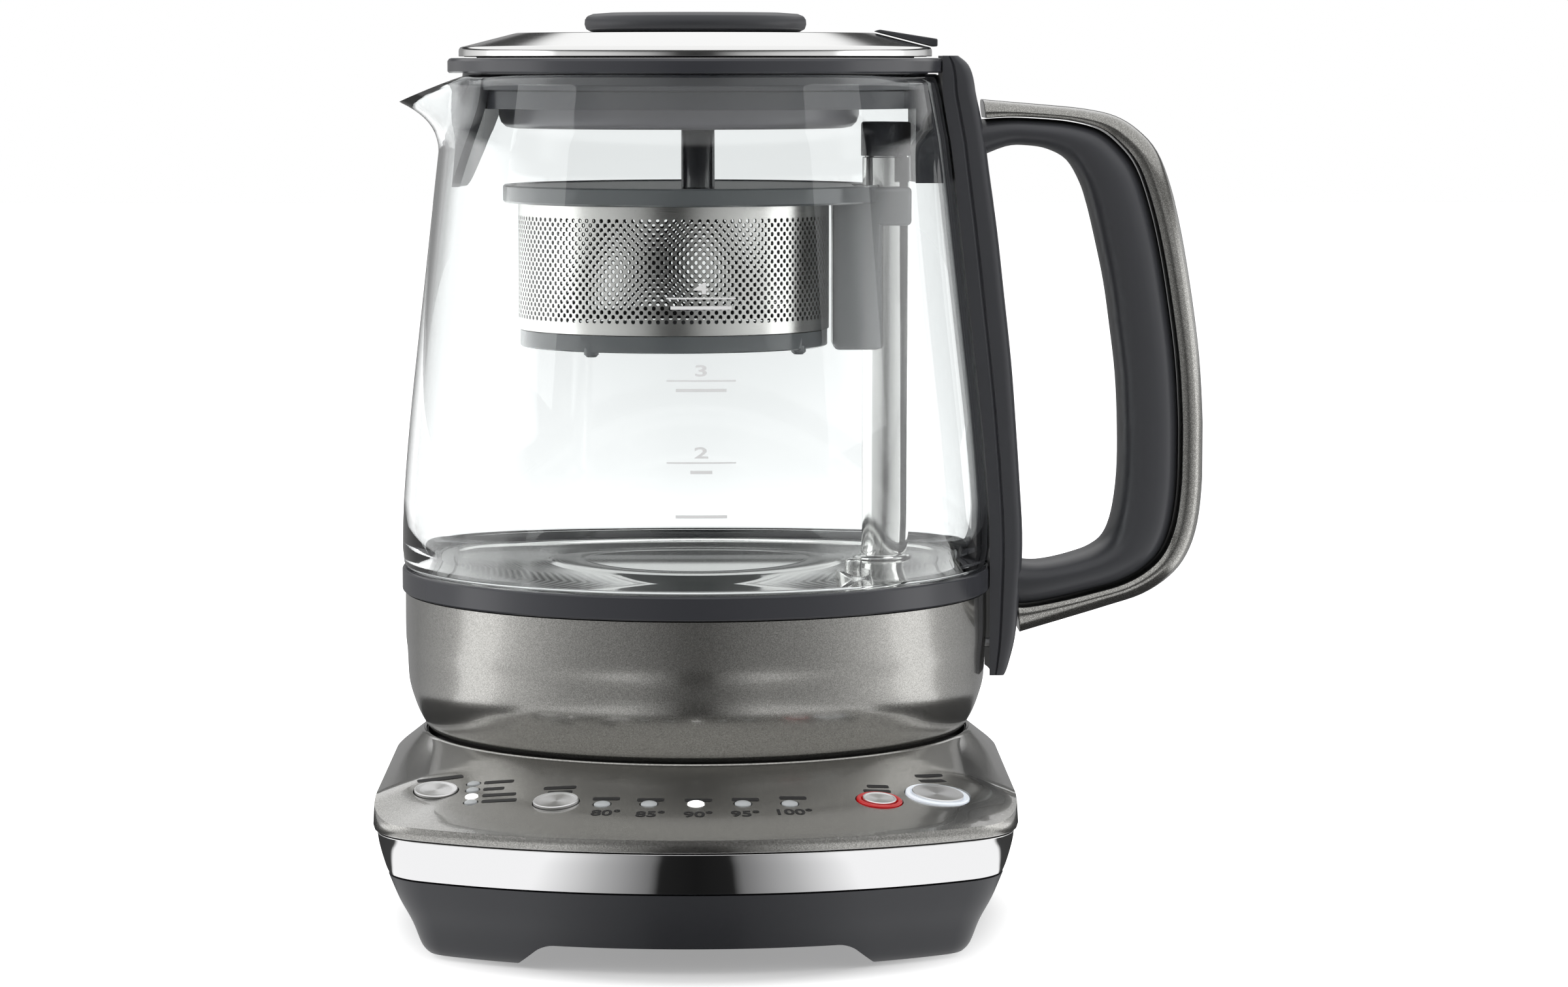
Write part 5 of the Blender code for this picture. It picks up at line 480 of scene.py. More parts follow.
@dataclass(frozen=True)
class SieveSteel(BrushedMetal):
    """Perforated sheet brushed round the sleeve; its inner wall carries a dark painted shade, so that the
    holes read dark.
    """

    centre: tuple[float, float, float] = (0.0, 0.0, 0.0)
    middle_radius: float = 39.9
    # Colour of the sleeve's inner wall: painted shade that makes the holes read dark
    inner: str = "#2E2D2C"

    def pattern(self, tree: Tree, shader: Node, place: Socket) -> None:
        """Brush the sheet, and colour it by how far its surface lies off the sleeve's axis: painted shade
        inside, the steel's own colour outside.
        """
        super().pattern(tree, shader, place)
        moved = add_node(
            tree, "ShaderNodeMapping",
            {"Location": tuple(-c for c in self.centre), "Scale": (1.0, 1.0, 0.0), "Vector": place},
        )
        away = add_node(tree, "ShaderNodeVectorMath", {"operation": "LENGTH", "0": moved.outputs["Vector"]})
        outside = add_node(
            tree, "ShaderNodeMapRange",
            {"From Min": (self.middle_radius - 0.1) * MM, "From Max": (self.middle_radius + 0.1) * MM,
             "Value": away.outputs["Value"]},
        )
        # Painted shade: the inner wall takes the dark colour, the outer face the steel's own
        ramp = add_node(
            tree, "ShaderNodeValToRGB", {"Fac": outside.outputs["Result"]},
            {"Color": shader.inputs["Base Color"]},
        )
        stops = ramp.color_ramp.elements
        stops[0].color, stops[1].color = linear(self.inner), linear(self.colour)


@dataclass(frozen=True)
class Glass(Finish):
    """Blown borosilicate: clear, with the faintest waviness of the wall."""

    wave: float = 9.0

    def pattern(self, tree: Tree, shader: Node, place: Socket) -> None:
        """Let the wall wander by a hundredth of a millimetre."""
        swell = add_node(
            tree, "ShaderNodeTexNoise", {"Scale": 1.0 / (self.wave * MM), "Detail": 0.0, "Vector": place}
        )
        add_node(
            tree, "ShaderNodeBump",
            {"Strength": 0.06, "Distance": 0.05 * MM, "Height": swell.outputs["Fac"]},
            {"Normal": shader.inputs["Normal"]},
        )


@dataclass(frozen=True)
class Lamp(Finish):
    """Light guide with a lamp behind it: glows evenly under a slightly uneven gloss."""

    glow: float = 0.0
    glow_colour: str = "#FFFFFF"

    def pattern(self, tree: Tree, shader: Node, place: Socket) -> None:
        """Set the glow, and cloud the gloss a little."""
        super().pattern(tree, shader, place)
        shader.inputs["Emission Color"].default_value = linear(self.glow_colour)
        shader.inputs["Emission Strength"].default_value = self.glow


@dataclass(frozen=True)
class Board(Finish):
    """Glass-epoxy circuit board: green solder mask over a maze of copper tracks."""

    track: str = "#2C6B45"
    track_pitch: float = 3.0

    def pattern(self, tree: Tree, shader: Node, place: Socket) -> None:
        """Draw blocky tracks about 1.5 mm wide."""
        cells = add_node(
            tree, "ShaderNodeTexVoronoi",
            {"distance": "CHEBYCHEV", "Scale": 1.0 / (self.track_pitch * MM), "Vector": place},
        )
        ramp = add_node(
            tree, "ShaderNodeValToRGB", {"Fac": cells.outputs["Distance"]},
            {"Color": shader.inputs["Base Color"]},
        )
        stops = ramp.color_ramp.elements
        stops[0].color, stops[1].color = linear(self.track), linear(self.colour)
        stops[0].position, stops[1].position = 0.28, 0.34


PEARL = PearlPaint("pearl_gunmetal_paint", "pearl_shell", "#A3A29E", 0.24, metallic=0.9, coat=1.0)
# Darker copy of the pearl paint: painted shade on the handle's strap
PEARL_STRAP_PAINTED_SHADE = PearlPaint("pearl_strap_painted_shade", "pearl_shell", "#7C7B77", 0.24, metallic=0.9, coat=1.0)
DARK_ABS = SatinMoulding("dark_grey_satin_abs", "dark_plastic", "#393A3E", 0.42)
# Lighter copy of the dark satin ABS: painted light on the handle's spine and grip
HANDLE_ABS_PAINTED_LIGHT = SatinMoulding("handle_satin_abs_painted_light", "dark_plastic", "#47484C", 0.38)
DARK_GLOSS_ABS = SatinMoulding("dark_grey_gloss_abs", "dark_plastic", "#3E3F44", 0.24, depth=0.005)
GREY_ABS = SatinMoulding("mid_grey_satin_abs", "dark_plastic", "#66656B", 0.32)
BLACK_NYLON = SatinMoulding("black_filled_nylon", "black_plastic", "#17181A", 0.45)
POLISHED_STEEL = Finish("polished_steel_band", "polished_band", "#F2F2F3", 0.07, metallic=1.0)
POST_STEEL = BrushedMetal("drawn_post_tube", "post_steel", "#DCDCDA", 0.08, metallic=1.0)
SENSOR_STEEL = BrushedMetal("sensor_steel", "post_steel", "#CFCFCD", 0.25, metallic=1.0)
ELEMENT_STEEL = BrushedMetal("heater_sheath_steel", "heater_steel", "#B9B7B1", 0.35, metallic=1.0)
SCREW_STEEL = BrushedMetal("zinc_plated_screw", "screw_steel", "#B4B5B7", 0.30, metallic=1.0)
BRASS = TurnedMetal("free_cutting_brass", "drive_brass", "#C9A45A", 0.25, metallic=1.0)
JUG_GLASS = Glass("borosilicate_glass", "jug_glass", "#F8FAFA", 0.0, ior=1.47, transmission=1.0)
SMOKED = Glass("smoked_copolyester", "smoked_plastic", "#6E7173", 0.14, ior=1.55, transmission=0.2, wave=4.0)
SMOKED_LID = Glass(
    "smoked_lid_copolyester", "smoked_plastic", "#35363A", 0.15, ior=1.55, transmission=0.15, wave=4.0
)
SILICONE = SatinMoulding("clear_silicone", "silicone", "#BDBEBE", 0.45, transmission=0.3, ior=1.43)
FOOT_RUBBER = SatinMoulding("grey_foot_rubber", "foot_rubber", "#333435", 0.75, grain=0.8, depth=0.03)
BOARD = Board("green_circuit_board", "circuit_board", "#1D4A2F", 0.40)
CLEAR_LENS = Lamp("clear_dome_lens", "clear_lens", "#DDE1E3", 0.12, transmission=0.25)
LIT_LENS = Lamp("lit_dome_lens", "clear_lens", "#FFFFFF", 0.15, glow=1.2)
RED_RING = Lamp("red_light_ring", "red_light", "#C4141A", 0.20, coat=0.4, glow=0.12, glow_colour="#FF1010")
WHITE_RING = Lamp(
    "white_light_ring", "white_light", "#F2F6FA", 0.20, coat=0.4, glow=0.35, glow_colour="#EAF3FF"
)
BLACK_INK = SatinMoulding("black_pad_print", "pearl_shell", "#1B1B1C", 0.55)
WHITE_INK = SatinMoulding("white_glass_enamel", "jug_glass", "#FFFFFF", 0.50)


# Workbench


@dataclass
class Workbench:
    """Turns shapes in millimetres round the jug's axis into finished pieces in the model's frame."""

    axis: Vector
    made: int = 0

    @property
    def placing(self) -> Matrix:
        """Matrix from millimetres round the jug's axis to metres in the model's frame."""
        return Matrix.Translation(self.axis) @ Matrix.Scale(MM, 4)

    def world(self, x: float, y: float, z: float) -> tuple[float, float, float]:
        """Place in the model's frame of a point given in millimetres."""
        return tuple(self.placing @ Vector((x, y, z)))

    def thing(self, name: str, bm: Shape) -> Thing:
        """Link a shape as an object, still in millimetres."""
        bmesh.ops.recalc_face_normals(bm, faces=bm.faces)
        mesh = bpy.data.meshes.new(name)
        bm.to_mesh(mesh)
        bm.free()
        item = bpy.data.objects.new(name, mesh)
        bpy.context.scene.collection.objects.link(item)
        return item

    def carve(self, item: Thing, tools: Tools) -> Thing:
        """Cut tools out of a piece, or join them to it.

        Args:
            item: Piece that changes.
            tools: What each tool does, and its shape.

        Returns:
            The same piece.
        """
        helpers = []
        for kind, shape in tools:
            helper = self.thing("tool", shape)
            change = item.modifiers.new("tool", "BOOLEAN")
            change.operation, change.solver, change.object = kind.value, "EXACT", helper
            helpers.append(helper)
        self.bake(item)
        for helper in helpers:
            bpy.data.objects.remove(helper)
        return item

    def bake(self, item: Thing) -> None:
        """Apply an object's modifiers to its mesh."""
        bpy.context.view_layer.update()
        graph = bpy.context.evaluated_depsgraph_get()
        baked = bpy.data.meshes.new_from_object(item.evaluated_get(graph))
        item.modifiers.clear()
        item.data = baked

    def dress(
        self,
        item: Thing,
        finish: Finish,
        body: Body,
        stands_for: Sequence[str] = (),
        rounding: float = 0.0,
        sharp: float = 32.0,
    ) -> None:
        """Place a piece in the model's frame, and give it its surface, its finish and the body it rides on.

        Args:
            item: Piece, in millimetres round the jug's axis.
            finish: Its finish.
            body: Body that it moves with.
            stands_for: CAD nodes that it replaces.
            rounding: Width of the rounding on its edges, in millimetres.
            sharp: Angle above which an edge stays sharp, in degrees.
        """
        item.data.transform(self.placing)
        item.data.shade_smooth()
        item.data.set_sharp_from_angle(angle=math.radians(sharp))
        if rounding > 0.0:
            soft = item.modifiers.new("rounding", "BEVEL")
            soft.width, soft.segments, soft.limit_method = rounding * MM, 3, "ANGLE"
            soft.angle_limit = math.radians(sharp)
            soft.harden_normals = True
        item.data.materials.clear()
        item.data.materials.append(finish.material())
        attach(item, body.value)
        if stands_for:
            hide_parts(*stands_for)
        self.made += 1
        LOG.info("%s: %s on %s", item.name, finish.name, body.value)

    def piece(
        self,
        name: str,
        bm: Shape,
        finish: Finish,
        body: Body,
        stands_for: Sequence[str] = (),
        rounding: float = 0.0,
        tools: Tools = (),
    ) -> None:
        """Make a finished piece straight from a shape and the tools that carve it; see dress for the rest."""
        item = self.thing(name, bm)
        if tools:
            self.carve(item, tools)
        self.dress(item, finish, body, stands_for, rounding)

    def written(self, name: str, text: str, height: float, wide: float, bend: Bend) -> Thing:
        """Write a number as a mesh.

        Args:
            name: Name of the piece.
            text: What it says.
            height: Height of its capitals in millimetres.
            wide: Stretch of its width.
            bend: Where a point of the flat text, in millimetres from its middle, goes on the object.

        Returns:
            The text as an object, in millimetres round the jug's axis.
        """
        curve = bpy.data.curves.new(name, "FONT")
        curve.body, curve.size = text, height / 0.72
        curve.align_x, curve.align_y = "CENTER", "CENTER"
        curve.offset = height * 0.03
        flat = bpy.data.objects.new(name, curve)
        bpy.context.scene.collection.objects.link(flat)
        bpy.context.view_layer.update()
        mesh = bpy.data.meshes.new_from_object(flat.evaluated_get(bpy.context.evaluated_depsgraph_get()))
        bpy.data.objects.remove(flat)
        bpy.data.curves.remove(curve)
        bm = bmesh.new()
        bm.from_mesh(mesh)
        bpy.data.meshes.remove(mesh)
        for vert in bm.verts:
            vert.co = bend(Vector((vert.co.x * wide, vert.co.y, 0.0)))
        return self.thing(name, bm)


# Base


@dataclass
class PowerBase:
    """Power base: dark tray, polished band and pearl cover with the jug's seat and the control panel."""

    bench: Workbench
    half_width: float = 78.5
    front_reach: float = 122.0
    front_radius: float = 130.0
    corner_radius: float = 22.0
    wall: float = 2.2
    foot_height: float = 1.0
    arch_height: float = 6.6
    arch_slant: float = 8.0
    tray_top: float = 20.6
    band_bottom: float = 20.9
    band_top: float = 31.0
    band_depth: float = 5.2
    cover_bottom: float = 31.3
    cover_edge: float = 32.8
    cover_front_top: float = 34.5
    cover_side_top: float = 39.0
    cover_inset: float = 3.1
    skin_inset: float = 0.3
    seat_floor: float = 39.7
    seat_rim: float = 44.6
    seat_radius: float = 70.4
    rim_width: float = 1.0
    connector_bore: float = 13.8
    # Step outwards from the seat's wall, and rise over its rim
    rim_round: tuple[Place, ...] = ((1.0, -0.05), (0.75, 0.25), (0.4, 0.3), (0.1, 0.1), (0.0, -0.3))
    # Share of the run from the rim outwards, and share of the drop to the edge there
    panel_fall: tuple[Place, ...] = ((0.0, 0.0), (0.8, 0.76), (0.95, 0.93), (1.0, 1.0))
    skin_shares: tuple[float, ...] = (
        0.985, 0.97, 0.95, 0.91, 0.87, 0.83, 0.78, 0.70, 0.6, 0.45, 0.3, 0.15, 0.04,
    )
    # Height, and inset from the widest outline
    tray_sides: tuple[Place, ...] = ((1.0, 13.6), (3.2, 11.6), (8.8, 9.34), (14.5, 6.27), (20.6, 3.7))
    band_sides: tuple[Place, ...] = ((20.9, 3.8), (22.6, 3.05), (25.6, 2.1), (28.6, 1.35), (31.0, 1.0))
    # Half width at the front and at the back, and turn, of each arch
    arches: tuple[tuple[float, float, float], ...] = ((46.0, 30.0, 0.0), (46.0, 46.0, 90.0))
    feet: tuple[tuple[str, float, float], ...] = (
        ("front_left", -53.5, -83.0), ("front_right", 53.5, -83.0),
        ("rear_left", -40.3, 40.3), ("rear_right", 40.3, 40.3),
    )
    screws: tuple[Place, ...] = ((-50.0, -45.0), (50.0, -45.0), (-50.0, 5.0), (50.0, 5.0))

    def outline(self, inset: float) -> list[Vector]:
        """Plan line of the base less an inset: a round back, straight sides and a bowed front."""
        corner_x = self.half_width - self.corner_radius
        front_y = self.front_radius - self.front_reach
        corner_y = front_y - math.sqrt((self.front_radius - self.corner_radius) ** 2 - corner_x**2)
        turn = math.degrees(math.atan2(front_y - corner_y, corner_x))
        back = arc(self.half_width - inset, 0.0, 180.0, 96)
        left = arc(self.corner_radius - inset, 180.0, 180.0 + turn, 20, (-corner_x, corner_y))
        front = arc(self.front_radius - inset, 180.0 + turn, 360.0 - turn, 64, (0.0, front_y))
        right = arc(self.corner_radius - inset, 360.0 - turn, 360.0, 20, (corner_x, corner_y))
        side = [corner_y * i / 24 for i in range(1, 24)]
        left_side = [Vector((inset - self.half_width, y, 0.0)) for y in side]
        right_side = [Vector((self.half_width - inset, y, 0.0)) for y in reversed(side)]
        return back + left_side + left[:-1] + front + right[1:] + right_side

    def ring(self, inset: float, height: float) -> list[Vector]:
        """Outline at an inset and a height."""
        return at_height(self.outline(inset), height)

    def edge_height(self, point: Vector) -> float:
        """Height of the cover's upper edge: low along the front, high at the sides and the back."""
        start = self.corner_radius - self.front_reach + self.corner_radius
        share = min(max((start - point.y) / self.corner_radius, 0.0), 1.0)
        return between(self.cover_side_top, self.cover_front_top, share * share * (3.0 - 2.0 * share))

    def circle(self, radius: float, height: float) -> list[Vector]:
        """Circle round the jug's axis whose points face the outline's points."""
        return [p.normalized() * radius + UP * height for p in self.outline(0.0)]

    def skin(self, share: float, drop: float = 0.0) -> list[Vector]:
        """Ring of the cover's skin at a share of the run from the seat's rim to the edge."""
        fall = value_at(self.panel_fall, share)
        rim = self.circle(self.seat_radius + self.rim_width, self.seat_rim)
        ring = []
        for start, end in zip(rim, self.outline(self.skin_inset)):
            place = start.lerp(Vector((end.x, end.y, 0.0)), share)
            height = between(self.seat_rim, self.edge_height(end), fall) - drop
            ring.append(Vector((place.x, place.y, height)))
        return ring

    def skin_height(self, x: float, y: float) -> float:
        """Height of the cover's skin over a plan place."""
        out = Vector((x, y, 0.0))
        direction = out.normalized()
        inner = self.seat_radius + self.rim_width
        edge = max(self.outline(self.skin_inset), key=lambda p: p.normalized().dot(direction))
        share = (out.length - inner) / (edge.length - inner)
        return between(self.seat_rim, self.edge_height(edge), value_at(self.panel_fall, share))

    def skin_frame(self, x: float, y: float) -> Matrix:
        """Matrix at a place of the panel: X to the right, Y up the slope and Z out of the panel."""
        height, step = self.skin_height, 1.5
        across = Vector((2 * step, 0.0, height(x + step, y) - height(x - step, y))).normalized()
        uphill = Vector((0.0, 2 * step, height(x, y + step) - height(x, y - step))).normalized()
        normal = across.cross(uphill).normalized()
        uphill = normal.cross(across).normalized()
        facing = Matrix((across, uphill, normal)).transposed().to_4x4()
        return Matrix.Translation(Vector((x, y, height(x, y)))) @ facing

    def make_cover(self, holes: Sequence[tuple[Matrix, float]]) -> None:
        """Pearl cover with its front lip, convex flanks, seat for the jug and holes for the controls."""
        floor, under = self.seat_floor, self.seat_floor - self.wall
        rings = [self.ring(0.9, self.cover_bottom), self.ring(0.35, self.cover_bottom + 0.35)]
        rings += [self.ring(0.0, self.cover_edge), self.skin(1.0)]
        rings += [self.skin(share) for share in self.skin_shares]
        rings += [self.circle(self.seat_radius + out, self.seat_rim + rise) for out, rise in self.rim_round]
        rings += [self.circle(self.seat_radius, floor + 0.4), self.circle(self.seat_radius - 0.5, floor)]
        bore = self.connector_bore
        rings += [self.circle(bore + 0.4, floor), self.circle(bore, floor - 0.4), self.circle(bore, under)]
        rings += [self.circle(self.seat_radius + self.wall, under)]
        rings += [self.skin(0.1, self.wall), self.skin(0.8, self.wall)]
        rings += [self.ring(self.cover_inset, z) for z in (self.cover_edge, self.cover_bottom)]
        bores = [(Solver.CUT, moved(rod(radius, -6.0, 4.0, 48), frame)) for frame, radius in holes]
        shape = drawn_out(rings, closed=True)
        self.bench.piece("cover_shell", shape, PEARL, Body.BASE, ["base_cover"], tools=bores)

    def make_seat_shade(self) -> None:
        """Thin black piece in the seat, put there as painted shade for the dark gap under the jug."""
        # Black lining over the seat's floor and wall: painted shade of the gap under the jug
        line = [(14.6, 39.74), (69.8, 39.74), (70.25, 40.2), (70.25, 44.25), (70.0, 44.25), (70.0, 40.3)]
        line += [(69.7, 39.9), (14.6, 39.9)]
        self.bench.piece("painted_shade_seat_liner", spun(line, 144), BLACK_NYLON, Body.BASE)

    def make_band(self) -> None:
        """Polished band between tray and cover."""
        rings = [self.ring(inset, height) for height, inset in rounded_line(self.band_sides, 4)]
        rings += [self.ring(self.band_depth, z) for z in (self.band_top, self.band_bottom)]
        shape = drawn_out(rings, closed=True)
        self.bench.piece("polished_base_band", shape, POLISHED_STEEL, Body.BASE, ["base_chrome_band"], 0.25)

    def arch(self, half_front: float, half_back: float, turn: float) -> Shape:
        """Make the cutter of an arch under the tray.

        Args:
            half_front: Half its width at the front.
            half_back: Half its width at the back.
            turn: Degrees that it is turned by, to run across the tray, or 0 to run from front to back.

        Returns:
            The cutter, its upper edges rounded.
        """
        ends = []
        for along, half in ((-123.0, half_front), (80.0, half_back)):
            low, high = half + self.arch_slant / self.arch_height, half - self.arch_slant
            section = [(-low, -1.0), (low, -1.0), (high, self.arch_height), (-high, self.arch_height)]
            ends.append([Vector((x, along, z)) for x, z in section])
        cutter = drawn_out(ends)
        upper = [e for e in cutter.edges if all(v.co.z > 1.0 for v in e.verts)]
        bevel(cutter, [e for e in upper if abs(e.verts[0].co.y - e.verts[1].co.y) > 5.0], 2.5, 5)
        return turned(cutter, turn, "Z", (-21.5, -21.75, 0.0)) if turn else cutter

    def make_tray(self) -> None:
        """Dark tray on arched feet, with pockets for the feet, holes for the screws and one for the cord."""
        foot, top = self.tray_sides[0][1], self.tray_sides[-1][1] + self.wall
        rings = [self.ring(foot + 0.8, self.foot_height)]
        for height, inset in rounded_line(self.tray_sides, 4):
            rings.append(self.ring(inset, height + (0.4 if height < 1.1 else 0.0)))
        rings += [self.ring(top, self.tray_top), self.ring(top + 6.0, self.arch_height + self.wall)]
        cutters = [self.arch(*sizes) for sizes in self.arches]
        cutters += [rod(6.3, -1.0, 2.3, 48, (x, y)) for _, x, y in self.feet]
        cutters += [rod(1.6, 2.0, 10.0, 24, place) for place in self.screws]
        cutters.append(turned(rod(4.1, -15.0, 15.0, 32), -90.0, "X", (0.0, self.half_width, 15.0)))
        tools = [(Solver.CUT, cutter) for cutter in cutters]
        self.bench.piece("tray_shell", drawn_out(rings), DARK_ABS, Body.BASE, ["base_tray"], 0.35, tools)

    def make_feet(self) -> None:
        """Rubber feet with a rounded rim and a dished sole."""
        sole = [(0.0, 0.35), (3.4, 0.35), (3.9, 0.0), (5.4, 0.0), (6.0, 0.6), (6.0, 2.0), (0.0, 2.0)]
        for name, x, y in self.feet:
            foot = spun(sole, 48, (x, y))
            self.bench.piece(f"foot_{name}", foot, FOOT_RUBBER, Body.BASE, [f"rubber_foot_{name}"], 0.15)

    def make(self, holes: Sequence[tuple[Matrix, float]]) -> None:
        """Make every part of the base's case."""
        self.make_cover(holes)
        self.make_seat_shade()
        self.make_band()
        self.make_tray()
        self.make_feet()


@dataclass
class Button:
    """Round push button with a spun metal face."""

    node: str
    body: Body
    x: float
    y: float
    radius: float
    ring: float = 0.0
    ring_node: str = ""
    ring_finish: Finish = WHITE_RING


@dataclass
class ControlPanel:
    """Buttons, lenses, light rings and printed marks of the sloping panel."""

    bench: Workbench
    base: PowerBase
    gap: float = 0.3
    proud: float = 0.8
    dish: float = 0.3
    lens_depth: float = -2.4
    buttons: tuple[Button, ...] = (
        Button("strength_button", Body.STRENGTH, -63.6, -78.0, 5.35),
        Button("select_temp_button", Body.SELECT_TEMP, -33.8, -94.0, 5.5),
        Button("keep_warm_button", Body.KEEP_WARM, 44.4, -91.0, 4.1, 1.2, "keep_warm_light_ring", RED_RING),
        Button("start_cancel_button", Body.START, 58.9, -83.0, 6.4, 1.2, "start_light_ring", WHITE_RING),
    )
    strength_x: float = -54.6
    strength_ys: tuple[float, ...] = (-74.5, -79.5, -84.5, -89.0)
    strength_lens: float = 1.6
    temperature_xs: tuple[float, ...] = (-22.6, -11.3, 0.0, 11.3, 22.6)
    temperature_radius: float = 98.4
    temperature_lens: float = 2.0
    lit_lens: int = 2
    bar_depth: float = 2.0
    print_radius: float = 95.9
    # Number, plan X and turn of each temperature
    temperatures: tuple[tuple[str, float, float], ...] = (
        ("80°", -21.6, -6.4), ("85°", -10.9, -3.2), ("90°", 0.6, 0.0), ("95°", 11.9, 3.4),
        ("100°", 23.4, 6.8),
    )
    strength_widths: tuple[float, ...] = (7.4, 5.2, 8.3, 8.6)
    # Name, plan place, width and turn of each bar over a button
    titles: tuple[tuple[str, float, float, float, float], ...] = (
        ("strength_title", -63.0, -69.8, 11.6, 17.8), ("select_temp_title", -33.1, -83.6, 8.0, -5.0),
        ("select_temp_title_2", -33.0, -86.9, 6.0, -5.0), ("keep_warm_title", 44.4, -80.6, 5.4, 10.5),
        ("keep_warm_title_2", 44.1, -84.2, 6.8, 10.5), ("start_title", 57.4, -68.8, 7.0, 12.0),
        ("start_title_2", 57.8, -72.4, 8.2, 12.0),
    )

    def lens_places(self) -> list[tuple[str, float, float, float, bool]]:
        """Name, plan place, radius and whether it is lit, of every lens."""
        places = [
            (f"strength_lens_{i + 1}", self.strength_x, y, self.strength_lens, i == self.lit_lens)
            for i, y in enumerate(self.strength_ys)
        ]
        for i, x in enumerate(self.temperature_xs):
            y = -math.sqrt(self.temperature_radius**2 - x * x / 2)
            places.append((f"temperature_lens_{i + 1}", x, y, self.temperature_lens, i == self.lit_lens))
        return places

    def holes(self) -> list[tuple[Matrix, float]]:
        """Placing matrix and radius of every hole in the cover."""
        holes = []
        for button in self.buttons:
            extra = button.ring + self.gap if button.ring else 0.0
            holes.append((self.base.skin_frame(button.x, button.y), button.radius + extra + self.gap))
        for _, x, y, radius, _ in self.lens_places():
            holes.append((self.base.skin_frame(x, y), radius + self.gap))
        return holes

    def make_button(self, button: Button) -> None:
        """Make one button, and the light ring round it where it has one."""
        frame = self.base.skin_frame(button.x, button.y)
        r, top = button.radius, self.proud
        face = [(0.0, -2.6), (r, -2.6), (r, top - 0.2), (r - 0.15, top), (r - 0.45, top)]
        face += [(r * out, top - self.dish * (1.0 - out * out) - 0.1) for out in (0.85, 0.7, 0.5, 0.3)]
        face += [(0.0, top - self.dish - 0.15)]
        finish = TurnedMetal(
            f"spun_face_{button.node}", "button_steel", "#ECECEC", 0.38, metallic=1.0,
            centre=self.bench.world(*frame.translation), pitch=0.45, depth=0.03, contrast=0.08, lay=0.85,
        )
        cap = moved(spun(face, 72), frame)
        self.bench.piece(f"{button.node}_cap", cap, finish, button.body, [button.node])
        if button.ring:
            a, b = r + self.gap, r + self.gap + button.ring
            line = [(a, -2.0), (b, -2.0), (b, 0.2), (b - 0.25, 0.45), (a + 0.25, 0.45), (a, 0.2)]
            ring = moved(spun(line, 72), frame)
            name, nodes = f"{button.ring_node}_lens", [button.ring_node]
            self.bench.piece(name, ring, button.ring_finish, Body.BASE, nodes, 0.12)

    def make_lenses(self) -> None:
        """Domed lenses, the lit ones glowing, on the light guide of each row."""
        for name, x, y, radius, lit in self.lens_places():
            dome = [(0.0, self.lens_depth), (radius, self.lens_depth), (radius, 0.05)]
            dome += [(radius * math.cos(t), 0.05 + 0.55 * math.sin(t)) for t in (0.35, 0.7, 1.05, 1.3)]
            shape = moved(spun([*dome, (0.0, 0.6)], 40), self.base.skin_frame(x, y))
            self.bench.piece(name, shape, LIT_LENS if lit else CLEAR_LENS, Body.BASE)
        for group in ("strength", "temperature"):
            self.make_light_guide(group)

    def make_light_guide(self, group: str) -> None:
        """Bar under a row of lenses, reaching one lens radius past each end."""
        row = [place for place in self.lens_places() if place[0].startswith(group)]
        frames = [self.base.skin_frame(x, y) for _, x, y, _, _ in row]
        radius = row[0][3]
        along = (frames[-1].translation - frames[0].translation).normalized()
        aside = along.cross(UP).normalized() * radius
        low = Vector((0.0, 0.0, -1.2))
        rings = []
        for frame in frames:
            middle = frame @ Vector((0.0, 0.0, self.lens_depth))
            rings.append([middle + aside, middle - aside, middle - aside + low, middle + aside + low])
        reach = (rings[-1][0] - rings[0][0]).normalized() * radius
        rings.insert(0, [point - reach for point in rings[0]])
        rings.append([point + reach for point in rings[-1]])
        name, nodes = f"{group}_light_guide", [f"{group}_light_bar"]
        self.bench.piece(name, drawn_out(rings), CLEAR_LENS, Body.BASE, nodes, 0.2)

    def turned_frame(self, x: float, y: float, turn: float) -> Matrix:
        """Frame of the panel at a plan place, turned in its plane by some degrees."""
        return self.base.skin_frame(x, y) @ Matrix.Rotation(math.radians(turn), 4, "Z")

    def bar(self, name: str, x: float, y: float, width: float, turn: float) -> None:
        """Print a plain rounded bar where the real one has a word."""
        shape = block((-width / 2, -self.bar_depth / 2, 0.02), (width / 2, self.bar_depth / 2, 0.08))
        uprights = [e for e in shape.edges if abs(e.verts[0].co.z - e.verts[1].co.z) > 0.01]
        bevel(shape, uprights, self.bar_depth * 0.3, 4)
        self.bench.piece(name, moved(shape, self.turned_frame(x, y, turn)), BLACK_INK, Body.BASE)

    def print_bow(self, x: float) -> float:
        """Plan Y of the row of marks over the temperature lenses."""
        return -math.sqrt(self.print_radius**2 - x * x)

    def make_print(self) -> None:
        """Numbers under the temperature lenses and plain bars in place of words."""
        for index, (text, x, turn) in enumerate(self.temperatures, 1):
            frame = self.turned_frame(x, self.print_bow(x) - 9.9, turn)
            label = self.bench.written(
                f"temperature_mark_{index}", text, 3.7, 1.0, lambda p, f=frame: f @ Vector((p.x, p.y, 0.07))
            )
            self.bench.dress(label, BLACK_INK, Body.BASE)
            self.bar(f"tea_mark_{index}", x, self.print_bow(x), 6.6, turn)
        for index, (y, width) in enumerate(zip(self.strength_ys, self.strength_widths), 1):
            self.bar(f"strength_mark_{index}", self.strength_x + 2.6 + width / 2, y - 0.6, width, -6.5)
        for name, x, y, width, turn in self.titles:
            self.bar(name, x, y, width, turn)

    def make(self) -> None:
        """Make every part of the panel."""
        for button in self.buttons:
            self.make_button(button)
        self.make_lenses()
        self.make_print()


# Jug


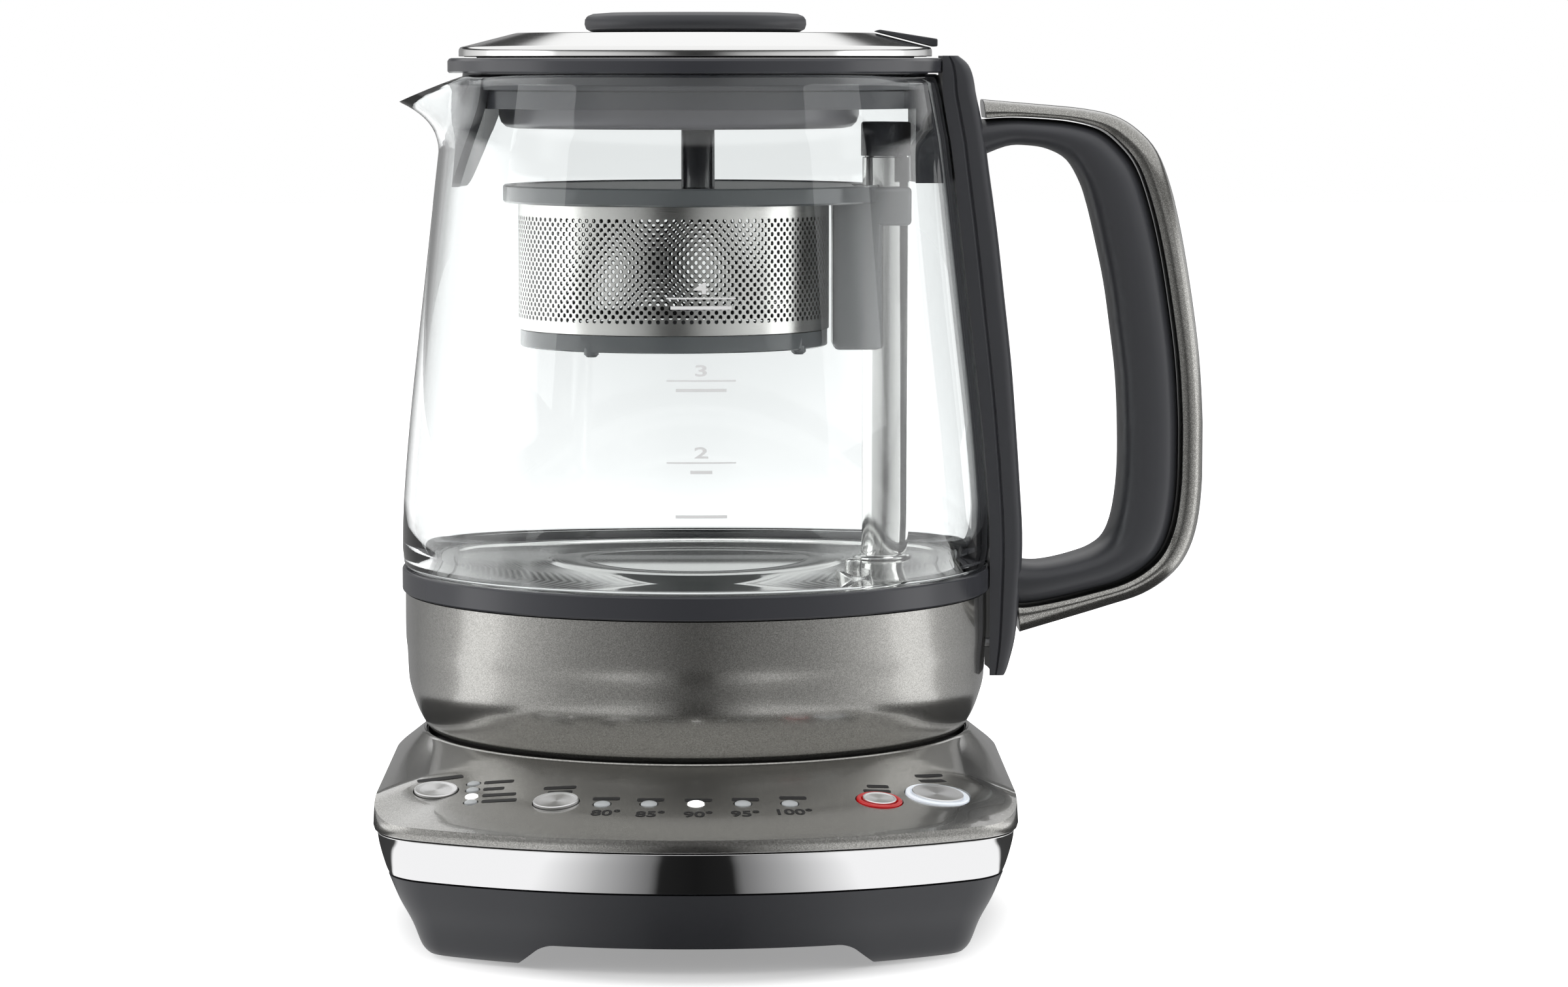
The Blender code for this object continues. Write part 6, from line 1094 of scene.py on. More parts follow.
@dataclass
class GlassJug:
    """Glass body, the pearl shell and band under it, the collar on it and the heater plate inside."""

    bench: Workbench
    belly_z: float = 92.0
    belly_radius: float = 76.3
    rim_radius: float = 63.0
    top_z: float = 213.9
    lip: float = 1.2
    wall: float = 2.5
    facets: int = 144
    spout_start: float = 194.0
    spout_reach: float = 14.0
    spout_drop: float = 7.0
    spout_half_angle: float = 25.0
    mark_shift: float = 1.4
    mark_lift: float = 0.06
    # Height share from the belly to the top, and share of the belly's swell left there
    swell: tuple[Place, ...] = (
        (0.0, 1.0), (0.10, 0.97), (0.28, 0.83), (0.56, 0.54), (0.837, 0.25), (0.89, 0.17), (0.945, 0.085),
        (1.0, 0.0),
    )
    shell_profile: tuple[Place, ...] = (
        (75.6, 80.5), (75.6, 70.0), (75.2, 65.0), (74.8, 57.9), (73.6, 53.2), (71.7, 48.5), (69.0, 44.5),
        (66.0, 42.2), (64.0, 41.5),
    )
    # Number, height and width of the bar of each cup mark
    cup_marks: tuple[tuple[str, float, float], ...] = (
        ("4", 161.8, 15.0), ("3", 141.8, 12.4), ("2", 121.9, 5.4),
    )

    def radius_at(self, z: float) -> float:
        """Outer radius of the glass at a height, away from the spout."""
        share = (z - self.belly_z) / (self.top_z - self.belly_z)
        return between(self.rim_radius, self.belly_radius, value_at(rounded_line(self.swell, 6), share))

    def ring(self, radius: float, z: float) -> list[Vector]:
        """Ring of the glass; above the spout's start it leans out and down round -X."""
        rise = max(0.0, (z - self.spout_start) / (self.top_z - self.spout_start))
        made = []
        for step in range(self.facets):
            angle = math.tau * step / self.facets
            away = abs(math.remainder(angle - math.pi, math.tau)) / math.radians(self.spout_half_angle)
            spout = math.cos(min(away, 1.0) * math.pi / 2) ** 2
            reach = radius + self.spout_reach * spout * rise**1.6
            height = z - self.spout_drop * spout * rise**1.7
            made.append(Vector((reach * math.cos(angle), reach * math.sin(angle), height)))
        return made

    def on_glass(self, z: float) -> Bend:
        """Bend that lays a flat mark round the front of the glass at a height."""
        def bend(point: Vector) -> Vector:
            """Lay one point of the mark on the glass."""
            height = z + point.y
            radius = self.radius_at(height) + self.mark_lift
            angle = -math.pi / 2 + (point.x + self.mark_shift) / radius
            return Vector((radius * math.cos(angle), radius * math.sin(angle), height))

        return bend

    def make_glass(self) -> None:
        """Glass body with a rounded rim and a pouring spout."""
        lip_z = self.top_z - self.lip
        heights = [between(self.belly_z, self.spout_start, i / 16) for i in range(17)]
        heights += [between(self.spout_start, lip_z, i / 10) for i in range(1, 11)]
        rim = self.radius_at(lip_z)
        line = [(73.1, 82.8), (73.1, 87.2), (75.4, 87.3), (75.9, 88.2)]
        line += [(self.radius_at(z), z) for z in heights]
        line += [(rim - 0.35, self.top_z - 0.35), (rim - 1.25, self.top_z), (rim - 2.15, self.top_z - 0.35)]
        line += [(self.radius_at(z) - self.wall, z) for z in reversed(heights[1:])]
        line += [(72.9, self.belly_z - 2.0), (71.4, 87.5), (70.8, 82.8)]
        glass = self.bench.thing("glass_body", drawn_out([self.ring(r, z) for r, z in line], closed=True))
        self.bench.dress(glass, JUG_GLASS, Body.JUG, ["glass_jug"], sharp=60.0)

    def make_marks(self) -> None:
        """Cup marks in white enamel: a number, a line and a plain bar each, and one bar below them all."""
        bars = [("cup_bar_heading", 106.5, 12.6, 0.8)]
        for text, z, bar in self.cup_marks:
            number = self.bench.written(f"cup_number_{text}", text, 2.7, 1.9, self.on_glass(z))
            self.bench.dress(number, WHITE_INK, Body.JUG)
            bars += [(f"cup_line_{text}", z - 2.3, 17.0, 0.4), (f"cup_bar_{text}", z - 4.6, bar, 0.8)]
        for name, z, width, height in bars:
            bar = bmesh.new()
            bmesh.ops.create_grid(bar, x_segments=24, y_segments=1, size=0.5)
            bmesh.ops.scale(bar, verts=bar.verts, vec=(width, height, 1.0))
            bend = self.on_glass(z)
            for vert in bar.verts:
                vert.co = bend(vert.co.copy())
            self.bench.piece(name, bar, WHITE_INK, Body.JUG)

    def make_shell(self) -> None:
        """Pearl shell, and the dark band that carries the glass."""
        line = rounded_line(self.shell_profile, 4) + [(58.0, 41.5), (58.0, 43.3)]
        line += [(radius - 1.8, max(z, 43.3)) for radius, z in reversed(self.shell_profile)]
        self.bench.piece("pearl_jug_shell", spun(line, 160), PEARL, Body.JUG, ["jug_shell"])
        band = [(70.0, 80.8), (76.0, 80.8), (76.4, 81.2), (76.4, 86.5), (76.0, 86.9), (74.0, 86.9)]
        band += [(74.0, 82.2), (70.0, 82.2)]
        self.bench.piece("dark_jug_band", spun(band, 160), DARK_GLOSS_ABS, Body.JUG, ["jug_band"], 0.2)

    def sector(self, reach: Place, middle: float, half: float, steps: int, z: float) -> list[Vector]:
        """Outline of a ring's sector from an outer to an inner radius at a height, its angles in degrees."""
        outer = arc(reach[0], middle - half, middle + half, steps)
        return at_height(outer + arc(reach[1], middle + half, middle - half, steps), z)

    def make_collar(self) -> None:
        """Dark collar over the rim, with its stepped skirt, spout guard and the bracket at the handle."""
        line = [(57.0, 205.0), (58.4, 205.0), (58.4, 209.4), (60.0, 209.8), (60.0, 214.2), (63.5, 214.2)]
        line += [(63.9, 214.6), (63.9, 217.2), (63.5, 217.8), (62.9, 218.0), (57.0, 218.0)]
        tongue = []
        for rise, wide in rounded_line(((0.0, 0.0), (0.08, 0.25), (0.35, 0.62), (0.7, 0.95), (1.0, 1.0)), 3):
            reach = (between(63.0, 60.0, rise), between(61.0, 58.0, rise))
            half, height = between(9.0, 29.0, wide), between(185.0, 214.2, rise)
            tongue.append(self.sector(reach, 180.0, half, 24, height))
        bracket = []
        for z in (186.0, 190.0, 200.0, 209.6):
            outer = min(self.radius_at(z) - self.wall - 0.6, 60.3 if z > 209.0 else 90.0)
            bracket.append(self.sector((outer, 57.3), 0.0, 12.0, 10, z))
        added = [(Solver.JOIN, drawn_out(rings)) for rings in (tongue, bracket)]
        collar = spun(line, 144)
        self.bench.piece("collar_ring", collar, DARK_GLOSS_ABS, Body.JUG, ["jug_collar"], 0.3, added)

    def make_heater(self) -> None:
        """Polished heater plate with its trough and its holes for the post and the sensor pin."""
        plate = [(0.0, 82.3), (68.6, 82.3), (68.6, 84.2), (68.4, 84.4), (65.6, 84.4), (64.9, 84.1)]
        plate += [(64.3, 83.5), (63.6, 83.4), (39.6, 83.4), (38.9, 83.5), (38.3, 84.0), (37.6, 84.2)]
        plate += [(30.0, 84.2), (29.4, 84.05), (28.8, 84.2), (0.0, 84.2)]
        bores = [(Solver.CUT, rod(r, 80.0, 90.0, 48, place)) for r, place in ((6.4, POST), (2.5, SENSOR))]
        finish = TurnedMetal(
            "polished_heater_steel", "heater_steel", "#DADAD8", 0.13, metallic=1.0,
            centre=self.bench.world(0.0, 0.0, 84.0), pitch=1.1, contrast=0.04,
        )
        self.bench.piece("heater_disc", spun(plate, 144), finish, Body.JUG, ["heater_plate"], tools=bores)
        pin = [(0.0, 79.3), (2.2, 79.3), (2.2, 83.7), (4.5, 83.7), (4.5, 84.4), (4.2, 84.7), (2.2, 84.7)]
        pin += [(2.2, 87.9), (2.0, 88.5), (1.5, 88.9), (0.8, 89.0), (0.0, 89.0)]
        shape = spun(pin, 48, SENSOR)
        self.bench.piece("sensor_pin", shape, SENSOR_STEEL, Body.JUG, ["temperature_sensor"], 0.12)

    def make(self) -> None:
        """Make every part of the jug's body."""
        self.make_glass()
        self.make_marks()
        self.make_shell()
        self.make_collar()
        self.make_heater()


@dataclass
class LiftPost:
    """Steel post that guides the basket, with its dark cap."""

    bench: Workbench
    radius: float = 6.1

    def make(self) -> None:
        """Make the post and its cap."""
        r = self.radius
        tube = [(4.9, 79.0), (r, 79.0), (r, 83.7), (8.0, 83.7), (8.0, 84.4), (7.4, 85.0), (r + 0.3, 85.0)]
        tube += [(r, 85.3), (r, 192.5), (5.5, 192.5), (5.5, 198.0), (4.9, 198.0)]
        self.bench.piece("post_tube", spun(tube, 72, POST), POST_STEEL, Body.JUG, ["post"], 0.15)
        cap = [(0.0, 198.3), (5.8, 198.3), (5.8, 192.8), (6.5, 192.8), (6.5, 201.0), (6.3, 201.4)]
        cap += [(5.9, 201.6), (0.0, 201.6)]
        self.bench.piece("post_top", spun(cap, 72, POST), DARK_GLOSS_ABS, Body.JUG, ["post_cap"], 0.1)


@dataclass
class LoopHandle:
    """Handle: dark spine along the jug, dark grip and the pearl strap over its outer side."""

    bench: Workbench
    jug: GlassJug
    reach: float = 131.4
    half_width: float = 12.5
    top: float = 208.0
    bottom: float = 68.0
    squareness: float = 0.72
    spine_half_width: float = 11.0
    spine_bottom: float = 58.7
    spine_top: float = 218.6
    spine_thickness: float = 8.6
    spine_corner: float = 2.4
    collar_radius: float = 64.2
    skirt_radius: float = 76.7
    glass_gap: float = 0.35
    strap_share: float = 0.38
    strap_thin: float = 0.10
    strap_half_width: float = 11.6
    # Height share between the spine's ends, and thickness share
    spine_shares: tuple[Place, ...] = (
        (0.0, 0.36), (0.015, 0.48), (0.06, 0.69), (0.13, 0.82), (0.21, 0.91), (0.30, 0.90), (0.40, 0.93),
        (0.51, 0.99), (0.62, 1.0), (0.72, 1.0), (0.82, 0.95), (0.90, 0.94), (0.955, 0.86), (0.985, 0.68),
        (1.0, 0.36),
    )
    # Outer reach and height share, inner reach and height share, half-width share
    stations: tuple[tuple[float, ...], ...] = (
        (0.525, 0.999, 0.548, 0.886, 0.80), (0.609, 0.992, 0.609, 0.909, 0.86),
        (0.685, 0.986, 0.651, 0.911, 0.92), (0.761, 0.979, 0.693, 0.904, 0.97),
        (0.822, 0.966, 0.731, 0.884, 1.0), (0.868, 0.940, 0.757, 0.843, 1.0),
        (0.906, 0.900, 0.772, 0.800, 1.0), (0.933, 0.836, 0.790, 0.729, 1.0),
        (0.955, 0.750, 0.806, 0.657, 1.0), (0.976, 0.636, 0.818, 0.579, 1.0),
        (0.992, 0.521, 0.830, 0.486, 1.0), (1.0, 0.400, 0.835, 0.386, 1.0),
        (1.0, 0.300, 0.834, 0.300, 1.0), (0.991, 0.214, 0.824, 0.229, 1.0),
        (0.970, 0.155, 0.807, 0.187, 1.0), (0.936, 0.114, 0.780, 0.166, 1.0),
        (0.883, 0.081, 0.746, 0.154, 0.98), (0.814, 0.059, 0.704, 0.144, 0.95),
        (0.731, 0.035, 0.666, 0.140, 0.90), (0.654, 0.013, 0.632, 0.146, 0.84),
        (0.609, 0.0, 0.601, 0.171, 0.80),
    )
    # Strap section: share of the depth outwards, and side share
    strap_section: tuple[Place, ...] = (
        (0.0, -0.94), (0.0, 0.94), (0.35, 1.0), (0.80, 0.84), (1.0, 0.45), (1.0, -0.45), (0.80, -0.84),
        (0.35, -1.0),
    )

    def spine_inner(self, z: float) -> float:
        """Radius that the spine's inner face follows: the collar's, the glass's or the band's."""
        if z > self.jug.top_z - 2.4:
            return self.collar_radius
        if z < self.jug.belly_z:
            return self.skirt_radius
        return max(self.jug.radius_at(z) + self.glass_gap, self.collar_radius)

    def spine_ring(self, z: float, thickness: float) -> list[Vector]:
        """Plan section of the spine, with a fine groove along each side."""
        radius, half = self.spine_inner(z), self.spine_half_width
        corner = min(self.spine_corner, thickness / 2)
        outer = radius + thickness
        ys = [between(-half, half, i / 12) for i in range(13)]
        inner = [Vector((math.sqrt(radius * radius - y * y), y, z)) for y in reversed(ys)]
        groove = [(0.34, 0.0), (0.40, 0.55), (0.46, 0.0)]
        side = [
            Vector((between(inner[-1].x, outer, share), -half + depth * min(1.0, thickness / 5), z))
            for share, depth in groove
        ]
        other = [Vector((p.x, -p.y, z)) for p in reversed(side)]
        lower = at_height(arc(corner, -90.0, 0.0, 8, (outer - corner, -half + corner)), z)
        upper = at_height(arc(corner, 0.0, 90.0, 8, (outer - corner, half - corner)), z)
        return side + lower + upper + other + inner

    def station(self, place: Sequence[float], position: float) -> tuple[Vector, Vector, float, float]:
        """Outer point, inner point, half-width and strap share of one station."""
        out_x, out_z, in_x, in_z, width = place
        outer = Vector((self.reach * min(out_x, 1.0), 0.0, between(self.bottom, self.top, out_z)))
        inner = Vector((self.reach * in_x, 0.0, between(self.bottom, self.top, in_z)))
        middle = abs(position / (len(self.stations) - 1) - 0.5) * 2
        share = self.strap_share - self.strap_thin * (1.0 - middle * middle)
        return outer, inner, self.half_width * width, share

    def grip_ring(self, outer: Vector, inner: Vector, half_width: float, share: float) -> list[Vector]:
        """Rounded section of the grip, between a rectangle and an ellipse."""
        seat = outer.lerp(inner, share)
        centre, reach = seat.lerp(inner, 0.5), (inner - seat) / 2
        ring = []
        for i in range(32):
            turn = math.tau * (i + 0.5) / 32
            along = math.copysign(abs(math.cos(turn)) ** self.squareness, math.cos(turn))
            across = math.copysign(abs(math.sin(turn)) ** self.squareness, math.sin(turn))
            ring.append(centre + reach * along + Vector((0.0, half_width * across, 0.0)))
        return ring

    def strap_ring(self, outer: Vector, inner: Vector, half_width: float, share: float) -> list[Vector]:
        """D-shaped section of the strap."""
        depth = (inner - outer).length
        seat = outer.lerp(inner, share - 0.3 / depth)
        width = half_width * self.strap_half_width / self.half_width
        section = rounded_line([*self.strap_section[1:], self.strap_section[0]], 4)
        return [seat.lerp(outer, min(out, 1.0)) + Vector((0.0, width * side, 0.0)) for out, side in section]

    def make(self) -> None:
        """Make the dark body, and the strap, which starts and ends a little inside the grip's ends."""
        height = self.spine_top - self.spine_bottom
        spine = [
            self.spine_ring(self.spine_bottom + height * up, self.spine_thickness * thick)
            for up, thick in rounded_line(self.spine_shares, 4)
        ]
        stops = [self.station(place, i / 4) for i, place in enumerate(rounded_line(self.stations, 4))]
        grip = [(Solver.JOIN, drawn_out([self.grip_ring(*stop) for stop in stops]))]
        body = drawn_out(spine)
        # The moulding's finish is a lighter copy of the dark ABS, which paints light onto the handle
        self.bench.piece("handle_moulding", body, HANDLE_ABS_PAINTED_LIGHT, Body.JUG, ["handle_body"], 0.3, grip)
        strap = drawn_out([self.strap_ring(*stop) for stop in stops[2:-3]])
        # The strap's finish is a darker copy of the pearl paint, which paints shade onto it
        self.bench.piece("handle_strap_cover", strap, PEARL_STRAP_PAINTED_SHADE, Body.JUG, ["handle_strap"], 0.4)


@dataclass
class JugLid:
    """Lid: polished cap, dark knob and plug, seal and thumb tab."""

    bench: Workbench

    def make(self) -> None:
        """Make every part of the lid."""
        cap = [(0.0, 223.4), (46.2, 223.4), (60.0, 219.5), (60.0, 218.4), (61.0, 218.4), (61.0, 219.8)]
        cap += [(60.9, 220.3), (60.6, 220.7), (60.1, 220.9), (59.5, 221.0), (46.8, 224.25), (46.0, 224.4)]
        cap.append((0.0, 224.4))
        finish = TurnedMetal(
            "polished_lid_cap", "lid_steel", "#EDEDEC", 0.09, metallic=1.0,
            centre=self.bench.world(0.0, 0.0, 222.0), pitch=0.8, depth=0.001, contrast=0.02,
        )
        self.bench.piece("lid_top", spun(cap, 160), finish, Body.LID, ["lid_cap"], 0.12)
        knob = [(0.0, 224.7), (26.9, 224.7), (28.2, 225.4), (28.6, 226.6), (28.5, 227.8), (27.9, 228.7)]
        knob += [(26.4, 229.3), (22.0, 229.62), (14.0, 229.7), (0.0, 229.7)]
        self.bench.piece("knob_disc", spun(knob, 128), DARK_ABS, Body.LID, ["lid_knob"], 0.25)
        plug = [(0.0, 207.0), (54.3, 207.0), (54.5, 207.3), (54.5, 214.3), (56.4, 214.3), (56.4, 218.3)]
        plug += [(59.7, 218.3), (59.7, 219.2), (45.9, 223.1), (0.0, 223.1)]
        dish = [(0.0, 200.0), (42.5, 200.0), (44.6, 200.4), (45.9, 201.6), (46.5, 203.4), (46.5, 208.0)]
        lower = [(Solver.JOIN, spun([*dish, (0.0, 208.0)], 144, (-4.3, 0.0)))]
        self.bench.piece("plug_moulding", spun(plug, 144), GREY_ABS, Body.LID, ["lid_plug"], 0.25, lower)
        seal = [(54.8, 211.0), (55.9, 211.0), (56.5, 211.7), (56.7, 212.5), (56.5, 213.3), (55.9, 214.0)]
        self.bench.piece("seal_lip", spun([*seal, (54.8, 214.0)], 144), SILICONE, Body.LID, ["lid_seal"])
        self.make_tab()

    def make_tab(self) -> None:
        """Wedge-shaped thumb tab over the cap's slope."""
        side = [(46.2, 224.85), (61.3, 220.95), (62.2, 220.95), (62.2, 222.9), (47.2, 225.3)]
        tab = drawn_out([[Vector((x, y, z)) for x, z in side] for y in (-7.0, 7.0)])
        self.bench.piece("thumb_tab", tab, DARK_ABS, Body.LID, ["lid_tab"], 0.35)


@dataclass
class TeaBasket:
    """Tea basket: perforated sleeve, smoked frame that rides on the post, foot ring and lid."""

    bench: Workbench
    centre: float = -5.7
    radius: float = 40.2
    sleeve_bottom: float = 148.5
    sleeve_top: float = 180.7
    sheet: float = 0.6
    sieve_bottom: float = 151.4
    sieve_top: float = 177.7
    columns: int = 240
    rows: int = 23
    web: float = 0.03
    hole_corner: float = 0.28
    rim_centre: float = -1.2
    rim_radius: float = 48.6
    grip_shift: float = 1.8
    grip_half_x: float = 4.25
    grip_half_y: float = 21.0
    feet: tuple[Place, ...] = ((-26.2, -32.2), (26.1, -21.2), (-26.2, 32.2), (26.1, 21.2))

    def sieve(self) -> Shape:
        """Sheet of the sleeve, one face thick, with staggered rows of 1 mm holes, 2.1 mm apart."""
        bm = bmesh.new()
        bmesh.ops.create_grid(bm, x_segments=self.columns, y_segments=self.rows, size=0.5)
        for vert in bm.verts:
            angle = math.tau * (vert.co.x + 0.5)
            height = between(self.sieve_bottom, self.sieve_top, vert.co.y + 0.5)
            vert.co = (self.radius * math.cos(angle), self.radius * math.sin(angle), height)
        bmesh.ops.remove_doubles(bm, verts=bm.verts, dist=1e-4)
        cell_x, cell_y = 1.0 / self.columns, 1.0 / self.rows
        holes = []
        for face in bm.faces:
            middle = face.calc_center_median()
            column = int((math.atan2(middle.y, middle.x) % math.tau) / math.tau / cell_x)
            row = int((middle.z - self.sieve_bottom) / (self.sieve_top - self.sieve_bottom) / cell_y)
            if (column + row) % 2 == 0:
                holes.append(face)
        bmesh.ops.inset_individual(bm, faces=holes, thickness=self.web, use_even_offset=True)
        corners = list({vert for face in holes for vert in face.verts})
        bmesh.ops.bevel(
            bm, geom=corners, offset=self.hole_corner, offset_type="OFFSET", segments=1, profile=0.5,
            affect="VERTICES", material=-1,
        )
        round_holes = [face for face in bm.faces if len(face.verts) == 8]
        bmesh.ops.delete(bm, geom=round_holes, context="FACES")
        return bm

    def hem(self, low: float, high: float) -> Shape:
        """Plain band of the sleeve between two heights, one face thick."""
        hem = bmesh.new()
        bmesh.ops.create_circle(hem, segments=self.columns, radius=self.radius)
        bmesh.ops.translate(hem, verts=hem.verts, vec=(0.0, 0.0, low))
        grown = bmesh.ops.extrude_edge_only(hem, edges=hem.edges[:])["geom"]
        upper = [item for item in grown if isinstance(item, bmesh.types.BMVert)]
        bmesh.ops.translate(hem, verts=upper, vec=(0.0, 0.0, high - low))
        return hem

    def make_sleeve(self) -> None:
        """Steel sleeve: the sieve between two plain hems, given the sheet's thickness."""
        bm = put_together(self.sieve(), self.hem(self.sleeve_bottom, self.sieve_bottom))
        bm = put_together(bm, self.hem(self.sieve_top, self.sleeve_top))
        bmesh.ops.remove_doubles(bm, verts=bm.verts, dist=1e-3)
        bmesh.ops.translate(bm, verts=bm.verts, vec=(self.centre, 0.0, 0.0))
        sleeve = self.bench.thing("sieve_sleeve", bm)
        wall = sleeve.modifiers.new("wall", "SOLIDIFY")
        wall.thickness, wall.offset = self.sheet, -1.0
        self.bench.bake(sleeve)
        x, y, _ = self.bench.world(self.centre, 0.0, 0.0)
        # The sieve's finish paints shade onto the sleeve's inner wall
        finish = SieveSteel(
            "perforated_sieve_steel_painted_shade", "basket_steel", "#E4E2DF", 0.22, metallic=1.0,
            stretch=(0.05, 0.05, 1.0), centre=(x, y, 0.0),
        )
        self.bench.dress(sleeve, finish, Body.BASKET, ["basket_sleeve"], sharp=40.0)

    def make_frame(self) -> None:
        """Smoked frame: rim, magnet housing and the fork that straddles the post."""
        r = self.rim_radius
        rim = [(40.6, 181.0), (r - 0.5, 181.0), (r, 181.5), (r, 185.1), (r - 0.4, 185.5), (r - 1.4, 185.5)]
        rim += [(r - 1.7, 185.2), (r - 1.7, 183.0), (40.6, 183.0)]
        tools = [
            (Solver.JOIN, block((35.3, -9.5, 143.0), (47.8, 9.5, 182.0), 1.5)),
            (Solver.JOIN, block((41.0, -9.5, 175.0), (55.4, 9.5, 185.0), 1.2)),
            (Solver.CUT, rod(6.4, 140.0, 190.0, 64, POST)),
            (Solver.CUT, block((POST[0], -6.4, 140.0), (58.0, 6.4, 190.0))),
        ]
        shape = spun(rim, 144, (self.rim_centre, 0.0))
        self.bench.piece("basket_carrier", shape, SMOKED, Body.BASKET, ["basket_frame"], tools=tools)

    def make_foot_ring(self) -> None:
        """Ring and floor under the sleeve, with four small feet."""
        line = [(0.0, 145.2), (36.9, 145.2), (36.9, 144.0), (39.5, 144.0), (39.8, 144.3), (39.8, 148.2)]
        line += [(36.9, 148.2), (36.9, 146.2), (0.0, 146.2)]
        foot = [(0.0, 142.7), (1.2, 142.75), (1.9, 143.4), (1.9, 145.0), (0.0, 145.0)]
        feet = [(Solver.JOIN, spun(foot, 24, place)) for place in self.feet]
        shape = spun(line, 144, (self.centre, 0.0))
        self.bench.piece("basket_foot", shape, SMOKED, Body.BASKET, ["basket_foot_ring"], tools=feet)

    def make_lid(self) -> None:
        """Basket lid with its blade-shaped grip, and a notch for the frame's fork."""
        disc = [(0.0, 183.3), (46.3, 183.3), (46.6, 183.6), (46.6, 184.9), (46.2, 185.2), (30.0, 185.2)]
        middle, half_x = self.rim_centre + self.grip_shift, self.grip_half_x
        rings = []
        for up, size in rounded_line(((0.0, 1.0), (0.55, 0.8), (0.9, 0.7), (1.0, 0.55)), 4):
            half_y = self.grip_half_y * (1.0 + size) / 2
            front = arc(half_x, 180.0, 360.0, 16, (middle, half_x - half_y))
            back = arc(half_x, 0.0, 180.0, 16, (middle, half_y - half_x))
            rings.append(at_height(front + back, between(184.2, 199.6, up)))
        notch = block((40.7, -9.8, 182.0), (56.0, 9.8, 187.0))
        tools = [(Solver.JOIN, drawn_out(rings)), (Solver.CUT, notch)]
        shape = spun([*disc, (0.0, 185.2)], 144, (self.rim_centre, 0.0))
        self.bench.piece("basket_cover", shape, SMOKED_LID, Body.BASKET_LID, ["basket_lid"], tools=tools)

    def make(self) -> None:
        """Make every part of the basket."""
        self.make_sleeve()
        self.make_frame()
        self.make_foot_ring()
        self.make_lid()


# Nodes that keep their CAD shapes


@dataclass
class CarriedNodes:
    """Finishes of the CAD nodes whose shapes stay as they are."""

    nodes: dict[str, Thing]
    finishes: tuple[tuple[Finish, tuple[str, ...]], ...] = (
        (SCREW_STEEL, (
            "base_screw_front_left", "base_screw_front_right", "base_screw_rear_left",
            "base_screw_rear_right", "lift_motor", "jug_screw_1", "jug_screw_2", "jug_screw_3",
            "handle_screw_lower", "basket_magnet", "lead_screw",
        )),
        (BLACK_NYLON, (
            "power_connector_base", "cord_gland", "jug_bottom_plate", "jug_connector", "jug_chassis",
        )),
        (BOARD, ("power_board", "control_board")),
        (ELEMENT_STEEL, ("heater_element",)),
        (SILICONE, ("glass_seal",)),
        (BRASS, ("lift_bearing", "lift_nut")),
    )

    def dress(self) -> None:
        """Give each node its finish."""
        for finish, names in self.finishes:
            for name in names:
                materials = self.nodes[name].data.materials
                materials.clear()
                materials.append(finish.material())
                LOG.info("%s: %s, CAD shape", name, finish.name)


# Studio


@dataclass(frozen=True)
class SoftLamp:
    """Soft rectangular lamp, aimed at a point; metal doesn't mirror it."""

    name: str
    place: tuple[float, float, float]
    aim: tuple[float, float, float]
    size: Place
    power: float

    def make(self) -> None:
        """Hang the lamp."""
        light = bpy.data.lights.new(self.name, "AREA")
        light.shape, light.energy = "RECTANGLE", self.power
        light.size, light.size_y = self.size
        lamp = bpy.data.objects.new(self.name, light)
        bpy.context.scene.collection.objects.link(lamp)
        lamp.visible_glossy = False
        lamp.location = self.place
        lamp.rotation_euler = (Vector(self.aim) - Vector(self.place)).to_track_quat("-Z", "Y").to_euler()


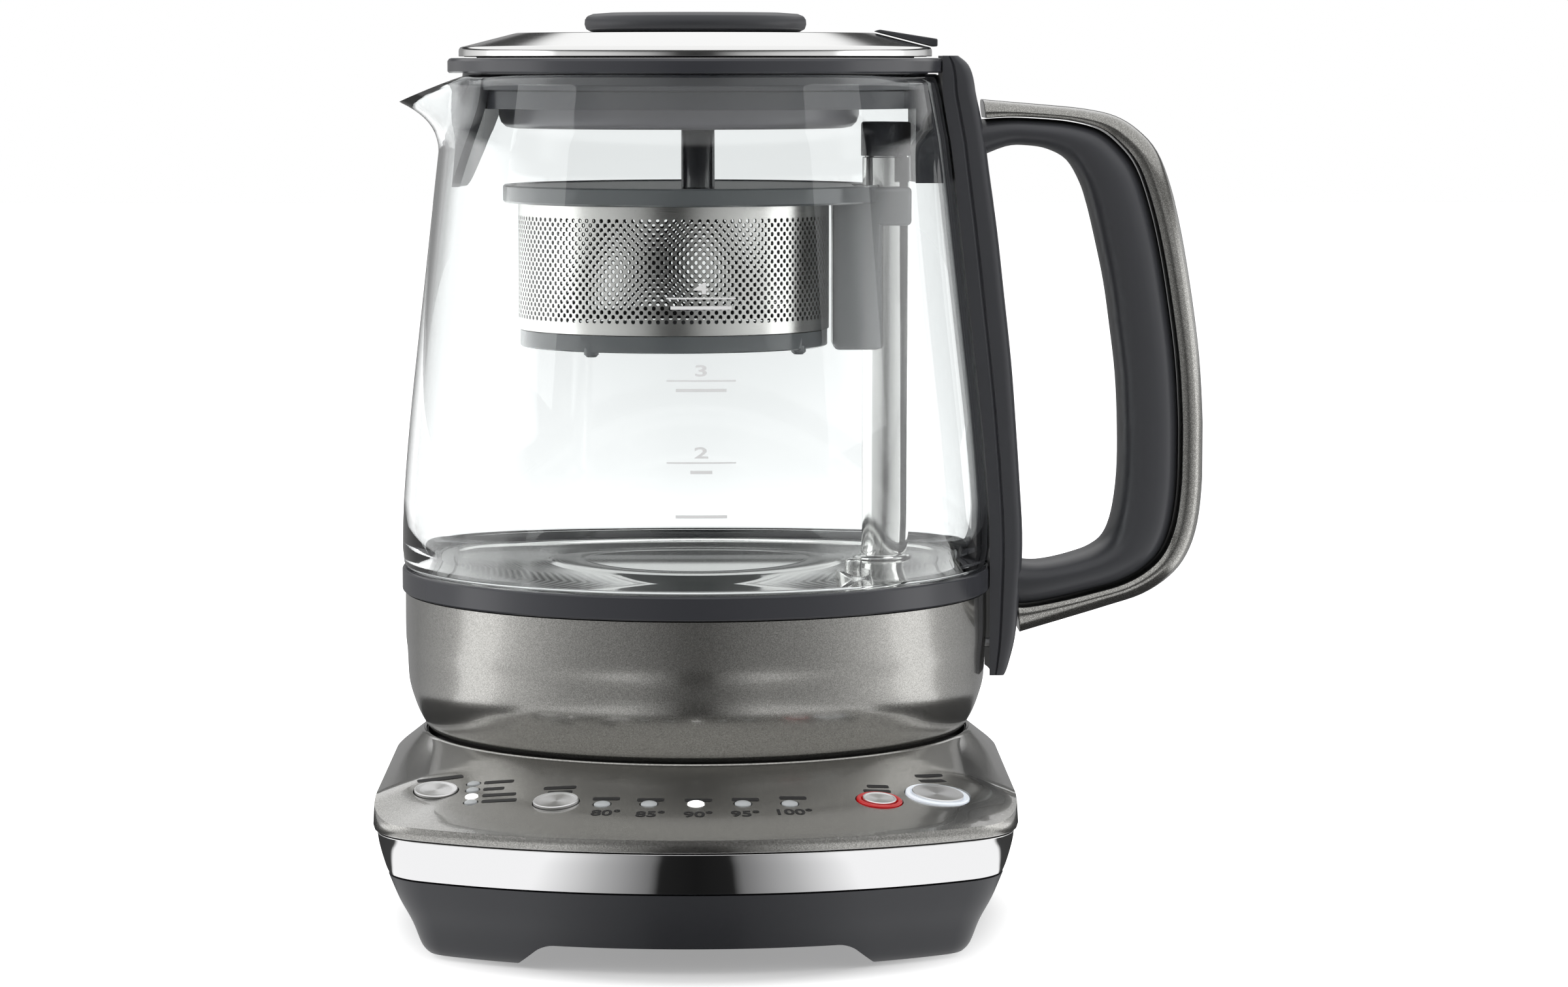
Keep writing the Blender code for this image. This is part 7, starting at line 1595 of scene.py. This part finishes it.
@dataclass
class Studio:
    """Pale floor, soft lamps, the zones of light and dark that metal mirrors, and the camera."""

    bench: Workbench
    floor_size: float = 12.0
    camera_height: float = 0.2165
    camera_back: float = 1.1894
    camera_side: float = 0.0026
    camera_tilt: float = 5.349
    camera_turn: float = 0.975
    lens: float = 105.3
    sensor: float = 36.0
    ambient: float = 0.36
    edge_light: float = 0.22
    hazed_glow: float = 0.64
    box_light: float = 2.0
    gap_light: float = 0.05
    inner_light: float = 1.0
    ceiling_light: float = 1.05
    # Heights of a view direction between which the dark gap starts, and then the ceiling
    gap_rise: Place = (0.12, 0.16)
    ceiling_rise: Place = (0.25, 0.30)
    # Depths of a view direction between which glass shows the white at the back
    back_view: Place = (0.965, 0.985)
    # The floor's own light: at the base, and the distances between which it grows to 1
    floor_glow: float = 0.32
    glow_reach: Place = (0.095, 0.128)
    # Distances between which the near zones on the floor give way to the far ones
    zone_reach: Place = (0.28, 0.31)
    bow_middle: float = 0.008
    base_middle: float = 0.022
    base_slimness: float = 1.38
    # All the levels below: degrees off the front, and brightness there
    mirror_levels: tuple[Place, ...] = (
        (0.0, 0.02), (8.0, 0.03), (22.0, 0.22), (45.0, 0.36), (70.0, 0.40), (78.0, 1.0), (114.0, 1.0),
        (122.0, 0.5), (148.0, 0.3), (156.0, 0.15),
    )
    far_levels: tuple[Place, ...] = (
        (0.0, 0.05), (17.0, 0.105), (29.0, 0.14), (41.0, 0.185), (53.0, 0.28), (67.0, 0.44), (76.0, 0.56),
        (79.0, 0.85), (97.0, 0.85), (101.0, 0.33), (136.0, 0.14),
    )
    inside_levels: tuple[Place, ...] = (
        (0.0, 0.02), (8.0, 0.03), (22.0, 0.22), (45.0, 0.36), (70.0, 0.45), (78.0, 1.0), (150.0, 0.9),
        (170.0, 0.4),
    )
    floor_levels: tuple[Place, ...] = (
        (0.0, 0.01), (5.0, 0.015), (6.0, 0.16), (13.0, 0.45), (22.0, 1.0), (60.0, 1.0), (64.0, 0.05),
        (110.0, 0.04),
    )
    lamps: tuple[SoftLamp, ...] = (
        SoftLamp("key", (-1.45, -0.35, 0.9), (0.0, 0.0, 0.1), (1.0, 1.3), 9.0),
        SoftLamp("fill", (1.4, -0.55, 0.8), (0.0, 0.0, 0.1), (0.9, 1.2), 6.0),
        SoftLamp("top", (0.0, 0.2, 1.6), (0.0, 0.0, 0.0), (1.4, 1.0), 9.0),
    )

    def levels(self, tree: Tree, place: Socket, middle: float, stops: Profile, full: float = 1.0) -> Socket:
        """Add brightness by the angle off the front.

        Args:
            tree: Tree that it goes into.
            place: Place or direction.
            middle: How far behind the origin the angle is measured from, in metres.
            stops: Degrees off the front and brightness there, from 0 to 1.
            full: What a brightness of 1 stands for.

        Returns:
            The brightness.
        """
        split = add_node(tree, "ShaderNodeSeparateXYZ", {"Vector": place})
        front = add_node(
            tree, "ShaderNodeMath", {"operation": "SUBTRACT", "0": middle, "1": split.outputs["Y"]}
        )
        turn = add_node(
            tree, "ShaderNodeMath", {"operation": "ARCTAN2", "0": split.outputs["X"], "1": front.outputs[0]}
        )
        size = add_node(tree, "ShaderNodeMath", {"operation": "ABSOLUTE", "0": turn.outputs[0]})
        share = add_node(tree, "ShaderNodeMath", {"operation": "DIVIDE", "0": size.outputs[0], "1": math.pi})
        ramp = add_node(tree, "ShaderNodeValToRGB", {"Fac": share.outputs[0]})
        marks = ramp.color_ramp.elements
        while len(marks) < len(stops):
            marks.new(1.0)
        for mark, (degrees, level) in zip(marks, stops):
            mark.position, mark.color = degrees / 180.0, (level, level, level, 1.0)
        lit = add_node(
            tree, "ShaderNodeMath", {"operation": "MULTIPLY", "0": ramp.outputs["Color"], "1": full}
        )
        return lit.outputs[0]

    def make_floor(self) -> None:
        """White sweep: its own light grows with distance for the eye, and metal mirrors zones on it."""
        bm = bmesh.new()
        bmesh.ops.create_grid(bm, x_segments=1, y_segments=1, size=self.floor_size / 2)
        floor = self.bench.thing("floor", bm)
        paper = bpy.data.materials.new("white_sweep")
        paper.use_nodes = True
        tree = paper.node_tree
        shader = tree.nodes["Principled BSDF"]
        shader.inputs["Base Color"].default_value = linear("#F4F4F4")
        shader.inputs["Roughness"].default_value = 0.9
        shader.inputs["Specular IOR Level"].default_value = 0.1
        shader.inputs["Emission Color"].default_value = linear("#FFFFFF")
        path = add_node(tree, "ShaderNodeLightPath").outputs
        ground = add_node(tree, "ShaderNodeTexCoord").outputs["Object"]
        axis = (-self.bench.axis.x, -self.bench.axis.y, 0.0)
        place = add_node(tree, "ShaderNodeMapping", {"Location": axis, "Vector": ground}).outputs["Vector"]
        plan = add_node(
            tree, "ShaderNodeMapping",
            {"Location": (0.0, self.base_middle, 0.0), "Scale": (self.base_slimness, 1.0, 1.0),
             "Vector": place},
        )
        away = add_node(tree, "ShaderNodeVectorMath", {"operation": "LENGTH", "0": plan.outputs["Vector"]})
        glow = add_node(
            tree, "ShaderNodeMapRange",
            {"From Min": self.glow_reach[0], "From Max": self.glow_reach[1], "To Min": self.floor_glow,
             "To Max": 1.0, "Value": away.outputs["Value"]},
        )
        seen = add_node(
            tree, "ShaderNodeMath",
            {"operation": "MULTIPLY_ADD", "0": path["Is Transmission Ray"], "1": self.hazed_glow,
             "2": path["Is Camera Ray"]},
        )
        add_node(
            tree, "ShaderNodeMath",
            {"operation": "MULTIPLY", "0": glow.outputs["Result"], "1": seen.outputs[0]},
            {"Value": shader.inputs["Emission Strength"]},
        )
        beyond = add_node(
            tree, "ShaderNodeMapRange",
            {"From Min": self.zone_reach[0], "From Max": self.zone_reach[1], "Value": away.outputs["Value"]},
        )
        inside = self.levels(tree, place, 0.0, self.inside_levels, self.box_light)
        far = self.levels(tree, place, 0.0, self.far_levels, self.box_light)
        near = self.levels(tree, place, self.bow_middle, self.floor_levels)
        sweep = add_node(tree, "ShaderNodeMix", {"0": beyond.outputs["Result"], "2": near, "3": far})
        zones = add_node(
            tree, "ShaderNodeMix", {"0": path["Is Transmission Ray"], "2": sweep.outputs[0], "3": inside}
        )
        mirrored = add_node(tree, "ShaderNodeEmission", {"Strength": zones.outputs[0]})
        glossy = add_node(
            tree, "ShaderNodeMix",
            {"0": path["Is Transmission Ray"], "2": path["Is Glossy Ray"], "3": path["Glossy Depth"]},
        )
        add_node(
            tree, "ShaderNodeMixShader",
            {"0": glossy.outputs[0], "1": shader.outputs[0], "2": mirrored.outputs[0]},
            {"Shader": tree.nodes["Material Output"].inputs["Surface"]},
        )
        floor.data.materials.append(paper)

    def make_world(self) -> None:
        """White for the eye, dark beside the view through glass, and soft boxes all round for metal."""
        world = bpy.data.worlds.new("studio")
        bpy.context.scene.world = world
        world.use_nodes = True
        tree = world.node_tree
        path = add_node(tree, "ShaderNodeLightPath").outputs
        look = add_node(tree, "ShaderNodeTexCoord").outputs["Generated"]
        split = add_node(tree, "ShaderNodeSeparateXYZ", {"Vector": look})
        mirrored = self.levels(tree, look, 0.0, self.mirror_levels, self.box_light)
        for (low, high), light in ((self.gap_rise, self.gap_light), (self.ceiling_rise, self.ceiling_light)):
            rise = add_node(
                tree, "ShaderNodeMapRange", {"From Min": low, "From Max": high, "Value": split.outputs["Z"]}
            )
            chosen = {"0": rise.outputs["Result"], "2": mirrored, "3": light}
            mirrored = add_node(tree, "ShaderNodeMix", chosen).outputs[0]
        lit = add_node(
            tree, "ShaderNodeMapRange",
            {"From Min": self.back_view[0], "From Max": self.back_view[1], "To Min": self.edge_light,
             "To Max": 1.0, "Value": split.outputs["Y"]},
        ).outputs["Result"]
        plain = add_node(
            tree, "ShaderNodeMix", {"0": path["Is Glossy Ray"], "2": self.ambient, "3": mirrored}
        )
        for flag, sides in (
            ("Glossy Depth", {"3": mirrored}),
            ("Diffuse Depth", {"3": self.inner_light}),
            ("Is Transmission Ray", {"2": plain.outputs[0]}),
            ("Is Camera Ray", {"3": 1.0}),
        ):
            lit = add_node(tree, "ShaderNodeMix", {"0": path[flag], "2": lit, "3": lit, **sides}).outputs[0]
        ground = tree.nodes["Background"]
        ground.inputs["Color"].default_value = linear("#FFFFFF")
        tree.links.new(lit, ground.inputs["Strength"])

    def make_camera(self) -> None:
        """Long-lens camera in front, a little above the lid."""
        data = bpy.data.cameras.new("camera")
        data.lens, data.sensor_width, data.sensor_fit = self.lens, self.sensor, "HORIZONTAL"
        data.clip_start, data.clip_end = 0.05, 50.0
        camera = bpy.data.objects.new("camera", data)
        bpy.context.scene.collection.objects.link(camera)
        camera.location = self.bench.axis + Vector((self.camera_side, -self.camera_back, self.camera_height))
        camera.rotation_euler = (math.radians(90.0 - self.camera_tilt), 0.0, math.radians(-self.camera_turn))
        bpy.context.scene.camera = camera

    def make(self) -> None:
        """Set up camera, surround and lamps."""
        self.make_camera()
        self.make_floor()
        self.make_world()
        for lamp in self.lamps:
            lamp.make()
        bpy.context.scene.view_settings.view_transform = "Standard"


def main() -> None:
    """Build the scene."""
    logging.basicConfig(level=logging.INFO, format="%(name)s %(message)s")
    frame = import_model()
    low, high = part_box("lid_seal")
    bench = Workbench(Vector(((low.x + high.x) / 2, (low.y + high.y) / 2, 0.0)))
    Studio(bench).make()
    base = PowerBase(bench)
    panel = ControlPanel(bench, base)
    base.make(panel.holes())
    panel.make()
    jug = GlassJug(bench)
    jug.make()
    LiftPost(bench).make()
    LoopHandle(bench, jug).make()
    JugLid(bench).make()
    TeaBasket(bench).make()
    CarriedNodes(frame["nodes"]).dress()
    LOG.info("%d pieces made", bench.made)


if __name__ == "__main__":
    main()
